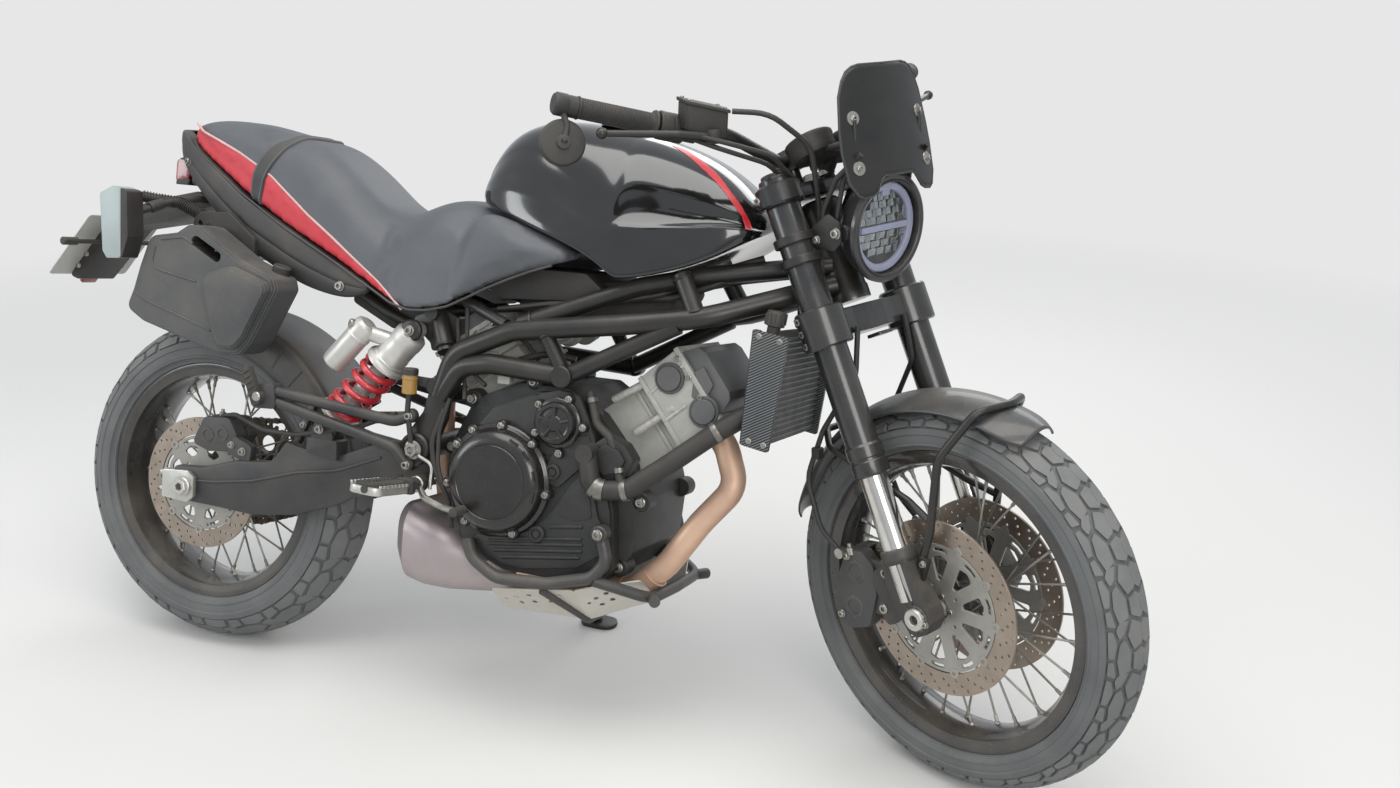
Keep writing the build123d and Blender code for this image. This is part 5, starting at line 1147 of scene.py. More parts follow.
# place and way of each weld bead of the right side, with the radius it runs round
weldBeads = [
    ((1016, -127, 753), (-0.45, 0.18, 0.87), 16.5), ((801, -148, 632), (0.88, 0.06, 0.48), 15.5),
    ((792, -148, 630), (-0.53, 0.02, 0.85), 13.5), ((755, -146, 689), (0.53, -0.02, -0.85), 13.5),
    ((552, -137.5, 650), (-0.45, 0.32, 0.83), 15.5), ((984, -113, 806), (0.45, -0.18, -0.87), 16.5),
    ((722, -137, 711), (0.9, 0.16, 0.4), 16.5),
]
pivotPlate = [
    (538, 600), (574, 588), (568, 520), (548, 470), (546, 404), (520, 392), (490, 400), (478, 450),
    (492, 490), (520, 530),
]
bm = newMesh()
for radius, bends, points in trellisTubes:
    for route in bothSides(points):
        addTube(bm, route, radius, bends, 22, 0)
for x, z, radius in ((548, 560, 15), (700, 702, 13), (520, 706, 13)):
    addTube(bm, [(x, -138, z), (x, 138, z)], radius, (), 18, 0)
headFrom, headTo = 523, 699
addTurned(
    bm, atFork(0, 0, headFrom), steerUp,
    [
        (18.3, 0), (31, 0), (34, 3), (34, 20), (32, 24), (32, headTo - headFrom - 24),
        (34, headTo - headFrom - 20), (34, headTo - headFrom - 3), (31, headTo - headFrom),
        (18.3, headTo - headFrom),
    ],
    48, 0, closed=True,
)
for side in (-1, 1):
    addSlab(bm, pivotPlate, 9, side * 132, side * 144, 2.5)
    addTurned(
        bm, (510, side * 132, 460), (0, side, 0),
        [(12.3, 0), (30, 0), (30, 17), (27, 20), (24, 20), (22, 18), (12.3, 18)], 40, 0, closed=True,
    )
    addTurned(
        bm, (796, side * 148, 624), (0, side, 0), [(0, 0), (19, 2), (19, 19), (17, 21), (0, 21)], 30, 0,
    )
    addTurned(bm, (544, side * 141, 577), (0, side, 0), stud(17, 9, 14, 12), 30, 0)
    for spot, way, radius in weldBeads:
        place = Vector((spot[0], -side * spot[1], spot[2]))
        along = Vector((way[0], -side * way[1], way[2]))
        addTurned(
            bm, place, along,
            [(radius - 2, -3), (radius + 1.6, -2), (radius + 2.4, 0), (radius + 1.6, 2), (radius - 2, 3)],
            24, 0, closed=True,
        )
makePiece("trellisFrame", bm, ["frameBlack"], ["main_frame"])

bm = newMesh()
for side in (-1, 1):
    spot = Vector((510, side * 152.5, 460))
    addTurned(bm, spot, (0, side, 0), [(8, 0), (17, 0), (17, 2.5), (15.5, 3.2), (8, 3.2)], 40, 0)
    addTurned(
        bm, spot, (0, side, 0), [(0, 0), (13.5, 0), (13.5, 9), (12, 11), (7.4, 11), (7, 5), (0, 5)], 6, 0,
    )
addTube(bm, [(510, -152, 460), (510, 152, 460)], 12, (), 24, 0)
makePiece("pivotBolt", bm, ["boltSteel"], ["pivot_bolt"])
print("frame made")

# engine
crankSpot = Vector((760, 420))
clutchAt = (685, 430)
pumpAt = (792, 544)
caseHalf = 150
boltSpots = []


# notes a screw head on a side face, looking out from the middle
def headBolt(x, y, z, size=1.0):
    boltSpots.append(((x, y, z), (0, 1 if y > 0 else -1, 0), size))


def alongCylinder(angle, distance, offset):
    up = Vector((cos(radians(angle)), sin(radians(angle))))
    spot = crankSpot + up * distance + Vector((up.y, -up.x)) * offset
    return (spot.x, spot.y)


bm = newMesh()
coreOutline = [
    (566, 480), (580, 350), (620, 292), (900, 286), (932, 330), (938, 420), (916, 492), (856, 560),
    (790, 600),
    (690, 600), (604, 560),
]
caseOutline = [
    (590, 470), (586, 380), (622, 300), (700, 268), (880, 266), (908, 300), (900, 400), (880, 470),
    (850, 540),
    (800, 596), (740, 590), (660, 556),
]
addSlab(bm, coreOutline, 14, -112, 112, 5)
addSlab(bm, caseOutline, 12, -110, -138, 3)
addSlab(bm, [(x * 0.985 + 11, z * 0.98 + 8) for x, z in caseOutline], 12, -137, -caseHalf + 3, 3.5)
lowerCover = [
    (640, 318), (664, 296), (704, 283), (742, 280), (846, 298), (884, 324), (901, 356), (878, 392),
    (869, 424),
    (846, 464), (822, 438), (796, 396), (776, 372), (752, 350), (716, 334), (680, 326), (652, 330),
]
addSlab(bm, lowerCover, 8, -caseHalf + 8, -caseHalf - 3, 3)
innerPanel = [(800, 386), (826, 430), (845, 452), (862, 420), (868, 388), (840, 380)]
addSlab(bm, innerPanel, 6, -caseHalf - 2, -caseHalf - 5, 1.5)
for start, stop in (
    ((730, 357), (756, 360)), ((790, 362), (852, 371)), ((674, 325), (852, 349)), ((672, 315), (854, 339)),
    ((684, 305), (854, 328)), ((700, 295), (850, 316)),
):
    addTube(bm, [(start[0], -caseHalf - 2, start[1]), (stop[0], -caseHalf - 2, stop[1])], 3.6, (), 12, 0)
# raised housings between the clutch and the coolant elbow
addSlab(
    bm, [(776, 470), (770, 440), (800, 432), (838, 470), (862, 500), (850, 530), (800, 520)], 8,
    -caseHalf + 6, -caseHalf - 4, 3,
)
addSlab(
    bm, [(856, 512), (884, 534), (918, 522), (938, 496), (922, 466), (884, 452), (858, 474)], 8, -120, -156,
    5,
)
addSlab(
    bm, [(868, 506), (886, 520), (912, 512), (924, 494), (912, 474), (886, 466), (870, 480)], 6, -154, -163,
    3,
)
addSlab(
    bm,
    [
        (726, 520), (742, 500), (770, 486), (820, 488), (868, 494), (862, 520), (846, 556), (826, 594),
        (790, 600), (752, 590), (734, 560),
    ],
    9, -caseHalf + 8, -caseHalf - 1, 3,
)
for spot, radius in (((789, 458), 14), ((767, 346), 15)):
    addTurned(
        bm, (spot[0], -caseHalf - 3, spot[1]), (0, -1, 0),
        [
            (0, 0), (radius, 0), (radius, 4), (radius - 2, 6), (radius - 5, 6), (radius - 6, 3), (7, 3),
            (6, 5), (0, 5),
        ],
        36, 0,
    )
# sump with cooling ribs below, and mounting lugs
sump = {"ribs": 9, "from": 640, "pitch": 27, "ribWide": 5, "low": 268, "high": 290, "half": 100}
for k in range(sump["ribs"]):
    x = sump["from"] + k * sump["pitch"]
    addPlate(
        bm, rectangle(x, x + sump["ribWide"], sump["low"], sump["high"]), -sump["half"], sump["half"], 1, 0,
    )
addSlab(bm, [(616, 300), (640, 272), (880, 270), (904, 300)], 6, -108, 108, 4)
for spot in ((906, 300), (938, 420), (566, 470), (600, 560), (720, 604)):
    for side in (-1, 1):
        addTurned(
            bm, (spot[0], side * 96, spot[1]), (0, side, 0),
            [(0, -20), (17, -20), (17, 14), (15, 16), (0, 16)], 26, 0,
        )
        headBolt(spot[0], side * 112, spot[1], 1.5)
# left side: case, generator cover and chain cover
leftCase = [(600, 470), (596, 360), (640, 300), (880, 300), (900, 420), (840, 540), (700, 560)]
addSlab(bm, leftCase, 16, 110, caseHalf - 12, 4)
makePiece("engineCastings", bm, ["caseGrey"], ["engine_case"])

bm = newMesh()
face = -caseHalf
addTurned(
    bm, (clutchAt[0], face + 2, clutchAt[1]), (0, -1, 0),
    [
        (0, 0), (100, 0), (100, 9), (98.5, 11), (96, 12), (93, 14), (91.5, 18), (89, 25), (84, 31.5),
        (77, 36), (70, 38), (67, 38.2), (66, 37.4), (64.5, 37.4), (63.5, 38.4), (0, 40),
    ],
    96, 0,
)
for angle in (48, -7, 88, 122, 146, -66, 235, 190):
    x, z = clutchAt[0] + 97 * cos(radians(angle)), clutchAt[1] + 97 * sin(radians(angle))
    addTurned(bm, (x, face + 2, z), (0, -1, 0), stud(10, 15, 8.5, 17), 22, 0)
    headBolt(x, face - 15, z)
for angle in (62, 40, 14, -12):
    x, z = clutchAt[0] + 83 * cos(radians(angle)), clutchAt[1] + 83 * sin(radians(angle))
    way = Vector((-sin(radians(angle)), 0, cos(radians(angle)))) * 9
    spot = Vector((x, face - 30.5, z))
    addTube(bm, [spot - way, spot + way], 2.6, (), 8, 0)
addTurned(
    bm, (pumpAt[0], face, pumpAt[1]), (0, -1, 0),
    [
        (0, 0), (44, 0), (44, 8), (42, 10), (38, 11), (36.5, 19), (34, 22), (29, 22.6), (27, 20), (24, 19),
        (22, 19.5), (14, 20), (12, 22), (0, 22.5),
    ],
    64, 0,
)
for k in range(5):
    angle = radians(90 + 72 * k)
    a = Vector((pumpAt[0] + 12 * cos(angle), face - 19.5, pumpAt[1] + 12 * sin(angle)))
    b = Vector((pumpAt[0] + 29 * cos(angle), face - 20.5, pumpAt[1] + 29 * sin(angle)))
    addTube(bm, [a, b], 3.4, (), 8, 0)
for spot in ((752, 523), (811, 587), (841, 542), (799, 492), (854, 502), (755, 572)):
    addTurned(bm, (spot[0], face, spot[1]), (0, -1, 0), stud(9, 8, 8, 10), 20, 0)
    headBolt(spot[0], face - 10, spot[1])
# left covers
generator = [
    (0, 0), (84, 0), (84, 8), (82, 10), (78, 12), (74, 30), (68, 35), (60, 36), (34, 36), (32, 33),
    (20, 33), (18, 35), (0, 35),
]
generatorRing = {"x": 800, "z": 420, "screws": 8, "radius": 81, "first": 20}
addTurned(bm, (generatorRing["x"], caseHalf - 13, generatorRing["z"]), (0, 1, 0), generator, 72, 0)
for k in range(generatorRing["screws"]):
    angle = radians(generatorRing["first"] + 45 * k)
    x = generatorRing["x"] + generatorRing["radius"] * cos(angle)
    z = generatorRing["z"] + generatorRing["radius"] * sin(angle)
    addTurned(bm, (x, caseHalf - 13, z), (0, 1, 0), stud(9, 11, 8, 13), 20, 0)
    headBolt(x, caseHalf, z)
chainCover = [(604, 470), (600, 390), (660, 350), (706, 400), (700, 470), (650, 500)]
addSlab(bm, chainCover, 14, caseHalf - 12, caseHalf + 8, 4)
for spot in ((616, 462), (612, 398), (656, 362), (692, 402), (688, 462), (650, 486)):
    headBolt(spot[0], caseHalf + 8, spot[1])
makePiece("engineCovers", bm, ["coverBlack"], ["engine_covers"])

# cylinders and heads, with the stud bosses, joint lines and round plugs of the front head
bm = newMesh()
for angle, base, gasket, rocker, top in ((38, 158, 252, 338, 376), (125, 168, 252, 312, 340)):
    at = lambda distance, offset: alongCylinder(angle, distance, offset)
    addSlab(bm, [at(base - 30, -64), at(gasket, -64), at(gasket, 64), at(base - 30, 64)], 6, -84, 84, 4)
    addSlab(
        bm, [at(gasket - 26, -68), at(gasket - 20, -68), at(gasket - 20, 68), at(gasket - 26, 68)], 1, -88,
        88, 1,
    )
    addSlab(bm, [at(gasket, -72), at(rocker, -78), at(rocker, 66), at(gasket, 72)], 5, -103, 98, 4)
    addSlab(
        bm, [at(gasket - 3, -72), at(gasket + 5, -74), at(gasket + 5, 73), at(gasket - 3, 72)], 1.5, -105,
        99, 1.2,
    )
    addSlab(
        bm, [at(rocker - 6, -80), at(rocker + 3, -80), at(rocker + 3, 68), at(rocker - 6, 68)], 2, -106,
        100, 1.5,
    )
    addSlab(
        bm, [at(rocker, -70), at(top - 6, -60), at(top, -46), at(top, 32), at(top - 6, 44), at(rocker, 58)],
        6, -98, 92, 5, 1,
    )
    for offset in (-62, -26, 14, 50):
        x, z = at(rocker - 8, offset)
        headBolt(x, -106, z, 0.9)
        headBolt(x, 100, z, 0.9)
# the front head's right face: webs, two long bosses, and its plugs
webs = [(252, -40, 338, -48), (252, 14, 300, 12)]
for d0, o0, d1, o1 in webs:
    a, b = alongCylinder(38, d0, o0), alongCylinder(38, d1, o1)
    addTube(bm, [(a[0], -103, a[1]), (b[0], -103, b[1])], 3.2, (), 10, 0)
for start, stop in (((867, 588), (945, 637)), ((913, 536), (975, 584))):
    way = (Vector((stop[0], -96, stop[1])) - Vector((start[0], -96, start[1]))).normalized()
    addTube(bm, [(start[0], -96, start[1]), (stop[0], -96, stop[1])], 7, (), 16, 0)
    addTurned(bm, (stop[0], -96, stop[1]), way, [(7, -6), (9.5, -5), (9.5, 5), (7.5, 8), (0, 8)], 20, 0)
for d, o in ((300, -42), (322, 38)):
    x, z = alongCylinder(38, d, o)
    addTurned(
        bm, (x, -104, z), (0, -1, 0),
        [(0, 0), (27, 0), (27, 3), (25.5, 5), (23.5, 5), (23, 4), (22, 4), (21.4, 8), (20, 9), (0, 9.4)],
        48, 1,
    )
x, z = alongCylinder(38, 345, -8)
addSlab(
    bm, [(x - 16, z - 30), (x + 8, z - 34), (x + 22, z - 4), (x + 2, z + 26), (x - 14, z + 14)], 6, -98,
    -104, 2, 1,
)
makePiece("cylinderHeads", bm, ["headAlloy", "plugGrey"], ["cylinders"])
print("engine made")

# radiator, hoses, exhaust, guard and skid plate
bm = newMesh()
radiatorCore = {
    "box": [(1122, 552), (1127, 732), (1165, 727), (1152, 546)], "half": 138, "fins": 58, "finSpan": 264,
    "tubes": 17, "tubeLow": 558, "tubePitch": 10,
}
addPlate(bm, radiatorCore["box"], -radiatorCore["half"], radiatorCore["half"], 2, 0)
for k in range(radiatorCore["fins"]):
    y = -radiatorCore["finSpan"] / 2 + k * radiatorCore["finSpan"] / (radiatorCore["fins"] - 1)
    addPrism(
        bm, rectangle(0, 1.2, 0, 176),
        (Vector((1155, y, 551)), Vector((0, 1, 0)), Vector((0.06, 0, 1)).normalized(), Vector((1, 0, 0))),
        4, 0, 3,
    )
for k in range(radiatorCore["tubes"]):
    z = radiatorCore["tubeLow"] + k * radiatorCore["tubePitch"]
    addTube(
        bm, [(1158 + (z - 546) * 0.07, y, z) for y in (-radiatorCore["half"], radiatorCore["half"])], 1.6,
        (), 6, 3,
    )
for side in (-1, 1):
    addSlab(bm, [(1120, 548), (1126, 738), (1186, 730), (1168, 540)], 5, side * 141, side * 150, 1.2, 1)
    addSlab(bm, [(1116, 548), (1122, 738), (1134, 737), (1127, 547)], 3, side * 128, side * 143, 2, 2)
    for x, z in ((1172, 722), (1134, 556), (1160, 552), (1136, 728)):
        headBolt(x, side * 150, z, 0.8)
    addTube(bm, [(1141, side * 72, 722), (1140, side * 60, 784)], 6, (), 12, 2)
# fan housing behind the core
addTurned(
    bm, (1124, 0, 640), (-1, 0, 0), [(60, 0), (84, 0), (84, 20), (80, 22), (76, 22), (76, 6), (60, 6)], 56,
    2, closed=True,
)
fan = {"blades": 9, "z": 640, "root": 22, "tip": 72, "sweep": 0.35}
for k in range(fan["blades"]):
    angle = 2 * pi * k / fan["blades"]
    bladeRoot = (1110, fan["root"] * cos(angle), fan["z"] + fan["root"] * sin(angle))
    swept = angle + fan["sweep"]
    bladeTip = (1108, fan["tip"] * cos(swept), fan["z"] + fan["tip"] * sin(swept))
    addTube(bm, [bladeRoot, bladeTip], 5, (), 8, 2)
addTurned(bm, (1112, 0, 640), (-1, 0, 0), stud(26, 10, 22, 13), 32, 2)
addTurned(
    bm, (1150, -122, 728), (0.13, 0, 1),
    [(0, 0), (11, 0), (11, 16), (16.5, 18), (17, 26), (17, 38), (15, 42), (6, 43), (0, 43)], 32, 2,
)
for k in range(14):
    angle = 2 * pi * k / 14
    gripX, gripY = 17 * cos(angle), 17 * sin(angle) - 122
    addTube(bm, [(1153 + gripX, gripY, 748), (1155 + gripX, gripY, 766)], 1.5, (), 6, 2)
makePiece(
    "ribbedRadiator", bm, ["coreBlack", "guardWeave", "mouldBlack", "meshAlloy"], ["radiator"],
)

bm = newMesh()
mainHose = [
    (858, -170, 500), (870, -170, 440), (930, -160, 446), (1000, -152, 500), (1070, -128, 560),
    (1132, -108, 604),
]
addTube(bm, mainHose, 17, (24, 26, 200, 100), 24, 0)
addTube(bm, [(858, -150, 502), (858, -186, 502)], 16, (), 24, 0)
addTube(bm, [(836, -128, 600), (858, -140, 548), (890, -150, 530), (921, -159, 450)], 8, (25, 20), 16, 0)
route = roundedRoute(mainHose, (24, 26, 200, 100))
for i in range(2, 14):
    way = (route[i + 1] - route[i]).normalized()
    if i < 9:
        addTurned(bm, route[i], way, [(15, -1.6), (17.8, -1), (17.8, 1), (15, 1.6)], 24, 0, closed=True)
for share in (0.30, 0.42, 0.46, 0.60, 0.94):
    spot = route[int(share * (len(route) - 1))]
    way = (
        route[
            min(int(share * (len(route) - 1)) + 1, len(route) - 1)
        ] - route[int(share * (len(route) - 1)) - 1]
    ).normalized()
    addTurned(bm, spot, way, [(16, -5), (18.6, -5), (19.2, 0), (18.6, 5), (16, 5)], 28, 1, closed=True)
for spot, way in (((913, -157, 478), (0.26, -0.1, -0.95)), ((842, -131, 586), (0.4, -0.2, -0.9))):
    addTurned(bm, spot, way, rectangle(7, 9.6, -4, 4), 20, 1, closed=True)
makePiece("coolantHoses", bm, ["hoseRubber", "clampSteel"], ["coolant_hoses"])

bm = newMesh()
frontPipe = [
    (1034, -36, 556), (1066, -52, 522), (1092, -64, 462), (1036, -72, 392), (984, -78, 312),
    (920, -70, 254), (690, -50, 244),
]
addTube(bm, frontPipe, 22, (40, 44, 160, 90, 50), 32, 0)
addTube(
    bm, [(540, 0, 634), (470, 30, 592), (446, 60, 520), (452, 60, 400), (470, 50, 330), (500, 40, 300)],
    19, (50, 60, 80, 50), 24, 0,
)
addTurned(bm, (1044, -41, 546), (0.62, -0.28, -0.73), rectangle(21, 33, -4, 4), 36, 0, closed=True)
for spot, way in (((962, -76, 288), (-0.6, 0.08, -0.8)), ((900, -69, 252), (-1, 0.08, -0.04))):
    addTurned(bm, spot, way, [(21, -1.5), (23.6, -1), (23.6, 1), (21, 1.5)], 32, 0, closed=True)
makePiece("exhaustPipes", bm, ["headerSteel"], ["exhaust_headers"])


# skins rings of points, all with one count
def loftSections(bm, sections, mat=0, capped=True):
    rings = [[bm.verts.new(p) for p in ring] for ring in sections]
    skinRings(bm, rings, mat, capped)


def roundedBox(x, y, z, width, height, corner, steps=6):
    ring = []
    for cy, cz, start in ((1, 1, 0), (-1, 1, 90), (-1, -1, 180), (1, -1, 270)):
        for k in range(steps + 1):
            angle = radians(start + 90 * k / steps)
            ring.append(
                (
                    x, y + cy * (width / 2 - corner) + corner * cos(angle),
                    z + cz * (height / 2 - corner) + corner * sin(angle),
                )
            )
    return ring


bm = newMesh()
# x, centre height, width, height and corner radius
boxSections = [
    (447, 300, 110, 50, 24), (450, 298, 158, 84, 34), (462, 292, 206, 112, 42), (486, 280, 250, 140, 46),
    (520, 272, 262, 136, 48),
    (570, 262, 260, 116, 46), (620, 254, 220, 96, 40), (660, 246, 170, 78, 32), (690, 241, 134, 68, 26),
    (694, 240, 122, 60, 22),
]
loftSections(bm, [roundedBox(x, -6, z, w, h, c) for x, z, w, h, c in boxSections], 0)
addTube(bm, [(470, 96, 262), (410, 118, 252)], 24, (), 32, 0)
addTurned(
    bm, (414, 116.5, 252.7), (-0.925, 0.34, -0.15),
    [(19, 0), (25, 0), (25.5, 3), (24, 5), (20, 4), (20, -30), (0, -30)], 32, 0,
)
makePiece("silencerBox", bm, ["silencerSteel"], ["silencer_box"])

bm = newMesh()
guardTubes = [
    (
        11, (24, 40, 60, 50, 40),
        [
            (894, -168, 366), (908, -170, 322), (884, -170, 290), (800, -168, 266), (700, -168, 260),
            (650, -166, 288), (636, -160, 318),
        ],
    ),
    (10, (50,), [(886, -170, 286), (972, -112, 256), (976, 0, 256)]),
    (7, (20,), [(790, -167, 252), (846, -86, 192), (846, 0, 190)]),
]
for radius, bends, points in guardTubes:
    for route in bothSides(points):
        addTube(bm, route, radius, bends, 20, 0)
for side in (-1, 1):
    addTurned(bm, (893, side * 158, 368), (0, side, 0), stud(15, 20, 13, 22), 28, 0)
    headBolt(893, side * 181, 368, 1.5)
    addTurned(bm, (972, side * 106, 256), (0.5, side * 0.86, 0), stud(10, 26, 9, 28), 20, 0)
makePiece("engineGuard", bm, ["guardBlack"], ["guard_tubes"])


# flat plate on the plane of its first three corners; holes are (share along, share up, radius)
def addPanel(bm, corners, holes, thick, mat=0, round=6):
    spots = [Vector(c) for c in corners]
    uWay = (spots[1] - spots[0]).normalized()
    outWay = uWay.cross(spots[2] - spots[0]).normalized()
    vWay = outWay.cross(uWay)
    flat = [((s - spots[0]).dot(uWay), (s - spots[0]).dot(vWay)) for s in spots]
    loops = [roundCorners(flat, round, 3)]
    for a, b, radius in holes:
        low = spots[0].lerp(spots[1], a)
        high = spots[3].lerp(spots[2], a)
        spot = low.lerp(high, b) - spots[0]
        loops.append(circlePoints(spot.dot(uWay), spot.dot(vWay), radius, 18))
    addCutout(bm, loops, (spots[0] - outWay * thick, uWay, vWay, outWay), thick, 0.5, mat)


bm = newMesh()
drilled = [
    (0.25, 0.62, 5), (0.42, 0.72, 5), (0.45, 0.45, 5.5), (0.66, 0.52, 5.5), (0.28, 0.36, 5), (0.8, 0.8, 4),
    (0.12, 0.5, 4),
]
for side in (-1, 1):
    low = [(690, side * 114, 198.4), (846, side * 86, 195), (846, side * 160, 262), (690, side * 160, 240)]
    nose = [(846, side * 86, 195), (966, side * 60, 246), (950, side * 116, 287), (846, side * 160, 262)]
    for quad, holes in ((low, drilled), (nose, drilled)):
        if side < 0:
            quad = [quad[1], quad[0], quad[3], quad[2]]
            holes = [(1 - a, b, r) for a, b, r in holes]
        addPanel(bm, quad, holes, 3)
addPanel(
    bm, [(690, 115, 198.4), (690, -115, 198.4), (846, -87, 195), (846, 87, 195)],
    [(a, b, 7) for a in (0.2, 0.5, 0.8) for b in (0.25, 0.55, 0.85)], 3, 0, 2,
)
addPanel(
    bm, [(846, 88, 195), (846, -88, 195), (966, -62, 246), (966, 62, 246)],
    [(a, b, 7) for a in (0.3, 0.5, 0.7) for b in (0.3, 0.65)], 3, 0, 2,
)
makePiece("skidPlate", bm, ["skidAlloy"], ["skid_plate"])
print("radiator, hoses, exhaust and guard made")

# tank: sections from the rear to the steering head, shaped with a ridge, a hollow and a skirt


# value at x on a polyline of rows that begin with x
def lineAt(points, x, column=1):
    rows = sorted(points)
    if x <= rows[0][0]:
        return rows[0][column]
    for low, high in zip(rows, rows[1:]):
        if x <= high[0]:
            return low[column] + (high[column] - low[column]) * (x - low[0]) / max(high[0] - low[0], 1e-6)
    return rows[-1][column]


# x, top, ridge y and z, hollow y and z, skirt y and z, low edge y and z
tankRows = [
    (571, 948, 46, 938, 54, 932, 60, 924, 56, 914),
    (578, 972, 62, 950, 72, 940, 78, 926, 76, 908),
    (596, 1010, 76, 972, 90, 950, 98, 926, 98, 902),
    (630, 1044, 88, 1002, 103, 975, 112, 930, 115, 891),
    (680, 1062, 97, 1011, 112, 985, 124, 930, 131, 877),
    (730, 1064, 108, 986, 119, 965, 133, 915, 142, 862),
    (790, 1060, 124, 955, 129, 940, 142, 890, 148, 842),
    (835, 1054, 134, 937, 136, 924, 147, 870, 150, 820),
    (858, 1050, 135, 930, 139, 912, 149, 872, 151, 804),
    (870, 1048, 131, 950, 131, 915, 148, 884, 151, 796),
    (900, 1042, 126, 957, 127, 920, 147, 883, 149, 799),
    (950, 1028, 122, 948, 124, 916, 144, 886, 146, 811),
    (1000, 1008, 115, 936, 118, 912, 137, 891, 138, 828),
    (1045, 980, 104, 924, 109, 908, 128, 896, 127, 850),
    (1080, 948, 88, 912, 94, 904, 114, 896, 112, 872),
    (1098, 926, 66, 904, 72, 898, 92, 893, 90, 884),
    (1104, 912, 44, 902, 48, 898, 58, 896, 56, 890),
]
bm = newMesh()
tankRings = []
for x, top, yr, zr, yh, zh, ys, zs, yl, zl in tankRows:
    fall = top - zr
    half = [
        (yr * 0.22, top - fall * 0.015), (yr * 0.5, top - fall * 0.10), (yr * 0.76, top - fall * 0.33),
        (yr * 0.93, top - fall * 0.70), (yr, zr + 3), (yr + (yh - yr) * 0.15, zr - 3), (yh, zh),
        (yh + (ys - yh) * 0.55, zs + (zh - zs) * 0.35), (ys - 0.5, zs + 4), (ys + 0.5, zs - 3),
        ((ys + yl) / 2 + 1, (zs + zl) / 2), (yl, zl + 9), (yl - 1.5, zl + 3), (yl - 6, zl),
        (yl * 0.62, zl + 7), (yl * 0.28, zl + 9),
    ]
    ring = [(x, 0, top)] + [(x, -y, z) for y, z in half] + [(x, 0, zl + 9)] + [
        (x, y, z)
        for y, z in reversed(half)
    ]
    tankRings.append(ring)
loftSections(bm, tankRings, 0)
bmesh.ops.recalc_face_normals(bm, faces=bm.faces)


def smoothed(levels):
    def finish(piece):
        modifier = piece.modifiers.new("smooth", "SUBSURF")
        modifier.levels = levels
        modifier.render_levels = levels
    return finish


makePiece("fuelTank", bm, ["tankPaint"], ["fuel_tank"], 180, smoothed(2))
bm = newMesh()
# filler cap with its hinge and key cover
addTurned(
    bm, (820, 0, 1054), (0.13, 0, 1),
    [(0, 0), (54, 0), (54, 4), (52, 7), (44, 8), (43, 6), (38, 6), (37, 9), (30, 10.5), (0, 11)], 56, 0,
)
addSlab(bm, [(800, 1058), (800, 1068), (838, 1066), (838, 1056)], 3, -9, 9, 1.5)
for k in range(6):
    angle = radians(30 + 60 * k)
    addTurned(
        bm, (820 + 47 * cos(angle), 47 * sin(angle), 1061.5 - 6.2 * cos(angle) * 1.0), (0.13, 0, 1),
        [(0, 0), (3.6, 0), (3.4, 2.4), (0, 2.4)], 12, 0,
    )
makePiece("fillerCap", bm, ["mouldBlack"], ())
print("tank made")

# seat: a stuffed form swollen by cloth, then its panels, piping, strap and stitches

# x, top, piping y and z, low edge y and z, underside
seatRows = [
    (-94, 1012, 30, 1008, 36, 1000, 998), (-84, 1024, 46, 1013, 58, 991, 988),
    (-60, 1029, 64, 1007, 76, 969, 962),
    (-20, 1030, 82, 992, 92, 946, 936), (30, 1024, 94, 977, 103, 917, 908),
    (80, 1016, 102, 957, 111, 886, 882),
    (120, 1008, 108, 938, 117, 866, 866), (160, 1001, 113, 918, 122, 845, 850),
    (205, 994, 120, 885, 127, 823, 832),
    (240, 980, 124, 860, 130, 808, 820), (280, 954, 129, 836, 133, 790, 808),
    (320, 922, 134, 811, 137, 772, 798),
    (355, 893, 138, 788, 141, 755, 792), (395, 872, 141, 763, 144, 737, 788),
    (435, 873, 144, 730, 147, 716, 786),
    (470, 889, 147, 712, 149, 704, 786), (510, 904, 149, 716, 151, 706, 790),
    (550, 906, 150, 724, 152, 714, 798),
    (576, 898, 151, 736, 153, 725, 806), (600, 885, 152, 748, 154, 738, 818),
    (650, 873, 153, 772, 155, 764, 830),
    (710, 862, 154, 800, 155, 790, 838), (760, 850, 154, 818, 155, 807, 836),
    (798, 838, 152, 828, 153, 820, 830),
]
pipingRoute = [
    (-75, 50, 1015), (-42, 75, 1000), (14, 91, 982), (66, 100, 963), (110, 107, 943), (150, 112, 923),
    (199, 119, 889),
    (246, 125, 856), (302, 132, 822), (358, 138, 786), (411, 142, 752), (466, 146, 706),
]
bm = newMesh()
seatRings = []
for x, top, yp, zp, yl, zl, under in seatRows:
    if x > 590:
        edge = lineAt([(583, 906), (642, 890), (698, 874), (751, 856), (799, 840)], x) - 5
        half = [
            (60, top - 6), (104, top - 2), (yl - 26, edge - 2), (yl - 12, edge - 3),
            (yl - 2, (edge + zl) / 2 + 6),
            (yl, zl + 10), (yl - 4, zl), (yl - 22, zl + 10), (yl - 32, under), (60, under),
        ]
    else:
        half = [
            (yp * 0.34, top - 1), (yp * 0.62, top - 5), (yp * 0.84, top - (top - zp) * 0.30),
            (yp * 0.97, zp + (top - zp) * 0.25),
            (yp, zp), ((yp + yl) / 2 + 1, (zp + zl) / 2), (yl, zl + 6), (yl - 5, zl), (yl - 20, zl + 8),
            (yl * 0.5, under),
        ]
    ring = [(x, 0, top)] + [(x, -y, z) for y, z in half] + [(x, 0, under)] + [
        (x, y, z)
        for y, z in reversed(half)
    ]
    seatRings.append(ring)
loftSections(bm, seatRings, 0)
bmesh.ops.recalc_face_normals(bm, faces=bm.faces)


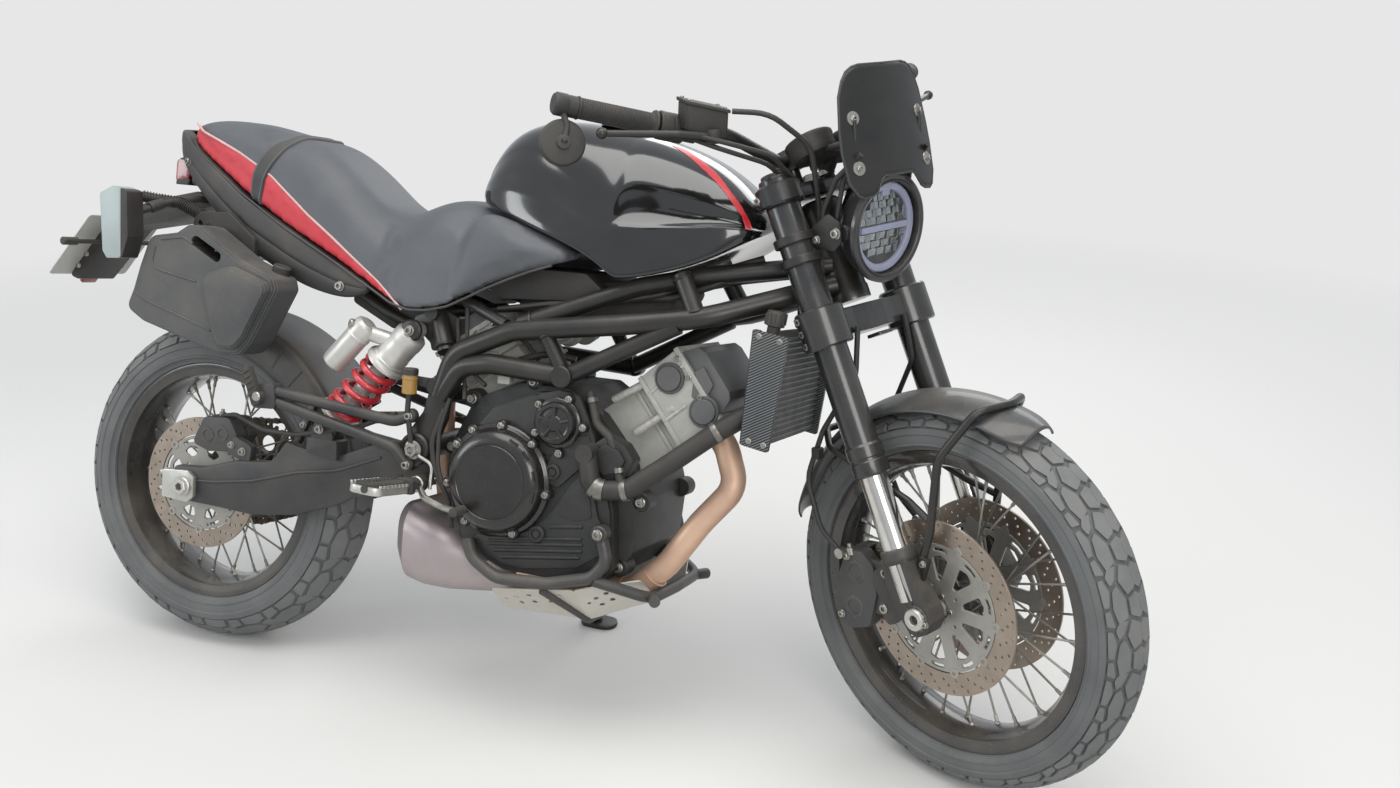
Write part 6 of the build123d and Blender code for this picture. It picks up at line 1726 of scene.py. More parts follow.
# a closed form blown up a little as filled cloth, no point moving further than the limit
def swollen(name, bm, matrix, voxel, limit, frames):
    mesh = bpy.data.meshes.new(name)
    bm.to_mesh(mesh)
    bm.free()
    mesh.transform(matrix)
    form = bpy.data.objects.new(name, mesh)
    bpy.context.scene.collection.objects.link(form)
    rounder = form.modifiers.new("rounder", "SUBSURF")
    rounder.levels = rounder.render_levels = 1
    remesh = form.modifiers.new("remesh", "REMESH")
    remesh.mode = "VOXEL"
    remesh.voxel_size = voxel
    bakeModifiers(form)
    before = [v.co.copy() for v in form.data.vertices]
    cloth = form.modifiers.new("filling", "CLOTH")
    cloth.settings.use_pressure = True
    cloth.settings.uniform_pressure_force = 4
    cloth.settings.quality = 4
    cloth.settings.effector_weights.gravity = 0
    cloth.point_cache.frame_start = 1
    cloth.point_cache.frame_end = frames
    for frameNow in range(1, frames + 1):
        bpy.context.scene.frame_set(frameNow)
    bakeModifiers(form)
    bpy.context.scene.frame_set(1)
    for vert, start in zip(form.data.vertices, before):
        moved = vert.co - start
        if moved.length > limit:
            vert.co = start + moved * (limit / moved.length)
    return form


seat = swollen("seatPad", bm, parked, 0.007, 0.006, 14)
upright = parked.inverted()
pipeLow = [(x, z) for x, y, z in pipingRoute]
seat.data.materials.clear()
seat.data.materials.append(finishes["seatVinyl"])
seat.data.materials.append(finishes["seatRed"])
for face in seat.data.polygons:
    spot = upright @ face.center
    onFlank = -100 < spot.x < 468 and spot.z < lineAt(pipeLow, spot.x) and abs(spot.y) > 30
    isRed = onFlank or spot.x < -84 and spot.z < 1010
    face.material_index = 1 if isRed else 0
seat.data.shade_smooth()
smoothed(1)(seat)
bakeModifiers(seat)
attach(seat, "chassis")
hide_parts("seat")

bm = newMesh()
for side in (-1, 1):
    route = [(x, side * (y + 2.5), z + 1) for x, y, z in pipingRoute]
    addTube(bm, route, 2.4, (60,) * 10, 8, 0)
    addTube(
        bm,
        [
            (
                x, side * (lineAt([(r[0], r[4]) for r in seatRows], x) + 1),
                lineAt([(r[0], r[5]) for r in seatRows], x) + 3,
            )
            for x in range(-80, 800, 40)
        ],
        2.2, (60,) * 20, 6, 1,
    )
makePiece("seatPiping", bm, ["pipingPale", "strapBlack"], ())


# flat band between two edge routes with as many points each, thickened outward
def addRibbon(bm, edges, thick, mat=0):
    first, second = [[Vector(p) for p in edge] for edge in edges]
    rings = []
    for i in range(len(first)):
        along = (first[min(i + 1, len(first) - 1)] - first[max(i - 1, 0)]).normalized()
        across = (second[i] - first[i]).normalized()
        out = along.cross(across).normalized() * thick
        inset = across * thick * 0.8
        rings.append(
            [
                bm.verts.new(p)
                for p in (first[i], first[i] + inset + out, second[i] - inset + out, second[i])
            ]
        )
    skinRings(bm, rings, mat)


strapRear = [
    (95, 121, 862), (97, 118, 885), (101, 114, 914), (115, 104, 948), (138, 76, 980), (164, 38, 997),
    (176, 0, 1002),
]
strapFront = [
    (123, 123, 854), (126, 120, 876), (132, 116, 902), (146, 106, 934), (168, 80, 968), (190, 40, 988),
    (202, 0, 994),
]
bm = newMesh()
stitchSpots = []
edges = []
for edge in (strapRear, strapFront):
    right = [(x, -(y + 3), z + 3) for x, y, z in edge]
    left = [(x, y + 3, z + 3) for x, y, z in reversed(edge[:-1])]
    edges.append(roundedRoute(right + left, (60,) * 12))
count = min(len(edges[0]), len(edges[1]))


# the same route as evenly spaced points
def resampled(route, count):
    lengths = [0]
    for a, b in zip(route, route[1:]):
        lengths.append(lengths[-1] + (b - a).length)
    spots, k = [], 0
    for i in range(count):
        want = lengths[-1] * i / (count - 1)
        while k < len(route) - 2 and lengths[k + 1] < want:
            k += 1
        share = (want - lengths[k]) / max(lengths[k + 1] - lengths[k], 1e-6)
        spots.append(route[k].lerp(route[k + 1], min(share, 1)))
    return spots


def laidOn(tree, spot, gap):
    near, normal, index, distance = tree.find_nearest(parked @ spot)
    return parked.inverted() @ (near + normal * gap), (parked.inverted().to_3x3() @ normal).normalized()


# the strap lies on the swollen cushion, whatever the cloth has made of it
cushion = BVHTree.FromPolygons(
    [v.co[:] for v in seat.data.vertices], [p.vertices[:] for p in seat.data.polygons],
)
edges = [[laidOn(cushion, spot, 0.0006)[0] for spot in resampled(edge, 60)] for edge in edges]
addRibbon(bm, (edges[1], edges[0]), 3.0, 0)
for inset in (0.14, 0.86):
    seam = resampled([a.lerp(b, inset) for a, b in zip(*edges)], 120)
    for i in range(0, 119):
        spot = seam[i].lerp(seam[i + 1], 0.5)
        out = laidOn(cushion, spot, 0)[1]
        stitchSpots.append((spot + out * 3.1, seam[i + 1] - seam[i], (1, 1, 1)))
stitch = bmesh.new()
addTurned(stitch, (0, 0, 0), (0, 0, 1), [(0, -1.9), (0.7, -1.2), (0.7, 1.2), (0, 1.9)], 6)
placeCopies(bm, stitch, stitchSpots, 1, finishes["threadGrey"])
makePiece("seatStrap", bm, ["strapBlack", "threadGrey"], ())
print("seat made")

# tail panel, rear frame, airbox
# x, half width, top and bottom of the panel, from the front of one side round the rear
tailColumns = [
    (387, 140, 742, 735), (376, 138, 748, 724), (335, 135, 767, 714), (282, 132, 791, 720),
    (228, 129, 815, 732),
    (161, 124, 848, 760), (108, 119, 871, 785), (84, 116, 884, 799), (48, 111, 907, 824),
    (-3, 100, 938, 860),
    (-57, 82, 970, 901), (-99, 60, 994, 930), (-124, 38, 1002, 955), (-138, 16, 1004, 972),
]
path = [(x, -y, a, b) for x, y, a, b in tailColumns] + [(-142, 0, 1004, 976)] + [
    (x, y, a, b)
    for x, y, a, b in reversed(tailColumns)
]
bm = newMesh()
rows = []
for share, inset in (
    (0, 30), (0, 3), (0.04, 0), (0.25, -1), (0.5, -1), (0.53, 2.5), (0.57, 0), (0.8, 1), (0.95, 5), (1, 9),
    (1.0, 16),
):
    row = []
    for x, y, top, bottom in path:
        span = max(abs(y), 1)
        shift = inset if abs(y) > 20 else 0
        row.append(
            bm.verts.new(
                (
                    x + (inset if abs(y) <= 20 else 0), y - shift * (1 if y > 0 else -1) * (abs(y) > 20),
                    top + (bottom - top) * share + (4 if inset == 16 else 0),
                )
            )
        )
    rows.append(row)
for a, b in zip(rows, rows[1:]):
    for k in range(len(path) - 1):
        face = bm.faces.new((a[k], a[k + 1], b[k + 1], b[k]))
        face.smooth = True
bmesh.ops.recalc_face_normals(bm, faces=bm.faces)


def thickened(thick, levels=1):
    def finish(piece):
        smoothed(levels)(piece)
        modifier = piece.modifiers.new("wall", "SOLIDIFY")
        modifier.thickness = thick
        modifier.offset = 0
    return finish


makePiece("tailPanel", bm, ["tailPlastic"], ["tail_panel"], 180, thickened(0.003, 2))
for side in (-1, 1):
    boltSpots.append(((-76, side * 72, 941), (-0.35, side * 0.93, 0.1), 1.3))
    boltSpots.append(((326, side * 135, 736), (0, side, 0), 1.5))

bm = newMesh()
for side in (-1, 1):
    addTube(
        bm, [(530, side * 96, 704), (300, side * 96, 770), (60, side * 84, 868), (-70, side * 56, 908)], 11,
        (200, 200), 18, 0,
    )
    addTube(bm, [(534, side * 80, 650), (400, side * 80, 690), (150, side * 88, 831)], 9, (200,), 16, 0)
    addTube(
        bm, [(672, side * 138, 700), (600, side * 118, 724), (540, side * 100, 742), (480, side * 98, 762)],
        10, (80, 80), 16, 0,
    )
for x, z, half in ((300, 770, 96), (60, 868, 84), (-60, 904, 58)):
    addTube(bm, [(x, -half, z), (x, half, z)], 9, (), 16, 0)
makePiece("rearFrame", bm, ["frameBlack"], ["rear_frame"])

bm = newMesh()
addSlab(
    bm, [(650, 735), (700, 765), (930, 792), (962, 780), (940, 735), (860, 718), (760, 714), (690, 708)],
    10, -66, 66, 8,
)
addSlab(bm, [(310, 706), (330, 756), (460, 764), (480, 720), (470, 664), (400, 664)], 12, -72, 72, 8)
addSlab(bm, [(590, 770), (620, 800), (800, 800), (840, 770), (800, 752), (640, 742)], 10, -104, 104, 6)
for x in (690, 742):
    for side in (-1, 1):
        addTurned(
            bm, (x, side * 24, 690), (0, side, 0.25),
            [(0, 0), (25, 0), (27, 3), (27, 30), (24, 32), (24, 44), (20, 46), (0, 46)], 32, 1,
        )
# loom and cables under the tank and behind the seat tube
for points, radius in (
    ([(980, -70, 800), (940, -96, 776), (840, -110, 752), (740, -120, 742), (640, -112, 724)], 5),
    ([(1090, -64, 838), (1030, -84, 800), (960, -88, 772), (860, -92, 760)], 6),
    ([(1100, -40, 850), (1040, -60, 826), (900, -66, 790), (760, -60, 775)], 8),
    ([(600, -108, 730), (640, -118, 700), (700, -112, 672), (720, -100, 640)], 4),
    ([(560, -112, 700), (570, -120, 640), (590, -126, 590), (600, -140, 560)], 4),
    ([(582, -118, 720), (590, -126, 660), (604, -132, 610), (640, -140, 590)], 4),
    ([(566, -148, 540), (548, -156, 480), (560, -158, 430), (590, -156, 380), (596, -150, 330)], 5),
    ([(574, -146, 560), (560, -152, 500), (566, -160, 440), (580, -158, 400)], 4),
    ([(640, -100, 610), (690, -108, 640), (740, -104, 655), (790, -96, 650)], 6),
):
    addTube(bm, points, radius, (60,) * (len(points) - 2), 10, 2)
for x, y, z in ((668, -112, 604), (706, -106, 616), (640, -118, 640), (736, -110, 632)):
    addSlab(bm, rectangle(x - 12, x + 12, z - 9, z + 9), 3, y, y - 16, 2, 1)
makePiece("airbox", bm, ["mouldBlack", "headAlloy", "hoseRubber"], ["airbox"])
print("tail, airbox and looms made")

# shock with its bottle and spring
shockTop = Vector((483, -122, 671))
shockFoot = Vector((306, -122, 471))
shockWay = (shockFoot - shockTop).normalized()
shockLength = (shockFoot - shockTop).length
springSizes = {"coil": 31, "wire": 6.4, "from": 92, "turns": 5.2}
bottleFrom = shockTop + shockWay * 60 + Vector((-68 * 0.749, -20, 68 * 0.663))
bm = newMesh()
cup = springSizes["coil"] + 8.5
addTurned(
    bm, shockTop, shockWay,
    [
        (0, 8), (24, 8), (29, 12), (30, 20), (30, 30), (29, 33), (29, 60), (30, 62), (30, 74), (33, 76),
        (33, 80), (cup - 1, 83), (cup, 85), (cup, 90), (cup - 3, 92), (18, 92), (16, 94),
        (16, shockLength - 46), (0, shockLength - 46),
    ],
    48, 0,
)
addTurned(
    bm, shockTop, shockWay,
    [
        (10, shockLength - 50), (cup - 4, shockLength - 44), (cup, shockLength - 42),
        (cup, shockLength - 36), (22, shockLength - 33), (12, shockLength - 26), (10, shockLength - 8),
        (0, shockLength - 8),
    ],
    48, 0,
)
for eyeSpot in (shockTop, shockFoot):
    addTurned(
        bm, eyeSpot + Vector((0, 9.8, 0)), (0, -1, 0),
        [(6.3, 0), (15, 0), (16, 1), (16, 18.6), (15, 19.6), (6.3, 19.6)], 32, 0, closed=True,
    )
addTurned(
    bm, bottleFrom, shockWay,
    [
        (0, -6), (15, -6), (21, -2), (23, 3), (23, 22), (24, 23), (24, 27), (23, 28), (23, 96), (22, 100),
        (17, 104), (10, 106), (0, 106),
    ],
    44, 0,
)
bridge = shockTop + shockWay * 38
addTube(bm, [bridge, bottleFrom + shockWay * 14], 14, (), 24, 0)
addTurned(
    bm, bottleFrom + shockWay * 8, (-0.6, -0.7, 0.35),
    [(0, 16), (8, 18), (8, 27), (6.5, 29), (3, 29), (2.6, 26), (0, 26)], 20, 1,
)
makePiece("shockBody", bm, ["shockAlloy", "boltSteel"], ["shock_body"])

bm = newMesh()
across = shockWay.orthogonal().normalized()
other = shockWay.cross(across)
height = shockLength - 44 - springSizes["from"] - 2 * springSizes["wire"]
coilPoints = []
turnSteps = int(springSizes["turns"] * 32)
for k in range(turnSteps + 1):
    share = k / turnSteps
    angle = 2 * pi * springSizes["turns"] * share
    # the end turns lie closer
    along = springSizes["from"] + springSizes["wire"] + height * (share - 0.055 * sin(2 * pi * share))
    coilPoints.append(
        shockTop + shockWay * along + (across * cos(angle) + other * sin(angle)) * springSizes["coil"]
    )
addTube(bm, coilPoints, springSizes["wire"], (), 14, 0)
makePiece("shockSpring", bm, ["springRed"], ["shock_spring"])

bm = newMesh()
addSlab(
    bm, [(466, 682), (474, 696), (528, 716), (560, 700), (556, 640), (510, 636), (506, 650)], 6, -101, -111,
    2,
)
addTurned(
    bm, shockTop + Vector((0, 14, 0)), (0, -1, 0),
    [(0, 0), (6, 0), (6, 24), (15, 24), (20, 26), (20, 32), (17, 35), (11, 36), (0, 36)], 36, 0,
)
headBolt(shockTop.x, shockTop.y - 22, shockTop.z, 1.5)
headBolt(shockFoot.x, shockFoot.y - 24, shockFoot.z, 1.4)
makePiece("shockMount", bm, ["frameBlack"], ["shock_bracket"])

# swingarm with its axle blocks
beamSide = [
    (-34, 290), (-34, 356), (30, 360), (110, 384), (190, 392), (222, 436), (246, 430), (330, 420),
    (430, 462),
    (534, 478), (534, 436), (430, 386), (340, 330), (250, 298), (150, 284), (60, 288),
]
bm = newMesh()
for side in (-1, 1):
    addPlate(
        bm, roundCorners(beamSide, [8, 8, 60, 60, 24, 12, 20, 80, 80, 10, 10, 80, 120, 120, 120, 80], 6),
        side * 104, side * 130, 6, 0,
    )
    addTube(
        bm,
        [
            (x, side * 130, z)
            for x, z in ((-20, 330), (60, 336), (150, 350), (250, 380), (340, 396), (430, 432))
        ],
        3, (120,) * 4, 8, 0,
    )
addSlab(bm, [(350, 350), (350, 400), (418, 425), (424, 385)], 10, -106, 106, 3)
addTurned(bm, (510, -130, 460), (0, 1, 0), rectangle(12.3, 20, 0, 260), 32, 0, closed=True)
addSlab(bm, [(274, 424), (276, 452), (340, 452), (342, 414)], 5, -104, -140, 2)
for y in (-104, -132):
    addSlab(bm, [(280, 450), (290, 484), (322, 484), (334, 450)], 8, y, y - 8, 1.5)
addTube(bm, [(306, -106, 471), (306, -144, 471)], 6, (), 16, 1)
makePiece("swingarm", bm, ["swingBlack", "boltSteel"], ["swingarm"])

bm = newMesh()
for side in (-1, 1):
    addSlab(
        bm, [(-52, 294), (-52, 348), (8, 352), (22, 340), (22, 302), (8, 290)], 5, side * 130.2, side * 140,
        2.5,
    )
    addTurned(
        bm, (0, side * 139, rearAxle.z), (0, side, 0), [(8, 0), (19, 0), (19, 8), (17, 10), (8, 10)], 40, 0,
        closed=True,
    )
    addTurned(
        bm, (0, side * 146, rearAxle.z), (0, side, 0), [(8, 0), (15, 0), (15, 7), (13.5, 8.5), (8, 8.5)], 6,
        0, closed=True,
    )
    for z in (306, 338):
        addTube(bm, [(-70, side * 120, z), (-30, side * 120, z)], 5, (), 12, 0)
        addTurned(bm, (-62, side * 120, z), (1, 0, 0), rectangle(0, 9, 0, 8), 6, 0)
    addSlab(bm, [(-52, 298), (-52, 346), (-44, 346), (-44, 298)], 2, side * 106, side * 138, 1.5)
addTurned(bm, (0, -140, rearAxle.z), (0, 1, 0), rectangle(8, 12, 0, 280), 28, 0, closed=True)
makePiece("rearAxle", bm, ["bareAlloy"], ["rear_axle"])
print("shock and swingarm made")

# rear caliper over its disc, with the reservoir behind the frame plate
discY = -88.25
bm = newMesh()
brakeSide = roundCorners([(0, 404), (26, 458), (84, 462), (106, 428), (86, 398), (40, 392)], 12)
for yFrom, yTo in ((discY - 34, discY - 4), (discY + 4, discY + 30)):
    addPlate(bm, brakeSide, yFrom, yTo, 5, 0)
addSlab(bm, [(24, 452), (30, 460), (82, 463), (98, 442), (84, 445)], 3, discY - 8, discY + 8, 2)
for x, z in ((36, 424), (70, 430)):
    addTurned(
        bm, (x, discY - 33, z), (0, -1, 0), [(0, 0), (15, 0), (14, 2.4), (9, 2.8), (8.4, 1.4), (0, 1.4)],
        32, 0,
    )
addTurned(
    bm, (54, discY - 14, 461), (0, 0, 1), [(0, 0), (6, 0), (6, 7), (3.4, 8), (3.4, 13), (0, 13)], 20, 1,
)
addSlab(bm, [(84, 396), (100, 430), (142, 414), (138, 378)], 8, -108, -126, 3)
headBolt(122, -126, 402, 1.3)
headBolt(96, -126, 412, 1.1)
addTube(
    bm,
    [
        (60, -110, 462), (96, -118, 470), (160, -118, 448), (250, -136, 452), (390, -140, 486),
        (470, -150, 520),
    ],
    4.4, (20, 40, 60, 80), 14, 2,
)
reservoir = [(0, 0), (12, 0), (13.4, 2), (13.4, 26), (14.4, 27), (14.4, 29), (13.4, 30), (13.4, 34)]
addTurned(bm, (498, -158, 560), (0, 0, 1), reservoir + [(0, 34)], 32, 3)
addTurned(bm, (498, -158, 594), (0, 0, 1), stud(14.6, 10, 13, 12), 32, 2)
addTube(bm, [(498, -158, 562), (498, -160, 530), (506, -154, 470)], 5, (24,), 14, 2)
addSlab(bm, [(490, 576), (490, 592), (548, 590), (552, 570)], 5, -139, -143, 1.2)
makePiece(
    "rearBrake", bm, ["caliperGrey", "boltSteel", "hoseRubber", "fluidAmber"], ["rear_brake"],
)

# inner guard over the rear tyre: a skin with side walls, pressed ribs and the chain guard
bm = newMesh()
hugger = {"from": 32, "sweep": 60, "steps": 24, "radius": 340, "half": 88, "ribs": (48, 58, 68, 78)}
rows = []
for step in range(hugger["steps"] + 1):
    angle = radians(hugger["from"] + hugger["sweep"] * step / hugger["steps"])
    deep = lineAt([(32, 46), (36, 66), (46, 70), (62, 70), (80, 66), (92, 26)], degrees(angle))
    row = []
    skirt = [
        (hugger["half"], deep), (hugger["half"], deep * 0.5), (hugger["half"], 10), (84, 2), (76, 0),
        (40, -1),
    ]
    for y, drop in [(-y, drop) for y, drop in skirt] + [(0, -2)] + skirt[::-1]:
        r = hugger["radius"] - drop
        row.append(bm.verts.new((r * cos(angle), y, rearAxle.z + r * sin(angle))))
    rows.append(row)
skinRows(bm, rows)
makePiece("rearHugger", bm, ["guardBlack"], ["rear_hugger"], 40, thickened(0.004))
bm = newMesh()
for side in (-1, 1):
    for angle in hugger["ribs"]:
        ways = (cos(radians(angle)), sin(radians(angle)))
        ends = [(r * ways[0], side * (hugger["half"] + 1), rearAxle.z + r * ways[1]) for r in (286, 328)]
        addTube(bm, ends, 3, (), 10, 0)
addSlab(bm, [(214, 424), (226, 424), (262, 506), (250, 510)], 3, -100, -86, 2)
addSlab(bm, [(214, 466), (226, 468), (262, 506), (250, 510)], 3, 82, 90, 2)
addSlab(bm, [(92, 449), (92, 455), (330, 485), (334, 479)], 2, 76, 103, 1)
addSlab(bm, [(92, 428), (92, 453), (330, 483), (334, 462)], 6, 100, 103, 0.8)
headBolt(238, -100, 466, 1.1)
makePiece("huggerStays", bm, ["guardBlack"], ())

def ovalPeg(half, end, bend):
    return roundCorners(rectangle(-half, half, -end, end), bend, 6)


# pegs, hangers and foot levers; tray and pad as half width, half length and corner radius
peg = {"tray": (31, 49, 22), "pad": (24, 43, 18), "teeth": 8, "first": -35, "pitch": 10, "rimHalf": 28.5}
bm = newMesh()
for side in (-1, 1):
    out = side * 144
    addTube(
        bm, [(500, out + side * 8, 520), (476, out + side * 20, 508), (228, side * 190, 538)], 10, (30,),
        20, 0,
    )
    addTube(
        bm, [(498, out + side * 8, 432), (476, out + side * 20, 462), (228, side * 190, 520)], 10, (30,),
        20, 0,
    )
    addSlab(bm, [(196, 502), (188, 544), (242, 553), (246, 505)], 8, side * 180, side * 200, 3)
    addTurned(bm, (214, side * 176, 526), (0, side, 0), stud(9, 38, 7, 40), 24, 1)
    for z in (512, 424):
        addTurned(bm, (500, side * 144, z + 8), (0, side, 0), stud(13, 12, 11, 15), 28, 0)
        headBolt(500, side * 158, z + 8, 1.3)
    # front peg: a stub, an eye with its pin, and the ribbed peg with its upturned tip
    addTube(bm, [(534, out - side * 2, 408), (534, side * 214, 404)], 11, (), 22, 0)
    addSlab(bm, [(516, 392), (516, 420), (552, 420), (552, 392)], 6, side * 204, side * 216, 2)
    addTurned(bm, (534, side * 208, 392), (0, 0, 1), rectangle(0, 8, 0, 28), 20, 1)
    pegPath = [Vector((522, side * 214, 405)), Vector((518, side * 314, 412))]
    addTube(bm, pegPath, 7, (), 18, 0)
    # pale alloy tray with a toothed rim round a ribbed pad
    pegFore = Vector((1, 0, -0.06)).normalized()
    pegOut = Vector((-0.1, side, 0.06)).normalized()
    pegUp = pegFore.cross(pegOut).normalized() * side
    pegMiddle = Vector((516, side * 265, 400))
    addPrism(bm, ovalPeg(*peg["tray"]), (pegMiddle, pegFore, pegOut, pegUp), 14, 2, 3)
    addPrism(bm, ovalPeg(*peg["pad"]), (pegMiddle + pegUp * 13, pegFore, pegOut, pegUp), 6, 1.5, 2)
    for k in range(peg["teeth"]):
        along = peg["first"] + k * peg["pitch"]
        for edge in (-1, 1):
            tooth = pegMiddle + pegFore * edge * peg["rimHalf"] + pegOut * along + pegUp * 13
            addPrism(bm, oblong(2.6, 2.6), (tooth, pegFore, pegOut, pegUp), 5, 0.8, 3)
        for edge in (-1, 1):
            rib = pegMiddle + pegUp * 19 + pegOut * along
            addTube(bm, [rib + pegFore * edge * 3, rib + pegFore * edge * 18 - pegOut * 6], 1.8, (), 8, 2)
    # folded pillion peg, its rubber pointing up and back
    fold = [(204, 506), (176, 574), (192, 582), (222, 514)]
    addSlab(bm, fold, 5, side * 198, side * 212, 3, 2)
    for k in range(5):
        share = 0.3 + 0.14 * k
        low, high = Vector((204, 0, 506)).lerp(
            Vector((176, 0, 574)), share,
        ), Vector((222, 0, 514)).lerp(Vector((192, 0, 582)), share)
        addTube(bm, [low + Vector((2, side * 212, 0)), high + Vector((-2, side * 212, 0))], 1.8, (), 8, 2)
makePiece(
    "pegHangers", bm, ["swingBlack", "boltSteel", "gripRubber", "bareAlloy"], ["peg_hangers"],
)

bm = newMesh()
for side in (-1, 1):
    addTube(
        bm,
        [(534, side * 168, 404), (560, side * 190, 386), (606, side * 200, 376), (640, side * 212, 376)], 6,
        (20, 30), 16, 0,
    )
    addTurned(bm, (534, side * 158, 404), (0, side, 0), stud(15, 18, 13, 20), 28, 0)
    ridged = [(6, 0)]
    for k in range(9):
        ridged += [(8, 0.5 + k * 4), (8, 2.5 + k * 4), (6.8, 3 + k * 4), (6.8, 4 + k * 4)]
    addTurned(bm, (640, side * 190, 376), (0, side, 0), ridged + [(8, 36.5), (6, 37)], 24, 1)
addTube(bm, [(560, -172, 398), (556, -160, 440), (520, -154, 452)], 3.4, (20,), 12, 0)
addTube(bm, [(560, 186, 392), (600, 170, 420), (640, 160, 430)], 3.4, (20,), 12, 0)
makePiece("footLevers", bm, ["boltSteel", "gripRubber"], ["foot_levers"])
print("pegs made")

# rear sprocket with its teeth, and a linked chain
chainY, chainR, driveR = 89, 106, 40
driveAt = Vector((620, chainY, 468))
sprocket = {"teeth": 42, "root": 98, "tip": 105, "bore": 18.2, "windows": 6, "screwRing": 42}
bm = newMesh()
toothLoop = []
for k in range(sprocket["teeth"]):
    for part, radius in (
        (-0.3, sprocket["root"]), (-0.13, sprocket["tip"]), (0.13, sprocket["tip"]),
        (0.3, sprocket["root"]),
    ):
        angle = 2 * pi * (k + part) / sprocket["teeth"]
        toothLoop.append((radius * cos(angle), radius * sin(angle)))
loops = [toothLoop, circlePoints(0, 0, sprocket["bore"], 32)]
for k in range(sprocket["windows"]):
    at = radians(60 * k + 12)
    loops.append(circlePoints(64 * cos(at), 64 * sin(at), 17, 24))
    loops.append(circlePoints(84 * cos(at + pi / 6), 84 * sin(at + pi / 6), 6, 16))
addCutout(
    bm, loops,
    (Vector((0, chainY - 3, rearAxle.z)), Vector((1, 0, 0)), Vector((0, 0, 1)), Vector((0, 1, 0))), 6, 0.6,
    0,
)
addTurned(
    bm, (0, chainY - 20, rearAxle.z), (0, 1, 0), rectangle(sprocket["bore"], 50, 0, 17), 48, 1, closed=True,
)
for k in range(sprocket["windows"]):
    at = radians(60 * k + 42)
    addTurned(
        bm, (sprocket["screwRing"] * cos(at), chainY + 2.6, rearAxle.z + sprocket["screwRing"] * sin(at)),
        (0, 1, 0), stud(8, 5, 6.6, 6), 6, 2,
    )
makePiece(
    "rearSprocket", bm, ["chainSteel", "hubGrey", "boltSteel"], ["rear_sprocket"],
    body="rear_wheel",
)

axleAt = Vector((0, chainY, rearAxle.z))
reach = driveAt - axleAt
lift = atan2(reach.z, reach.x)
spread = asin((chainR - driveR) / reach.length)
links = 112


# place and way of the chain at a share of its loop: top run, front wrap, low run, rear wrap
def chainPoint(along):
    run = reach.length * cos(spread)
    wraps = (driveR * (pi - 2 * spread), chainR * (pi + 2 * spread))
    left = along * (2 * run + sum(wraps))
    for leg, size in enumerate((run, wraps[0], run, wraps[1])):
        if left <= size:
            break
        left -= size
    high, low = lift + pi / 2 - spread, lift - pi / 2 + spread
    high = lift + (pi / 2 + spread)
    low = lift - (pi / 2 + spread)
    top = [
        axleAt + Vector((cos(high), 0, sin(high))) * chainR,
        driveAt + Vector((cos(high), 0, sin(high))) * driveR,
    ]
    base = [
        driveAt + Vector((cos(low), 0, sin(low))) * driveR,
        axleAt + Vector((cos(low), 0, sin(low))) * chainR,
    ]
    if leg == 0:
        return top[0].lerp(top[1], left / size), (top[1] - top[0]).normalized()
    if leg == 2:
        return base[0].lerp(base[1], left / size), (base[1] - base[0]).normalized()
    hub, radius, start = (driveAt, driveR, high) if leg == 1 else (axleAt, chainR, low)
    angle = start - left / radius
    out = Vector((cos(angle), 0, sin(angle)))
    return hub + out * radius, Vector((sin(angle), 0, -cos(angle)))


half = 7.9
plateLoop = [(half + 5.4 * cos(radians(a)), 5.9 * sin(radians(a))) for a in range(-80, 81, 20)]
plateLoop += [(0, 4.4)]
plateLoop += [(-half + 5.4 * cos(radians(a)), 5.9 * sin(radians(a))) for a in range(100, 261, 20)]
plateLoop += [(0, -4.4)]
flat = (Vector((0, 0, 0)), Vector((0, 0, 1)), Vector((0, 1, 0)), Vector((1, 0, 0)))
outerLink, innerLink = bmesh.new(), bmesh.new()
for target, gaps in ((outerLink, (7.4, -8.9)), (innerLink, (5.4, -6.9))):
    for gap in gaps:
        addPrism(target, plateLoop, (Vector((gap, 0, 0)),) + flat[1:], 1.5, 0, 0)
for u in (-half, half):
    addTurned(outerLink, (-9.8, 0, u), (1, 0, 0), rectangle(0, 2.4, 0, 19.6), 10)
    addTurned(innerLink, (-5.4, 0, u), (1, 0, 0), rectangle(0, 5, 0, 10.8), 14)
bm = newMesh()
for template, first in ((outerLink, 0), (innerLink, 1)):
    spots = []
    for k in range(first, links, 2):
        spot, way = chainPoint((k + 0.5) / links)
        side = Vector((0, 1, 0))
        turn = Matrix((side, way.cross(side), way)).transposed().to_euler()
        spots.append((tuple(spot), turn, (1, 1, 1)))
    placeCopies(bm, template, spots, 0, finishes["chainSteel"])
makePiece("driveChain", bm, ["chainSteel"], ["drive_chain"])
print("chain made")

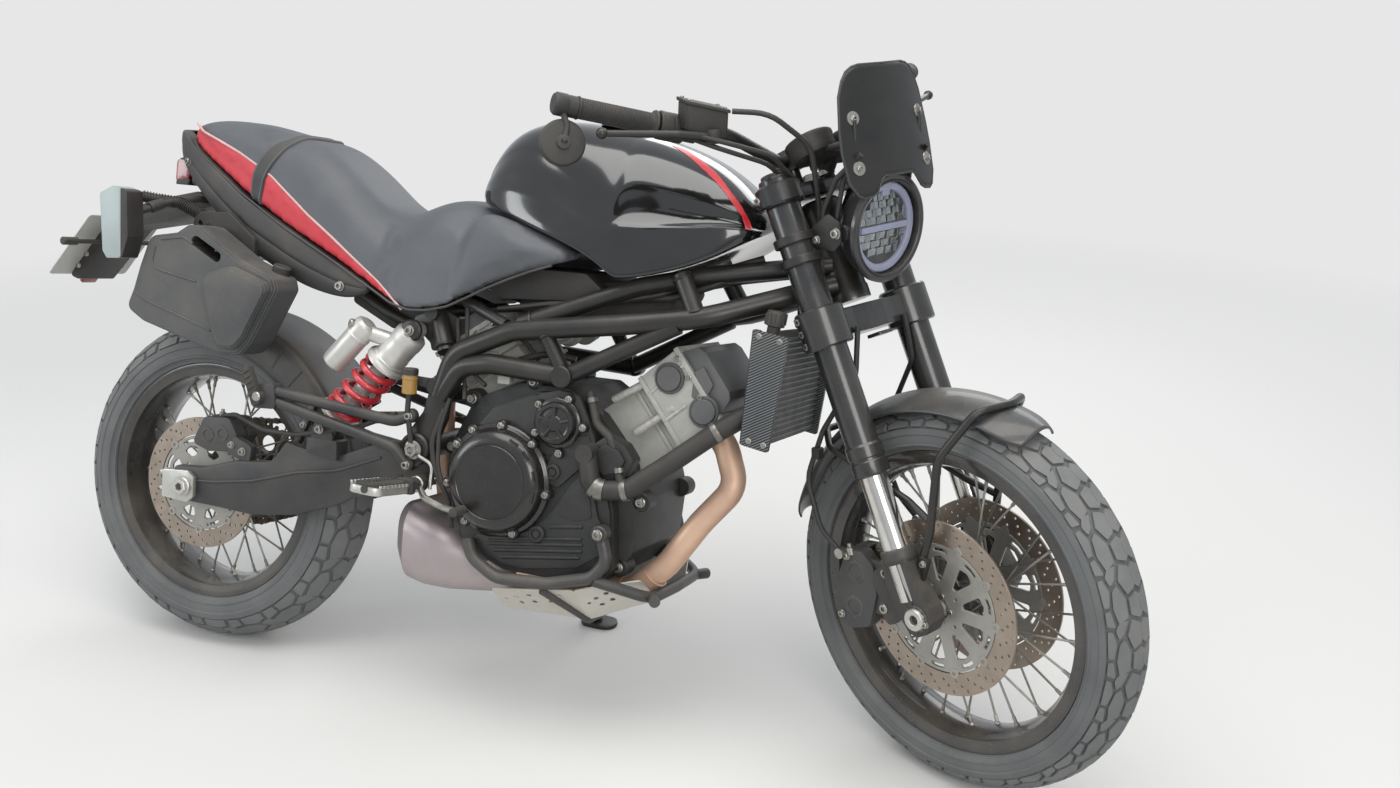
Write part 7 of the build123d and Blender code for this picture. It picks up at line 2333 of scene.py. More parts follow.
# plate carrier, blank plate and lamps
bm = newMesh()
carrierSide = [
    (-30, 862), (-70, 886), (-150, 868), (-256, 838), (-284, 822), (-386, 694), (-362, 687), (-264, 798),
    (-150, 820),
]
addPlate(bm, roundCorners(carrierSide, [8, 14, 30, 30, 16, 8, 8, 16, 40], 5), -48, 48, 6, 0)
addSlab(bm, [(-60, 876), (-62, 904), (20, 902), (22, 862), (-30, 852)], 6, -30, 30, 4)
for side in (-1, 1):
    addTube(bm, [(-304, 0, 768), (-304, side * 152, 768)], 4.6, (), 14, 0)
    addTurned(bm, (-304, side * 118, 768), (0, side, 0), stud(8, 34, 6, 36), 24, 0)
    addTube(bm, [(-50, side * 40, 872), (-70, side * 120, 862), (-84, side * 196, 838)], 7, (60,), 18, 0)
    addTurned(
        bm, (-74, side * 140, 857), Vector((-14, side * 76, -24)),
        [(7, 0), (10.5, 2), (11.5, 30), (9, 34), (7, 34)], 24, 0, closed=True,
    )
for x, y in ((-332, 60), (-332, -60), (-352, 60), (-352, -60)):
    down = (-268 - x) * 1.25
    headBolt(x, y, 822 - down, 0.9)
makePiece("plateCarrier", bm, ["mouldBlack"], ["plate_carrier"])
bm = newMesh()
plateUp = Vector((104, 0, 130)).normalized()
plateOut = Vector((-130, 0, 104)).normalized()
plateMid = Vector((-332, 0, 757)) + plateOut * 3
addPrism(
    bm, roundCorners(oblong(105, 80), 8), (plateMid, Vector((0, 1, 0)), plateUp, plateOut), 1.6, 0.4, 0,
)
rim = roundCorners(oblong(105, 80), 8)
spots = [plateMid + Vector((0, u * 0.985, 0)) + plateUp * v * 0.98 + plateOut * 1.6 for u, v in rim]
addTube(bm, spots + [spots[0]], 1.1, (), 8, 0)
makePiece("plateBlank", bm, ["blankPlate"], ())

bm = newMesh()
for side in (-1, 1):
    lens = [(-139, 868), (-110, 883), (-92, 881), (-86, 752), (-118, 749), (-128, 762)]
    shell = [(-96, 881), (-78, 876), (-72, 792), (-84, 752), (-92, 751)]
    addSlab(bm, lens, 5, side * 194, side * 236, 4)
    addSlab(bm, shell, 5, side * 192, side * 234, 4, 1)
tailLamp = [(-132, 902), (-130, 944), (-108, 950), (-92, 930), (-104, 900)]
addSlab(bm, tailLamp, 8, -44, 44, 6, 2)
addSlab(bm, [(-128, 896), (-100, 896), (-92, 908), (-126, 906)], 3, -47, 47, 2, 1)
addSlab(bm, [(-124, 946), (-106, 951), (-92, 940), (-90, 934), (-108, 944)], 2, -47, 47, 1.5, 1)
addPrism(
    bm, roundCorners(oblong(20, 10), 4),
    (Vector((-374, 0, 684)) + plateOut * 3, Vector((0, 1, 0)), plateUp, plateOut), 7, 2, 2,
)
makePiece("rearLamps", bm, ["indicatorPale", "mouldBlack", "lampRed"], ["rear_lamps"])

# moulded can with its grip hole, raised lower front and creases
canSide = [
    (-49, 796), (10, 806), (37, 823), (65, 821), (156, 767), (232, 740), (238, 720), (186, 620), (165, 596),
    (120, 592), (-59, 637),
    (-98, 659), (-83, 695), (-70, 739),
]
canRaised = [
    (84, 724), (96, 741), (146, 757), (224, 733), (230, 720), (182, 628), (162, 606), (122, 604), (92, 690),
]
gripLoop = capsule(26, 11, -27, (82, 782))
bm = newMesh()
rightPlane = (Vector((0, -136, 0)), Vector((1, 0, 0)), Vector((0, 0, 1)), Vector((0, -1, 0)))
softCan = roundCorners(canSide, [22, 12, 16, 14, 30, 12, 12, 12, 20, 24, 30, 16, 30, 30], 6)
scaled = lambda loop, amount: [(80 + (u - 80) * amount, 705 + (v - 705) * amount) for u, v in loop]
for depth, start, amount in ((62, 0, 1.0), (66.5, 2, 0.985), (69.5, 4, 0.955)):
    addCutout(
        bm, [scaled(softCan, amount), gripLoop], (rightPlane[0] - Vector((0, start, 0)),) + rightPlane[1:],
        depth - start, 0.8, 0,
    )
raised = roundCorners(canRaised, [16, 14, 20, 10, 12, 20, 22, 22, 30], 6)
mid = (156, 680)
for depth, amount in ((78, 1.0), (82, 0.965), (85, 0.92)):
    loop = [(mid[0] + (u - mid[0]) * amount, mid[1] + (v - mid[1]) * amount) for u, v in raised]
    addPrism(bm, loop, (rightPlane[0] - Vector((0, 60, 0)),) + rightPlane[1:], depth - 60, 2.4, 0)
# seam round the waist and the recess lines on its rear half
addTube(
    bm,
    [
        (-92, -168, 664), (-58, -168, 642), (118, -168, 596), (164, -168, 599), (184, -168, 622),
        (237, -168, 722),
    ],
    1.6, (20, 20, 20, 10), 8, 0,
)
for points in (
    [(-32, 777), (-41, 742), (-10, 733), (62, 721)],
    [(-78, 690), (-50, 676), (60, 646), (100, 634)],
    [(-20, 792), (30, 800), (52, 790)],
):
    addTube(bm, [(x, -205.2, z) for x, z in points], 2.2, (14, 14), 8, 0)
addTurned(
    bm, (206, -150, 745), (0.3, 0, 1), [(0, 0), (19, 0), (19, 4), (17, 5), (17, 16), (15, 18), (0, 18)], 28,
    1,
)
makePiece("sideCan", bm, ["canPlastic", "mouldBlack"], ["side_can"])

# bracket plates, corrugated sleeve, grey cleat and a pale tie
bm = newMesh()
lug = roundCorners([(10, 700), (-16, 800), (-6, 838), (14, 848), (70, 850), (130, 806), (130, 690)], 12)
addCutout(
    bm, [lug, circlePoints(6, 826, 6, 14), circlePoints(34, 812, 9, 16), circlePoints(100, 740, 10, 16)],
    (Vector((0, -114, 0)),) + rightPlane[1:], 18, 0.8, 0,
)
addTube(bm, [(70, -118, 830), (70, -86, 850)], 7, (), 16, 0)
sleeve = roundedRoute(
    [
        (-118, -150, 867), (-92, -130, 863), (-60, -110, 860), (-16, -112, 845), (19, -120, 826),
        (59, -132, 803), (92, -136, 782),
    ],
    (20, 20, 24, 24, 24),
)
sleeve = resampled(sleeve, 92)
radii = []
for k, spot in enumerate(sleeve[:-1]):
    way = (sleeve[k + 1] - spot).normalized()
    ringR = 12.6 if k % 2 else 10.6
    addTurned(bm, spot, way, [(9, 0), (ringR, 0.2), (ringR, 1.6), (9, 2.4)], 20, 1)
addTube(bm, sleeve, 9.6, (), 16, 1)
addPrism(
    bm, roundCorners(oblong(17, 15), 4),
    (Vector((84, -137, 781)), Vector((0.82, 0, -0.57)), Vector((0.57, 0, 0.82)), Vector((0, -1, 0))), 22, 3,
    2,
)
addPrism(
    bm, roundCorners(rectangle(-18, 20, -18, 16), 5),
    (Vector((132, -137, 752)), Vector((0.88, 0, -0.48)), Vector((0.48, 0, 0.88)), Vector((0, -1, 0))), 26,
    3, 2,
)
tie = [
    (66, -161, 777), (84, -162, 787), (103, -162, 796), (107, -158, 790), (88, -162, 772), (82, -163, 760),
]
addTube(bm, tie, 2.4, (6, 6, 5, 6), 10, 3)
addTube(bm, [(84, -163, 776), (92, -163, 766), (90, -162, 752)], 1.8, (5,), 10, 3)
makePiece(
    "canBracket", bm, ["mouldBlack", "hoseRubber", "cleatGrey", "tiePale"], ["can_bracket"],
)
print("can made")

# side stand: leg, eye and foot pad; its bracket and two springs
standPin = Vector((612, 156, 244))
standDown = Vector((88, 146, -176))
groundUp = (parked.to_3x3().inverted() @ Vector((0, 0, 1))).normalized()
pinHeight = (parked @ standPin).z * 1000
standFoot = standPin + standDown * (pinHeight / -groundUp.dot(standDown))
standAxis = standDown.cross(Vector((-0.97, 0.15, -0.15))).normalized()
legWay = standDown.normalized()
bm = newMesh()
addTurned(
    bm, standPin - standAxis * 8, standAxis, [(8.3, 0), (16, 0), (17, 1), (17, 15), (16, 16), (8.3, 16)],
    36, 0, closed=True,
)
addTube(bm, [standPin + legWay * 13, standFoot + groundUp * 9], 10, (), 24, 0, True, (11, 9.4))
across = Vector((0, 1, 0)) - groundUp * groundUp.y
across.normalize()
fore = across.cross(groundUp)
addPrism(bm, capsule(16, 23), (standFoot, fore, across, groundUp), 9, 2, 0)
addTube(bm, [standPin + legWay * 60, standPin + legWay * 66 + Vector((0, 22, 6))], 4, (), 12, 0)
makePiece("sideStand", bm, ["frameBlack"], ["side_stand"], body="side_stand")

bm = newMesh()
standRoot = standPin - standAxis * 26
addTurned(
    bm, standRoot - standAxis * 6, standAxis, [(0, 0), (15, 0), (15, 21), (7.9, 21.5), (7.9, 46), (0, 46)],
    30, 0,
)
addTurned(
    bm, standPin + standAxis * 10.5, standAxis, [(7, 0), (12, 0), (12, 4.5), (10.5, 5.5), (0, 5.5)], 6, 1,
)
addTube(
    bm, [standRoot, standRoot - Vector((52, 0, 0)), (552, 137, 350), (540, 137, 410)], 10, (18, 30), 22, 0,
)
makePiece("standBracket", bm, ["frameBlack", "boltSteel"], ["stand_bracket"])
print("stand made")

# red stripe laid on the tank's skin, from two border lines on each side
tankSkin = bpy.data.objects["fuelTank"]
bakeModifiers(tankSkin)
skinTree = BVHTree.FromPolygons(
    [v.co[:] for v in tankSkin.data.vertices], [p.vertices[:] for p in tankSkin.data.polygons],
)
stripeOuter = [
    (918, 52, 1036), (944, 64, 1030), (992, 86, 1005), (1026, 97, 984), (1055, 104, 955), (1078, 108, 930),
    (1092, 107, 905),
]
stripeInner = [
    (944, 45, 1034), (976, 60, 1022), (1020, 75, 998), (1050, 90, 974), (1078, 95, 943), (1096, 94, 906),
]
bm = newMesh()
for side in (-1, 1):
    lines = [resampled([onSide(p, side) for p in line], 40) for line in (stripeOuter, stripeInner)]
    rows = []
    for a, b in zip(*lines):
        row = []
        for k in range(7):
            near, normal, index, gap = skinTree.find_nearest(parked @ a.lerp(b, k / 6))
            spot = parked.inverted() @ (near + normal * 0.0005)
            row.append(bm.verts.new(spot))
        rows.append(row)
    for a, b in zip(rows, rows[1:]):
        for k in range(6):
            corners = (a[k], a[k + 1], b[k + 1], b[k])
            bm.faces.new(corners if side < 0 else corners[::-1])
makePiece("tankStripe", bm, ["stripeRed"], (), 180)
print("stripe made")

# the steered pieces are drawn with the steering straight ahead; the matrix turned carries them
legLead, legHalf = 19.8, 107
steeredScrews = []


def steeredBolt(spot, way, size=1.0):
    steeredScrews.append((tuple(spot), tuple(way), size))


# fork tubes with dust seals, caps and adjusters
bm = newMesh()
for side in (-1, 1):
    base = atFork(legLead, side * legHalf, 0)
    addTurned(
        bm, base, steerUp,
        [
            (23.4, 238), (27, 238), (30.4, 240), (31, 243), (31, 262), (29.4, 264), (29.4, 268), (31, 270),
            (31, 288), (28.4, 292), (28.4, 452), (28.4, 742), (27, 745), (23.5, 745), (22, 747), (22, 751),
            (20.5, 753), (0, 753),
        ],
        56, 0,
    )
    addTurned(bm, atFork(legLead, side * legHalf, 752), steerUp, [(12, 0), (12, 1), (0, 1)], 6, 1)
    addTurned(
        bm, atFork(legLead, side * legHalf, 746), steerUp,
        [(17, 0), (17, 6.6), (15.8, 7.6), (7, 7.6), (7, 6.4), (0, 6.4)], 6, 1,
    )
makePiece("forkTubes", bm, ["forkBlack", "boltSteel"], ["fork_tubes"], body="steering")

# chrome sliders in black axle castings
footSide = [
    (-8, 104), (-12, 60), (-10, 20), (4, -22), (20, -30), (38, -28), (56, -12), (57, 12), (46, 58),
    (44, 104),
]
caliperLug = [(-2, 96), (-52, 86), (-64, 66), (-60, 40), (-52, 22), (-66, 6), (-58, -8), (-44, -8), (0, 10)]
bm = newMesh()
for side in (-1, 1):
    addTurned(bm, atFork(legLead, side * legHalf, 0), steerUp, rectangle(0, 23, 30, 272), 48, 1)
    flat = [(atFork(a, 0, h).x, atFork(a, 0, h).z) for a, h in footSide]
    addSlab(bm, flat, 7, side * (legHalf - 19), side * (legHalf + 19), 5)
    ear = [(atFork(a, 0, h).x, atFork(a, 0, h).z) for a, h in caliperLug]
    addSlab(bm, ear, 6, side * (legHalf - 18), side * (legHalf - 6), 2.5)
    addTurned(
        bm, atFork(legLead, side * legHalf, 0), steerUp,
        [(23.3, 92), (26, 92), (29, 96), (29.5, 100), (29.5, 112), (27.5, 116), (23.3, 116)], 40, 0,
        closed=True,
    )
    # raised rib down the front of the casting, and the pinch slot with its bolts
    rib = [
        (atFork(a, 0, h).x, atFork(a, 0, h).z)
        for a, h in ((14, 100), (12, 60), (22, 16), (32, 16), (28, 60), (28, 100))
    ]
    addSlab(bm, rib, 5, side * (legHalf + 16), side * (legHalf + 22), 2.4)
    for h in (-19, -6):
        spot = atFork(44, side * (legHalf + 19), h + 8)
        steeredBolt(spot, (0, side, 0), 1.0)
    addTurned(
        bm, frontAxle + Vector((0, side * 86, 0)), (0, side, 0),
        [(12, 0), (22, 0), (24, 4), (24, 38), (22, 42), (12, 42)], 44, 0, closed=True,
    )
    addTurned(
        bm, frontAxle + Vector((0, side * 124, 0)), (0, side, 0),
        [(8, 0), (18.6, 0), (18.6, 7), (17, 9.6), (9.6, 9.6), (8, 8.2), (8, -40), (0, -40)],
        6 if side > 0 else 44, 2,
    )
addTurned(
    bm, frontAxle - Vector((0, 74, 0)), (0, 1, 0),
    [(12, 0), (17, 0), (17, 12), (12, 12), (12, 136), (17, 136), (17, 148), (12, 148)], 32, 2,
)
makePiece(
    "forkSliders", bm, ["footBlack", "forkChrome", "bareAlloy"], ["fork_lowers"],
    body="steering",
)
print("fork made")

# clamps: two bridges with split bosses
bm = newMesh()
for low, high, bossR, pinches in ((456, 522, 41, (468, 489, 510)), (700, 735, 38, (717,))):
    flat = (atFork(0, 0, low), steerFore, Vector((0, 1, 0)), steerUp)
    outline = [(-32, -20), (-22, -84), (-6, -118), (30, -122), (44, -92), (40, -50), (44, -22)]
    outline = outline + [(u, -v) for u, v in reversed(outline)]
    inset = (high - low) * 0.16
    flat = (atFork(0, 0, low + inset), steerFore, Vector((0, 1, 0)), steerUp)
    addPrism(bm, roundCorners(outline, 10), flat, high - low - 2 * inset, 4, 0)
    for side in (-1, 1):
        addTurned(
            bm, atFork(legLead, side * legHalf, low), steerUp,
            [
                (28.8, 0), (bossR - 3, 0), (bossR, 3), (bossR, high - low - 3), (bossR - 3, high - low),
                (28.8, high - low),
            ], 48, 0, closed=True,
        )
        # split lugs with their pinch bolts, on the outer rear of each boss
        for h in pinches:
            block = [(-28, 12), (-33, 22), (-33, 40), (-27, 46), (6, 46), (6, 30), (-12, 14)]
            lug = (atFork(legLead, side * legHalf, h - 6.5), steerFore, Vector((0, side, 0)), steerUp)
            addPrism(bm, roundCorners([(u, v - 12) for u, v in block], 4), lug, 13, 2, 0)
            steeredBolt(atFork(legLead - 16, side * (legHalf + 33), h), (0, side, 0), 1.2)
addTurned(
    bm, atFork(0, 0, 522), steerUp,
    [(0, 0), (34, 0), (34, 4), (26, 6), (18, 6), (18, 176), (30, 178), (30, 178.5), (0, 178.5)], 40, 0,
)
addTurned(
    bm, atFork(0, 0, 735), steerUp,
    [(0, 0), (22, 0), (22, 4), (17, 5), (17, 11), (15.5, 12.6), (6, 12.6), (6, 11), (0, 11)], 6, 1,
)
for side in (-1, 1):
    addTurned(
        bm, atFork(2, side * 40, 730), steerUp, [(0, 0), (15, 0), (12, 12), (12, 30), (15, 36), (0, 36)],
        28, 0,
    )
# ignition switch and the hose bracket below the lower clamp
addTurned(
    bm, atFork(34, 0, 735), steerUp, [(0, 0), (16, 0), (16, 6), (14, 8), (5, 8), (5, 6), (0, 6)], 32, 1,
)
addPrism(
    bm, roundCorners([(24, -22), (24, 22), (52, 16), (52, -16)], 5),
    (atFork(0, 0, 452), steerFore, Vector((0, 1, 0)), steerUp), 6, 1.5, 0,
)
makePiece("forkClamps", bm, ["forkBlack", "boltSteel"], ["triple_clamps"], body="steering")

# handlebar, its clamps, grips and controls
barMiddle = atFork(2, 0, 775)
barEnd = Vector((1030, 424, 1142))
gripStart = Vector((1084, 282, 1103))
barWay = (barEnd - gripStart).normalized()
halfBar = [barMiddle + Vector((0, 64, 0)), Vector((1146, 190, 1084)), gripStart, barEnd + barWay * 4]
route = [onSide(p, -1) for p in reversed(halfBar)] + halfBar
bm = newMesh()
addTube(bm, route, 11, (60, 70, 30, 30, 70, 60), 22, 0)
makePiece("handlebar", bm, ["frameBlack"], ["handlebar"], body="steering")

bm = newMesh()
for side in (-1, 1):
    flat = (barMiddle + Vector((0, side * 40 - 13, 0)), steerFore, steerUp, Vector((0, 1, 0)))
    outline = [(-22, -18), (22, -18), (22, 6), (17, 15), (8, 19), (-8, 19), (-17, 15), (-22, 6)]
    addPrism(bm, roundCorners(outline, 4), flat, 26, 2, 0)
    for ahead in (-15, 15):
        steeredBolt(barMiddle + Vector((0, side * 40, 0)) + steerFore * ahead + steerUp * 15, steerUp, 0.9)
makePiece("barClamps", bm, ["frameBlack"], ["bar_clamps"], body="steering")

bm = newMesh()
gripProfile = [(11.2, 2), (21, 2), (22, 3.5), (21, 6), (16.6, 8)]
for ring in range(30):
    along = 10 + ring * 4
    gripProfile += [(16.6, along), (16.6, along + 1.4), (15.4, along + 2.2), (15.4, along + 3.2)]
gripProfile += [(17, 130), (18.4, 132), (17.6, 134), (11.2, 134)]
for side in (-1, 1):
    addTurned(bm, onSide(gripStart, side), onSide(barWay, side), gripProfile, 36, 0, closed=True)
    addTurned(
        bm, onSide(gripStart + barWay * 133, side), onSide(barWay, side),
        [(0, 0), (13, 0), (17, 2), (17, 20), (14.5, 23), (0, 23)], 36, 1,
    )
makePiece("grips", bm, ["gripRubber", "mouldBlack"], ["grips"], body="steering")


# a blade that bends once and ends in a ball
def taperedLever(bm, root, middle, tip, wide, mat):
    addTube(bm, [root, middle, tip], wide, (60,), 16, mat, True, (wide * 1.15, wide * 0.8))
    ball = bmesh.new()
    bmesh.ops.create_icosphere(ball, subdivisions=3, radius=9)
    mergeIn(bm, ball, mat, Matrix.Translation(tip))


bm = newMesh()
for side in (-1, 1):
    inner = onSide(gripStart - barWay * 2, side)
    way = onSide(barWay, side)
    # switch or throttle housing in two halves, lever clamp, reservoir with its lid
    addTurned(
        bm, inner, -way,
        [
            (11.2, 0), (21, 0), (23, 2), (23, 20), (22, 21), (22, 23), (23, 24), (23, 41), (20, 44),
            (11.2, 44),
        ],
        36, 0, closed=True,
    )
    addTurned(
        bm, inner - way * 46, -way, [(11.2, 0), (17, 0), (18, 1), (18, 19), (17, 20), (11.2, 20)], 32, 0,
        closed=True,
    )
    upWay = Vector((0.1, 0, 1)).normalized()
    foreWay = way.cross(upWay) * (1 if side < 0 else -1)
    if foreWay.x < 0:
        foreWay = -foreWay
    boxSpot = inner - way * 56 + Vector((30, 0, 0))
    flat = (boxSpot, way, foreWay, upWay)
    outline = roundCorners(oblong(37, 21), 7)
    addPrism(bm, outline, flat, 40, 2.5, 0)
    addPrism(bm, roundCorners(oblong(40, 24), 8), (boxSpot + upWay * 40, way, foreWay, upWay), 6, 2, 0)
    for u, v in ((-31, -16), (31, -16), (31, 16), (-31, 16)):
        steeredBolt(boxSpot + way * u + foreWay * v + upWay * 45, upWay, 0.62)
    leverRoot = inner - way * 58 + Vector((50, 0, -6))
    addTurned(
        bm, leverRoot + Vector((0, 0, -10)), (0, 0, 1),
        [(0, 0), (11, 0), (12, 1.5), (12, 20), (11, 22), (0, 22)], 28, 0,
    )
    addTube(bm, [inner - way * 56, leverRoot], 12, (), 18, 0)
    taperedLever(
        bm, leverRoot, inner + way * 10 + Vector((56, 0, -14)), onSide((1092, 400, 1100), side), 6.4, 1,
    )
    # switch buttons or throttle cable elbows
    for k, (u, size) in enumerate(((12, 5), (26, 6), (36, 4))):
        addTurned(
            bm, inner - way * u + Vector((-18, 0, 8)), (-0.9, 0, 0.4),
            [(0, 0), (size, 0), (size - 0.6, 5), (0, 5.6)], 20, 1,
        )
# throttle cables, clutch and brake lines from the bars to the frame
for points, radius in (
    ([(1122, -262, 1090), (1172, -240, 1080), (1206, -150, 1050), (1196, -70, 990), (1168, -52, 930)], 4),
    ([(1120, -254, 1084), (1160, -226, 1066), (1188, -140, 1034), (1180, -62, 980), (1158, -46, 920)], 4),
    ([(1168, -196, 1120), (1214, -160, 1116), (1238, -90, 1060), (1236, -70, 960), (1238, -66, 850)], 4.6),
    ([(1168, 196, 1120), (1214, 160, 1112), (1232, 90, 1050), (1214, 66, 960), (1180, 56, 900)], 4.6),
    ([(1112, 240, 1090), (1150, 180, 1068), (1188, 90, 1030), (1196, 60, 980), (1176, 50, 920)], 5),
):
    addTube(bm, points, radius, (60, 60, 50), 12, 2)
makePiece(
    "barControls", bm, ["mouldBlack", "frameBlack", "hoseRubber"], ["bar_controls"],
    body="steering",
)

# bar-end mirror on the right, seen from its black back
bm = newMesh()
mirrorCentre = Vector((1040, -436, 1086))
mirrorWay = Vector((0.88, -0.42, 0.2)).normalized()
endSpot, endWay = onSide(barEnd, -1), onSide(barWay, -1)
addTurned(bm, endSpot - endWay * 7, endWay, [(12, 0), (17, 0), (18, 2), (18, 18), (15, 22), (0, 22)], 32, 0)
addTube(
    bm,
    [
        endSpot + Vector((4, -4, -6)), (endSpot + mirrorCentre) / 2 + Vector((12, 0, -4)),
        mirrorCentre + mirrorWay * 12,
    ],
    5, (16,), 16, 0,
)
addTurned(
    bm, mirrorCentre - mirrorWay * 4, mirrorWay,
    [
        (33.6, 0), (36, 0.6), (36, 7), (33, 11), (24, 13.4), (12, 14.4), (11, 15.4), (11, 19), (9, 20),
        (5, 20), (4.6, 17.6), (0, 17.6),
    ],
    56, 0,
)
addTurned(
    bm, mirrorCentre - mirrorWay * 3.6, -mirrorWay, [(33.8, -0.6), (33.8, 0), (20, 0.25), (0, 0.35)], 48, 1,
)
makePiece(
    "barEndMirror", bm, ["mouldBlack", "mirrorGlass"], ["bar_end_mirror"], body="steering",
)
print("bars made")

# headlight: bucket, bezel, pale ring, reflector and facets behind clear glass
lampCentre = Vector((1323, 0, 925))
lampWay = Vector((1, 0, -0.06)).normalized()
lampUp = Vector((0.06, 0, 1)).normalized()
bm = newMesh()
addTurned(
    bm, lampCentre, lampWay,
    [
        (0, -66), (30, -66), (38, -64), (56, -56), (72, -42), (82, -24), (86, -8), (88, -4), (89.5, -4),
        (89.5, 2), (86, 4), (80, 3.4), (78.5, 1), (78.5, -12), (74, -16),
    ],
    72, 0,
)
addTurned(
    bm, lampCentre, lampWay, [(79.6, -8), (79.6, 3.6), (77.4, 5.2), (75.6, 3.4), (75.6, -8)], 72, 1,
    closed=True,
)
for side in (-1, 1):
    addTurned(bm, lampCentre + Vector((-22, side * 74, 0)), (0, side, 0), stud(14, 10, 12, 14), 24, 0)
addTurned(bm, lampCentre + lampUp * -80 + lampWay * -6, -lampUp, stud(8, 9, 6, 11), 20, 0)
makePiece(
    "headlightShell", bm, ["lampBlack", "darkBolt"], ["headlight_shell"], body="steering",
)

bm = newMesh()
# pale ring with its tab, set back behind the glass
addTurned(
    bm, lampCentre + lampWay * -13, lampWay,
    [(74.4, 0), (74.4, 4), (72, 6.6), (63, 6.6), (61, 4.4), (61, 0)], 72, 0, closed=True,
)
addPrism(
    bm, roundCorners(rectangle(-9, 9, 52, 66), 2),
    (lampCentre + lampWay * -13, Vector((0, 1, 0)), lampUp, lampWay), 5.6, 1, 0,
)
addPrism(
    bm, roundCorners(oblong(58, 5), 2), (lampCentre + lampWay * -14, Vector((0, 1, 0)), lampUp, lampWay), 8,
    1.6, 0,
)
makePiece("headlightRing", bm, ["lampPale"], (), body="steering")

bm = newMesh()
# reflector in facets above and below the middle, dark well behind
addTurned(bm, lampCentre + lampWay * -13.6, lampWay, [(61, 0), (0, 0)], 48, 1)
for half, rows in ((1, 4), (-1, 3)):
    for row in range(rows):
        for col in range(9):
            wide = sqrt(max(60 ** 2 - (10 + row * 13) ** 2, 0)) * 2 / 9
            y = (col - 4) * wide
            z = half * (13 + row * 12.6)
            if abs(y) + 3 > 60 or hypot(y, z) > 57:
                continue
            tilt = 0.2 if (row + col) % 2 else 0.05
            facet = lampWay + Vector((0, (col - 4) * 0.06 + tilt - 0.12, half * (0.22 - tilt)))
            spot = lampCentre + lampWay * (-12.2 + 2.2 * ((row + col) % 2)) + Vector((0, y, 0)) + lampUp * z
            corners = rectangle(-wide * 0.47, wide * 0.47, -5.9, 5.9)
            out = facet.normalized()
            uWay = Vector((0, 1, 0)) - out * out.y
            uWay.normalize()
            addPrism(bm, corners, (spot, uWay, out.cross(uWay), out), 1.2, 0.3, 0)
makePiece("headlightFacets", bm, ["forkChrome", "lampBlack"], (), 12, body="steering")

bm = newMesh()
addTurned(
    bm, lampCentre, lampWay, [(75.4, -4.6), (75.4, -2.4), (60, 0.6), (40, 2.4), (20, 3.4), (0, 3.8)], 64, 0,
)
addTurned(bm, lampCentre, lampWay, [(0, 1.8), (20, 1.4), (40, 0.4), (60, -1.4), (75.4, -4.4)], 64, 0)
makePiece("headlightLens", bm, ["clearGlass"], ["headlight_lens"], 60, body="steering")

# brackets from the fork to the lamp and the fly screen
bm = newMesh()
for side in (-1, 1):
    for h in (604, 640):
        addTurned(
            bm, atFork(legLead, side * legHalf, h - 7), steerUp,
            [(28.6, 0), (34, 0), (35, 1.4), (35, 12.6), (34, 14), (28.6, 14)], 40, 0, closed=True,
        )
    ear = atFork(legLead + 28, side * (legHalf - 6), 622)
    plate = [
        (ear.x - 10, ear.z - 22), (ear.x - 6, ear.z + 26), (1276, 956), (1302, 944), (1306, 912),
        (1290, 896), (1250, 900),
    ]
    addSlab(bm, plate, 8, side * 92, side * 96, 1.2)
    steeredBolt((1296, side * 96, 926), (0, side, 0), 1.5)
    steeredBolt((ear.x + 6, side * 96, ear.z + 8), (0, side, 0), 1.2)
    addTube(
        bm,
        [(1262, side * 90, 909), (1266, side * 92, 960), (1290, side * 92, 1010), (1336, side * 84, 1052)],
        4.6, (30, 30), 14, 0,
    )
    addTube(
        bm,
        [(1286, side * 88, 930), (1300, side * 84, 1010), (1322, side * 80, 1052), (1318, side * 80, 1110)],
        4, (40, 24), 14, 0,
    )
makePiece("headlightBracket", bm, ["frameBlack"], ["headlight_bracket"], body="steering")

# fly screen: columns between its lower arch and its top, bowed across
screenLow = Vector((1346, 0, 1012))
screenUp = (Vector((1306, 0, 1186)) - screenLow).normalized()
screenTop = [(0, 178), (52, 178), (66, 175), (78, 168), (88, 154), (98, 130), (106, 76), (108, 42)]
screenFoot = [(0, 3), (34, 3), (42, -2), (56, -22), (66, -27), (82, -29), (92, -24), (104, -4), (108, 36)]
bowR = 330


def onScreen(y, z, out=0.0):
    flatOut = Vector((0, 1, 0)).cross(screenUp)
    spot = screenLow + screenUp * z + Vector((0, y, 0))
    return spot - Vector((bowR - sqrt(bowR ** 2 - y ** 2), 0, 0)) + flatOut * out


bm = newMesh()
columns = []
for k in range(45):
    y = 107.6 * sin(pi / 2 * (k - 22) / 22)
    low, high = lineAt(screenFoot, abs(y)), lineAt(screenTop, abs(y))
    columns.append([bm.verts.new(onScreen(y, low + (high - low) * j / 14)) for j in range(15)])
for a, b in zip(columns, columns[1:]):
    for j in range(14):
        bm.faces.new((a[j], b[j], b[j + 1], a[j + 1]))
bmesh.ops.recalc_face_normals(bm, faces=bm.faces)
makePiece(
    "flyScreen", bm, ["screenBlack"], ["fly_screen"], 50, thickened(0.0036), body="steering",
)
bm = newMesh()
rimLoop = [onScreen(-y, z) for y, z in reversed(screenTop)] + [onScreen(y, z) for y, z in screenTop] + [
    onScreen(y, z)
    for y, z in reversed(screenFoot[:-1])
] + [onScreen(-y, z) for y, z in screenFoot[1:-1]]
rimLoop = [p for k, p in enumerate(rimLoop) if k == 0 or (p - rimLoop[k - 1]).length > 1.5]
addTube(bm, rimLoop + [rimLoop[0]], 2.3, (), 10, 0)
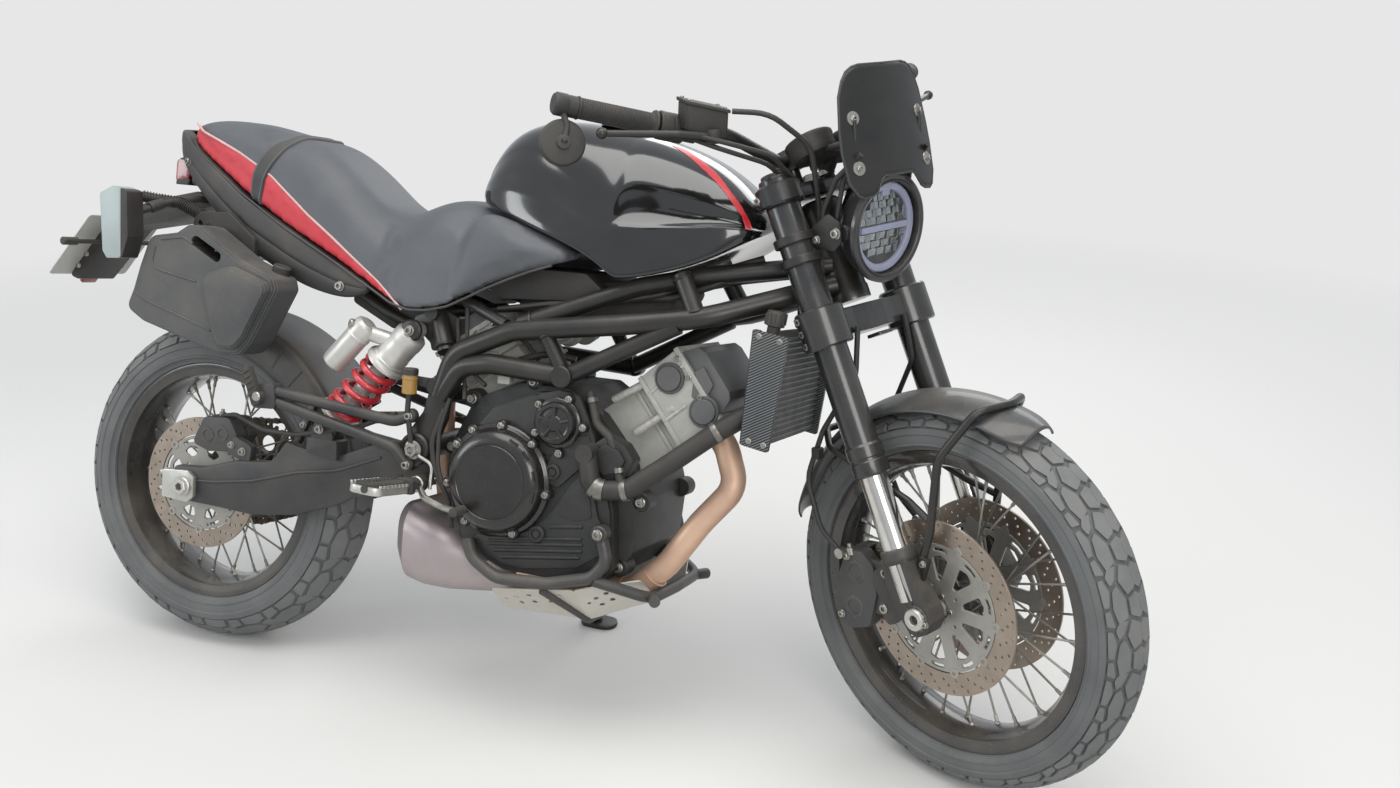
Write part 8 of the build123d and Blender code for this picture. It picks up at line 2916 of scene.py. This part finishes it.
for side in (-1, 1):
    for y, z in ((84, 18), (80, 96)):
        out = (onScreen(side * y + 1, z) - onScreen(side * y - 1, z)).cross(screenUp).normalized()
        addTurned(
            bm, onScreen(side * y, z) + out * 1.4, out,
            [(0, -6), (11, -6), (11.5, 0.8), (11, 1.8), (6, 2.2), (6, 3.4), (0, 3.4)], 28, 1,
        )
        steeredBolt(onScreen(side * y, z) + out * 4.6, out, 0.8)
makePiece("flyScreenTrim", bm, ["screenEdge", "boltSteel"], (), body="steering")

# two instruments
dialMarks = {"count": 21, "first": -40, "pitch": 13}
bm = newMesh()
dialUp = Vector((-0.55, 0, 0.83)).normalized()
dialFore = dialUp.cross(Vector((0, 1, 0)))
dialAt = Vector((1196, 0, 1064))
for y, radius in ((-52, 42), (44, 46)):
    spot = dialAt + Vector((0, y, 0))
    addTurned(
        bm, spot - dialUp * 36, dialUp,
        [
            (0, 0), (radius - 16, 0), (radius - 6, 4), (radius - 2, 12), (radius - 2, 26), (radius, 30),
            (radius, 35), (radius - 2, 37), (radius - 5, 37), (radius - 6, 33), (radius - 6, 30),
        ],
        48, 0,
    )
    addTurned(bm, spot - dialUp * 5, dialUp, [(radius - 6, 0), (0, 0)], 40, 1)
    for k in range(dialMarks["count"]):
        angle = radians(dialMarks["first"] + dialMarks["pitch"] * k)
        way = Vector((0, 1, 0)) * cos(angle) - dialFore * -sin(angle)
        addTube(
            bm, [spot - dialUp * 4.6 + way * (radius - 13), spot - dialUp * 4.6 + way * (radius - 8)], 0.6,
            (), 6, 2,
        )
    addTube(
        bm,
        [spot - dialUp * 4, spot - dialUp * 4 + (Vector((0, -0.8, 0)) - dialFore * 0.5) * (radius - 16)],
        0.9, (), 6, 2,
    )
    addTurned(bm, spot - dialUp * 5, dialUp, [(0, 2), (4, 2), (4, 3.4), (0, 4)], 20, 0)
addPrism(
    bm, roundCorners(oblong(60, 20), 8), (dialAt - dialUp * 37, Vector((0, 1, 0)), dialFore, dialUp), 8, 2,
    0,
)
addTube(bm, [Vector((1206, 0, 1040)), atFork(34, 0, 736)], 12, (), 20, 0)
for side in (-1, 1):
    addTube(
        bm, [(1216, side * 52, 1046), (1268, side * 52, 1060), (1296, side * 52, 1062)], 6, (20,), 14, 0,
    )
makePiece(
    "instruments", bm, ["mouldBlack", "dialGrey", "dialMark"], ["instruments"],
    body="steering",
)
print("lamp, screen and instruments made")

# front mudguard: domed strip round the wheel, its edges rolled
mudguard = {"half": 62, "radius": 346, "from": 66, "sweep": 102, "steps": 52, "columns": 16, "crown": 23}
bm = newMesh()
rows = []
for step in range(mudguard["steps"] + 1):
    angle = radians(mudguard["from"] + mudguard["sweep"] * step / mudguard["steps"])
    narrow = 1 - 0.35 * max(0, (4 - step) / 4) ** 2 - 0.25 * max(0, (step - 49) / 3) ** 2
    row = []
    for k in range(mudguard["columns"] + 1):
        share = (k - 8) / 8
        y = mudguard["half"] * narrow * share
        r = mudguard["radius"] + 3 - mudguard["crown"] * share ** 2 - (1.6 if abs(share) == 1 else 0)
        row.append(bm.verts.new(frontAxle + Vector((r * cos(angle), y, r * sin(angle)))))
    rows.append(row)
skinRows(bm, rows)
makePiece(
    "frontMudguard", bm, ["guardGloss"], ["front_mudguard"], 60, thickened(0.003),
    body="steering",
)

# hoops: over the crest in front, behind the legs at the rear
def hooped(half):
    return half + [(x, -y, z) for x, y, z in reversed(half) if y]


bm = newMesh()
addTube(
    bm, hooped([(1472, 99, 396), (1486, 90, 466), (1498, 90, 592), (1548, 62, 672), (1569, 0, 675)]), 7,
    (40, 60, 34, 60, 34, 60, 40), 18, 0,
)
addTube(
    bm, hooped([(1488, 89, 482), (1430, 75, 502), (1262, 75, 556), (1224, 40, 572)]), 6,
    (30, 24, 20, 20, 24, 30), 16, 0,
)
for side in (-1, 1):
    addSlab(bm, [(1462, 384), (1482, 380), (1494, 424), (1474, 428)], 6, side * 94, side * 104, 2)
    for x, z in ((1473, 392), (1484, 416)):
        steeredBolt((x, side * 104, z), (0, side, 0), 1.0)
makePiece("mudguardStays", bm, ["frameBlack"], ["mudguard_stays"], body="steering")

# calipers in two halves over the discs
bm = newMesh()
caliperSide = [
    (1352, 400), (1318, 396), (1296, 330), (1300, 268), (1330, 252), (1372, 268), (1386, 330), (1378, 380),
]
bridgeSide = [
    (1346, 400), (1318, 396), (1296, 330), (1300, 268), (1330, 252), (1345, 258), (1331, 300), (1331, 358),
    (1346, 392),
]
for side in (-1, 1):
    middle = side * 64.5
    addSlab(bm, caliperSide, 14, middle + side * 8, middle + side * 36, 6)
    addSlab(bm, caliperSide, 14, middle - side * 8, middle - side * 22, 4)
    addSlab(bm, bridgeSide, 6, middle - side * 9, middle + side * 9, 2)
    for x, z in ((1340, 360), (1338, 296)):
        addTurned(
            bm, (x, middle + side * 34, z), (0, side, 0),
            [(0, 0), (21, 0), (19, 3), (13, 3.4), (12, 1.6), (0, 1.6)], 36, 0,
        )
    addSlab(
        bm, [(1366, 296), (1362, 388), (1412, 392), (1426, 380), (1426, 306), (1412, 294)], 8,
        middle + side * 20, middle + side * 30, 2,
    )
    for x, z in ((1404, 376), (1402, 312)):
        steeredBolt((x, middle + side * 30, z), (0, side, 0), 1.7)
    for x, z in ((1322, 384), (1312, 276)):
        steeredBolt((x, middle + side * 36, z), (0, side, 0), 1.1)
    addTurned(
        bm, (1328, middle + side * 34, 396), (-0.3, 0, 1),
        [(0, -8), (7, -8), (7, 4), (4, 6), (4, 11), (0, 11)], 20, 1,
    )
makePiece(
    "frontCalipers", bm, ["caliperGrey", "boltSteel"], ["front_calipers"], body="steering",
)

bm = newMesh()
for side in (-1, 1):
    route = [
        (1310, 60, 770), (1318, 74, 690), (1262, 92, 590), (1232, 100, 500), (1268, 106, 420),
        (1312, 104, 388),
    ]
    addTube(bm, [(x, side * y, z) for x, y, z in route], 4.6, (40, 60, 60, 50), 14, 0)
    addTurned(bm, (1312, side * 104, 388), (0, -side, 0), rectangle(0, 9, -7, 7), 20, 1)
    addSlab(bm, rectangle(1246, 1262, 540, 560), 3, side * 90, side * 104, 1.5)
makePiece("brakeHoses", bm, ["hoseRubber", "boltSteel"], ["brake_hoses"], body="steering")


# screw heads on the spots noted for a body
def addScrews(name, spots, body):
    head = bmesh.new()
    addTurned(
        head, (0, 0, 0), (0, 0, 1),
        [(6.2, 0), (6.2, 1.2), (5, 1.8), (5, 4.6), (4.4, 5.4), (2.6, 5.4), (2.4, 2.6), (0, 2.6)], 12,
    )
    bm = newMesh()
    placeCopies(bm, head, spots, 0, finishes["boltSteel"])
    makePiece(name, bm, ["boltSteel"], (), body=body)


addScrews("screwsSteered", steeredScrews, "steering")
print("front made")

addScrews("screwsFixed", boltSpots, "chassis")

# the CAD nodes, all stood for by finer pieces, take one plain finish
for node in nodes.values():
    node.data.materials.clear()
    node.data.materials.append(finishes["frameBlack"])
    for face in node.data.polygons:
        face.material_index = 0
print("CAD nodes finished")

# floor, light and camera
studio = {"floor": 60.0, "sky": 0.75, "backdrop": 0.86, "fadeFrom": 1.9, "fadeTo": 4.2}
floorMesh = bpy.data.meshes.new("paleFloor")
half = studio["floor"]
floorMesh.from_pydata(
    [(-half, -half, 0), (half, -half, 0), (half, half, 0), (-half, half, 0)], [], [(0, 1, 2, 3)],
)
paleFloor = bpy.data.objects.new("paleFloor", floorMesh)
bpy.context.scene.collection.objects.link(paleFloor)
floorFinish = bpy.data.materials.new("paleFloor")
floorFinish.use_nodes = True
floorShader = floorFinish.node_tree.nodes["Principled BSDF"]
floorShader.inputs["Base Color"].default_value = (0.62, 0.61, 0.59, 1)
floorShader.inputs["Roughness"].default_value = 0.85
# away from the object the camera sees the backdrop's own tone, so that no horizon shows
floorTree = floorFinish.node_tree
floorPlace = floorTree.nodes.new("ShaderNodeNewGeometry")
floorSpan = floorTree.nodes.new("ShaderNodeVectorMath")
floorSpan.operation = "LENGTH"
floorTree.links.new(floorPlace.outputs["Position"], floorSpan.inputs[0])
floorFade = rangeNode(floorTree, floorSpan.outputs["Value"], studio["fadeFrom"], studio["fadeTo"])
floorRays = floorTree.nodes.new("ShaderNodeLightPath")
floorGlow = floorTree.nodes.new("ShaderNodeEmission")
floorGlow.inputs["Color"].default_value = (0.93, 0.93, 0.93, 1)
floorGlow.inputs["Strength"].default_value = studio["backdrop"]
floorMix = floorTree.nodes.new("ShaderNodeMixShader")
floorTree.links.new(
    mathNode(floorTree, "MULTIPLY", floorFade, floorRays.outputs["Is Camera Ray"]), floorMix.inputs[0],
)
floorTree.links.new(floorShader.outputs[0], floorMix.inputs[1])
floorTree.links.new(floorGlow.outputs[0], floorMix.inputs[2])
floorTree.links.new(floorMix.outputs[0], floorTree.nodes["Material Output"].inputs["Surface"])
floorMesh.materials.append(floorFinish)

scene = bpy.context.scene
sky = bpy.data.worlds.new("softSky")
scene.world = sky
sky.use_nodes = True
skyTree = sky.node_tree
skyGlow = skyTree.nodes["Background"]
skyGlow.inputs["Color"].default_value = (0.9, 0.95, 1.0, 1)
skyGlow.inputs["Strength"].default_value = studio["sky"]
plain = skyTree.nodes.new("ShaderNodeBackground")
plain.inputs["Color"].default_value = (0.93, 0.93, 0.93, 1)
plain.inputs["Strength"].default_value = studio["backdrop"]
rays = skyTree.nodes.new("ShaderNodeLightPath")
chosen = skyTree.nodes.new("ShaderNodeMixShader")
skyTree.links.new(rays.outputs["Is Camera Ray"], chosen.inputs[0])
skyTree.links.new(skyGlow.outputs[0], chosen.inputs[1])
skyTree.links.new(plain.outputs[0], chosen.inputs[2])
skyTree.links.new(chosen.outputs[0], skyTree.nodes["World Output"].inputs["Surface"])


def addLight(name, spot, aim, size, power, colour):
    light = bpy.data.lights.new(name, "AREA")
    light.shape = "RECTANGLE"
    light.size, light.size_y = size
    light.energy = power
    light.color = colour
    lamp = bpy.data.objects.new(name, light)
    lamp.location = spot
    lamp.rotation_euler = (Vector(aim) - Vector(spot)).to_track_quat("-Z", "Y").to_euler()
    scene.collection.objects.link(lamp)


for spec in (
    ("overhead", (0.2, -0.6, 3.6), (0, 0, 0.4), (3.6, 2.2), 95, (1.0, 0.99, 0.97)),
    ("frontSide", (2.6, -3.2, 2.2), (0.2, 0, 0.5), (1.8, 1.6), 60, (1.0, 0.98, 0.95)),
    ("rearSide", (-3.2, -2.4, 1.8), (-0.2, 0, 0.5), (1.4, 1.4), 34, (0.95, 0.98, 1.0)),
    ("behind", (0.3, 3.2, 2.4), (0, 0, 0.6), (2.6, 1.2), 34, (1.0, 1.0, 1.0)),
):
    addLight(*spec)

camera = {
    "lens": 36.519, "sensor": 36, "spot": (1.13394, -2.29593, 1.41343), "turn": (70.8588, -0.1137, 21.0709),
}
eye = bpy.data.cameras.new("eye")
eye.lens = camera["lens"]
eye.sensor_width = camera["sensor"]
eyeHolder = bpy.data.objects.new("eye", eye)
eyeHolder.location = camera["spot"]
eyeHolder.rotation_euler = [radians(angle) for angle in camera["turn"]]
scene.collection.objects.link(eyeHolder)
scene.camera = eyeHolder
scene.view_settings.view_transform = "Standard"

print("pieces ready")
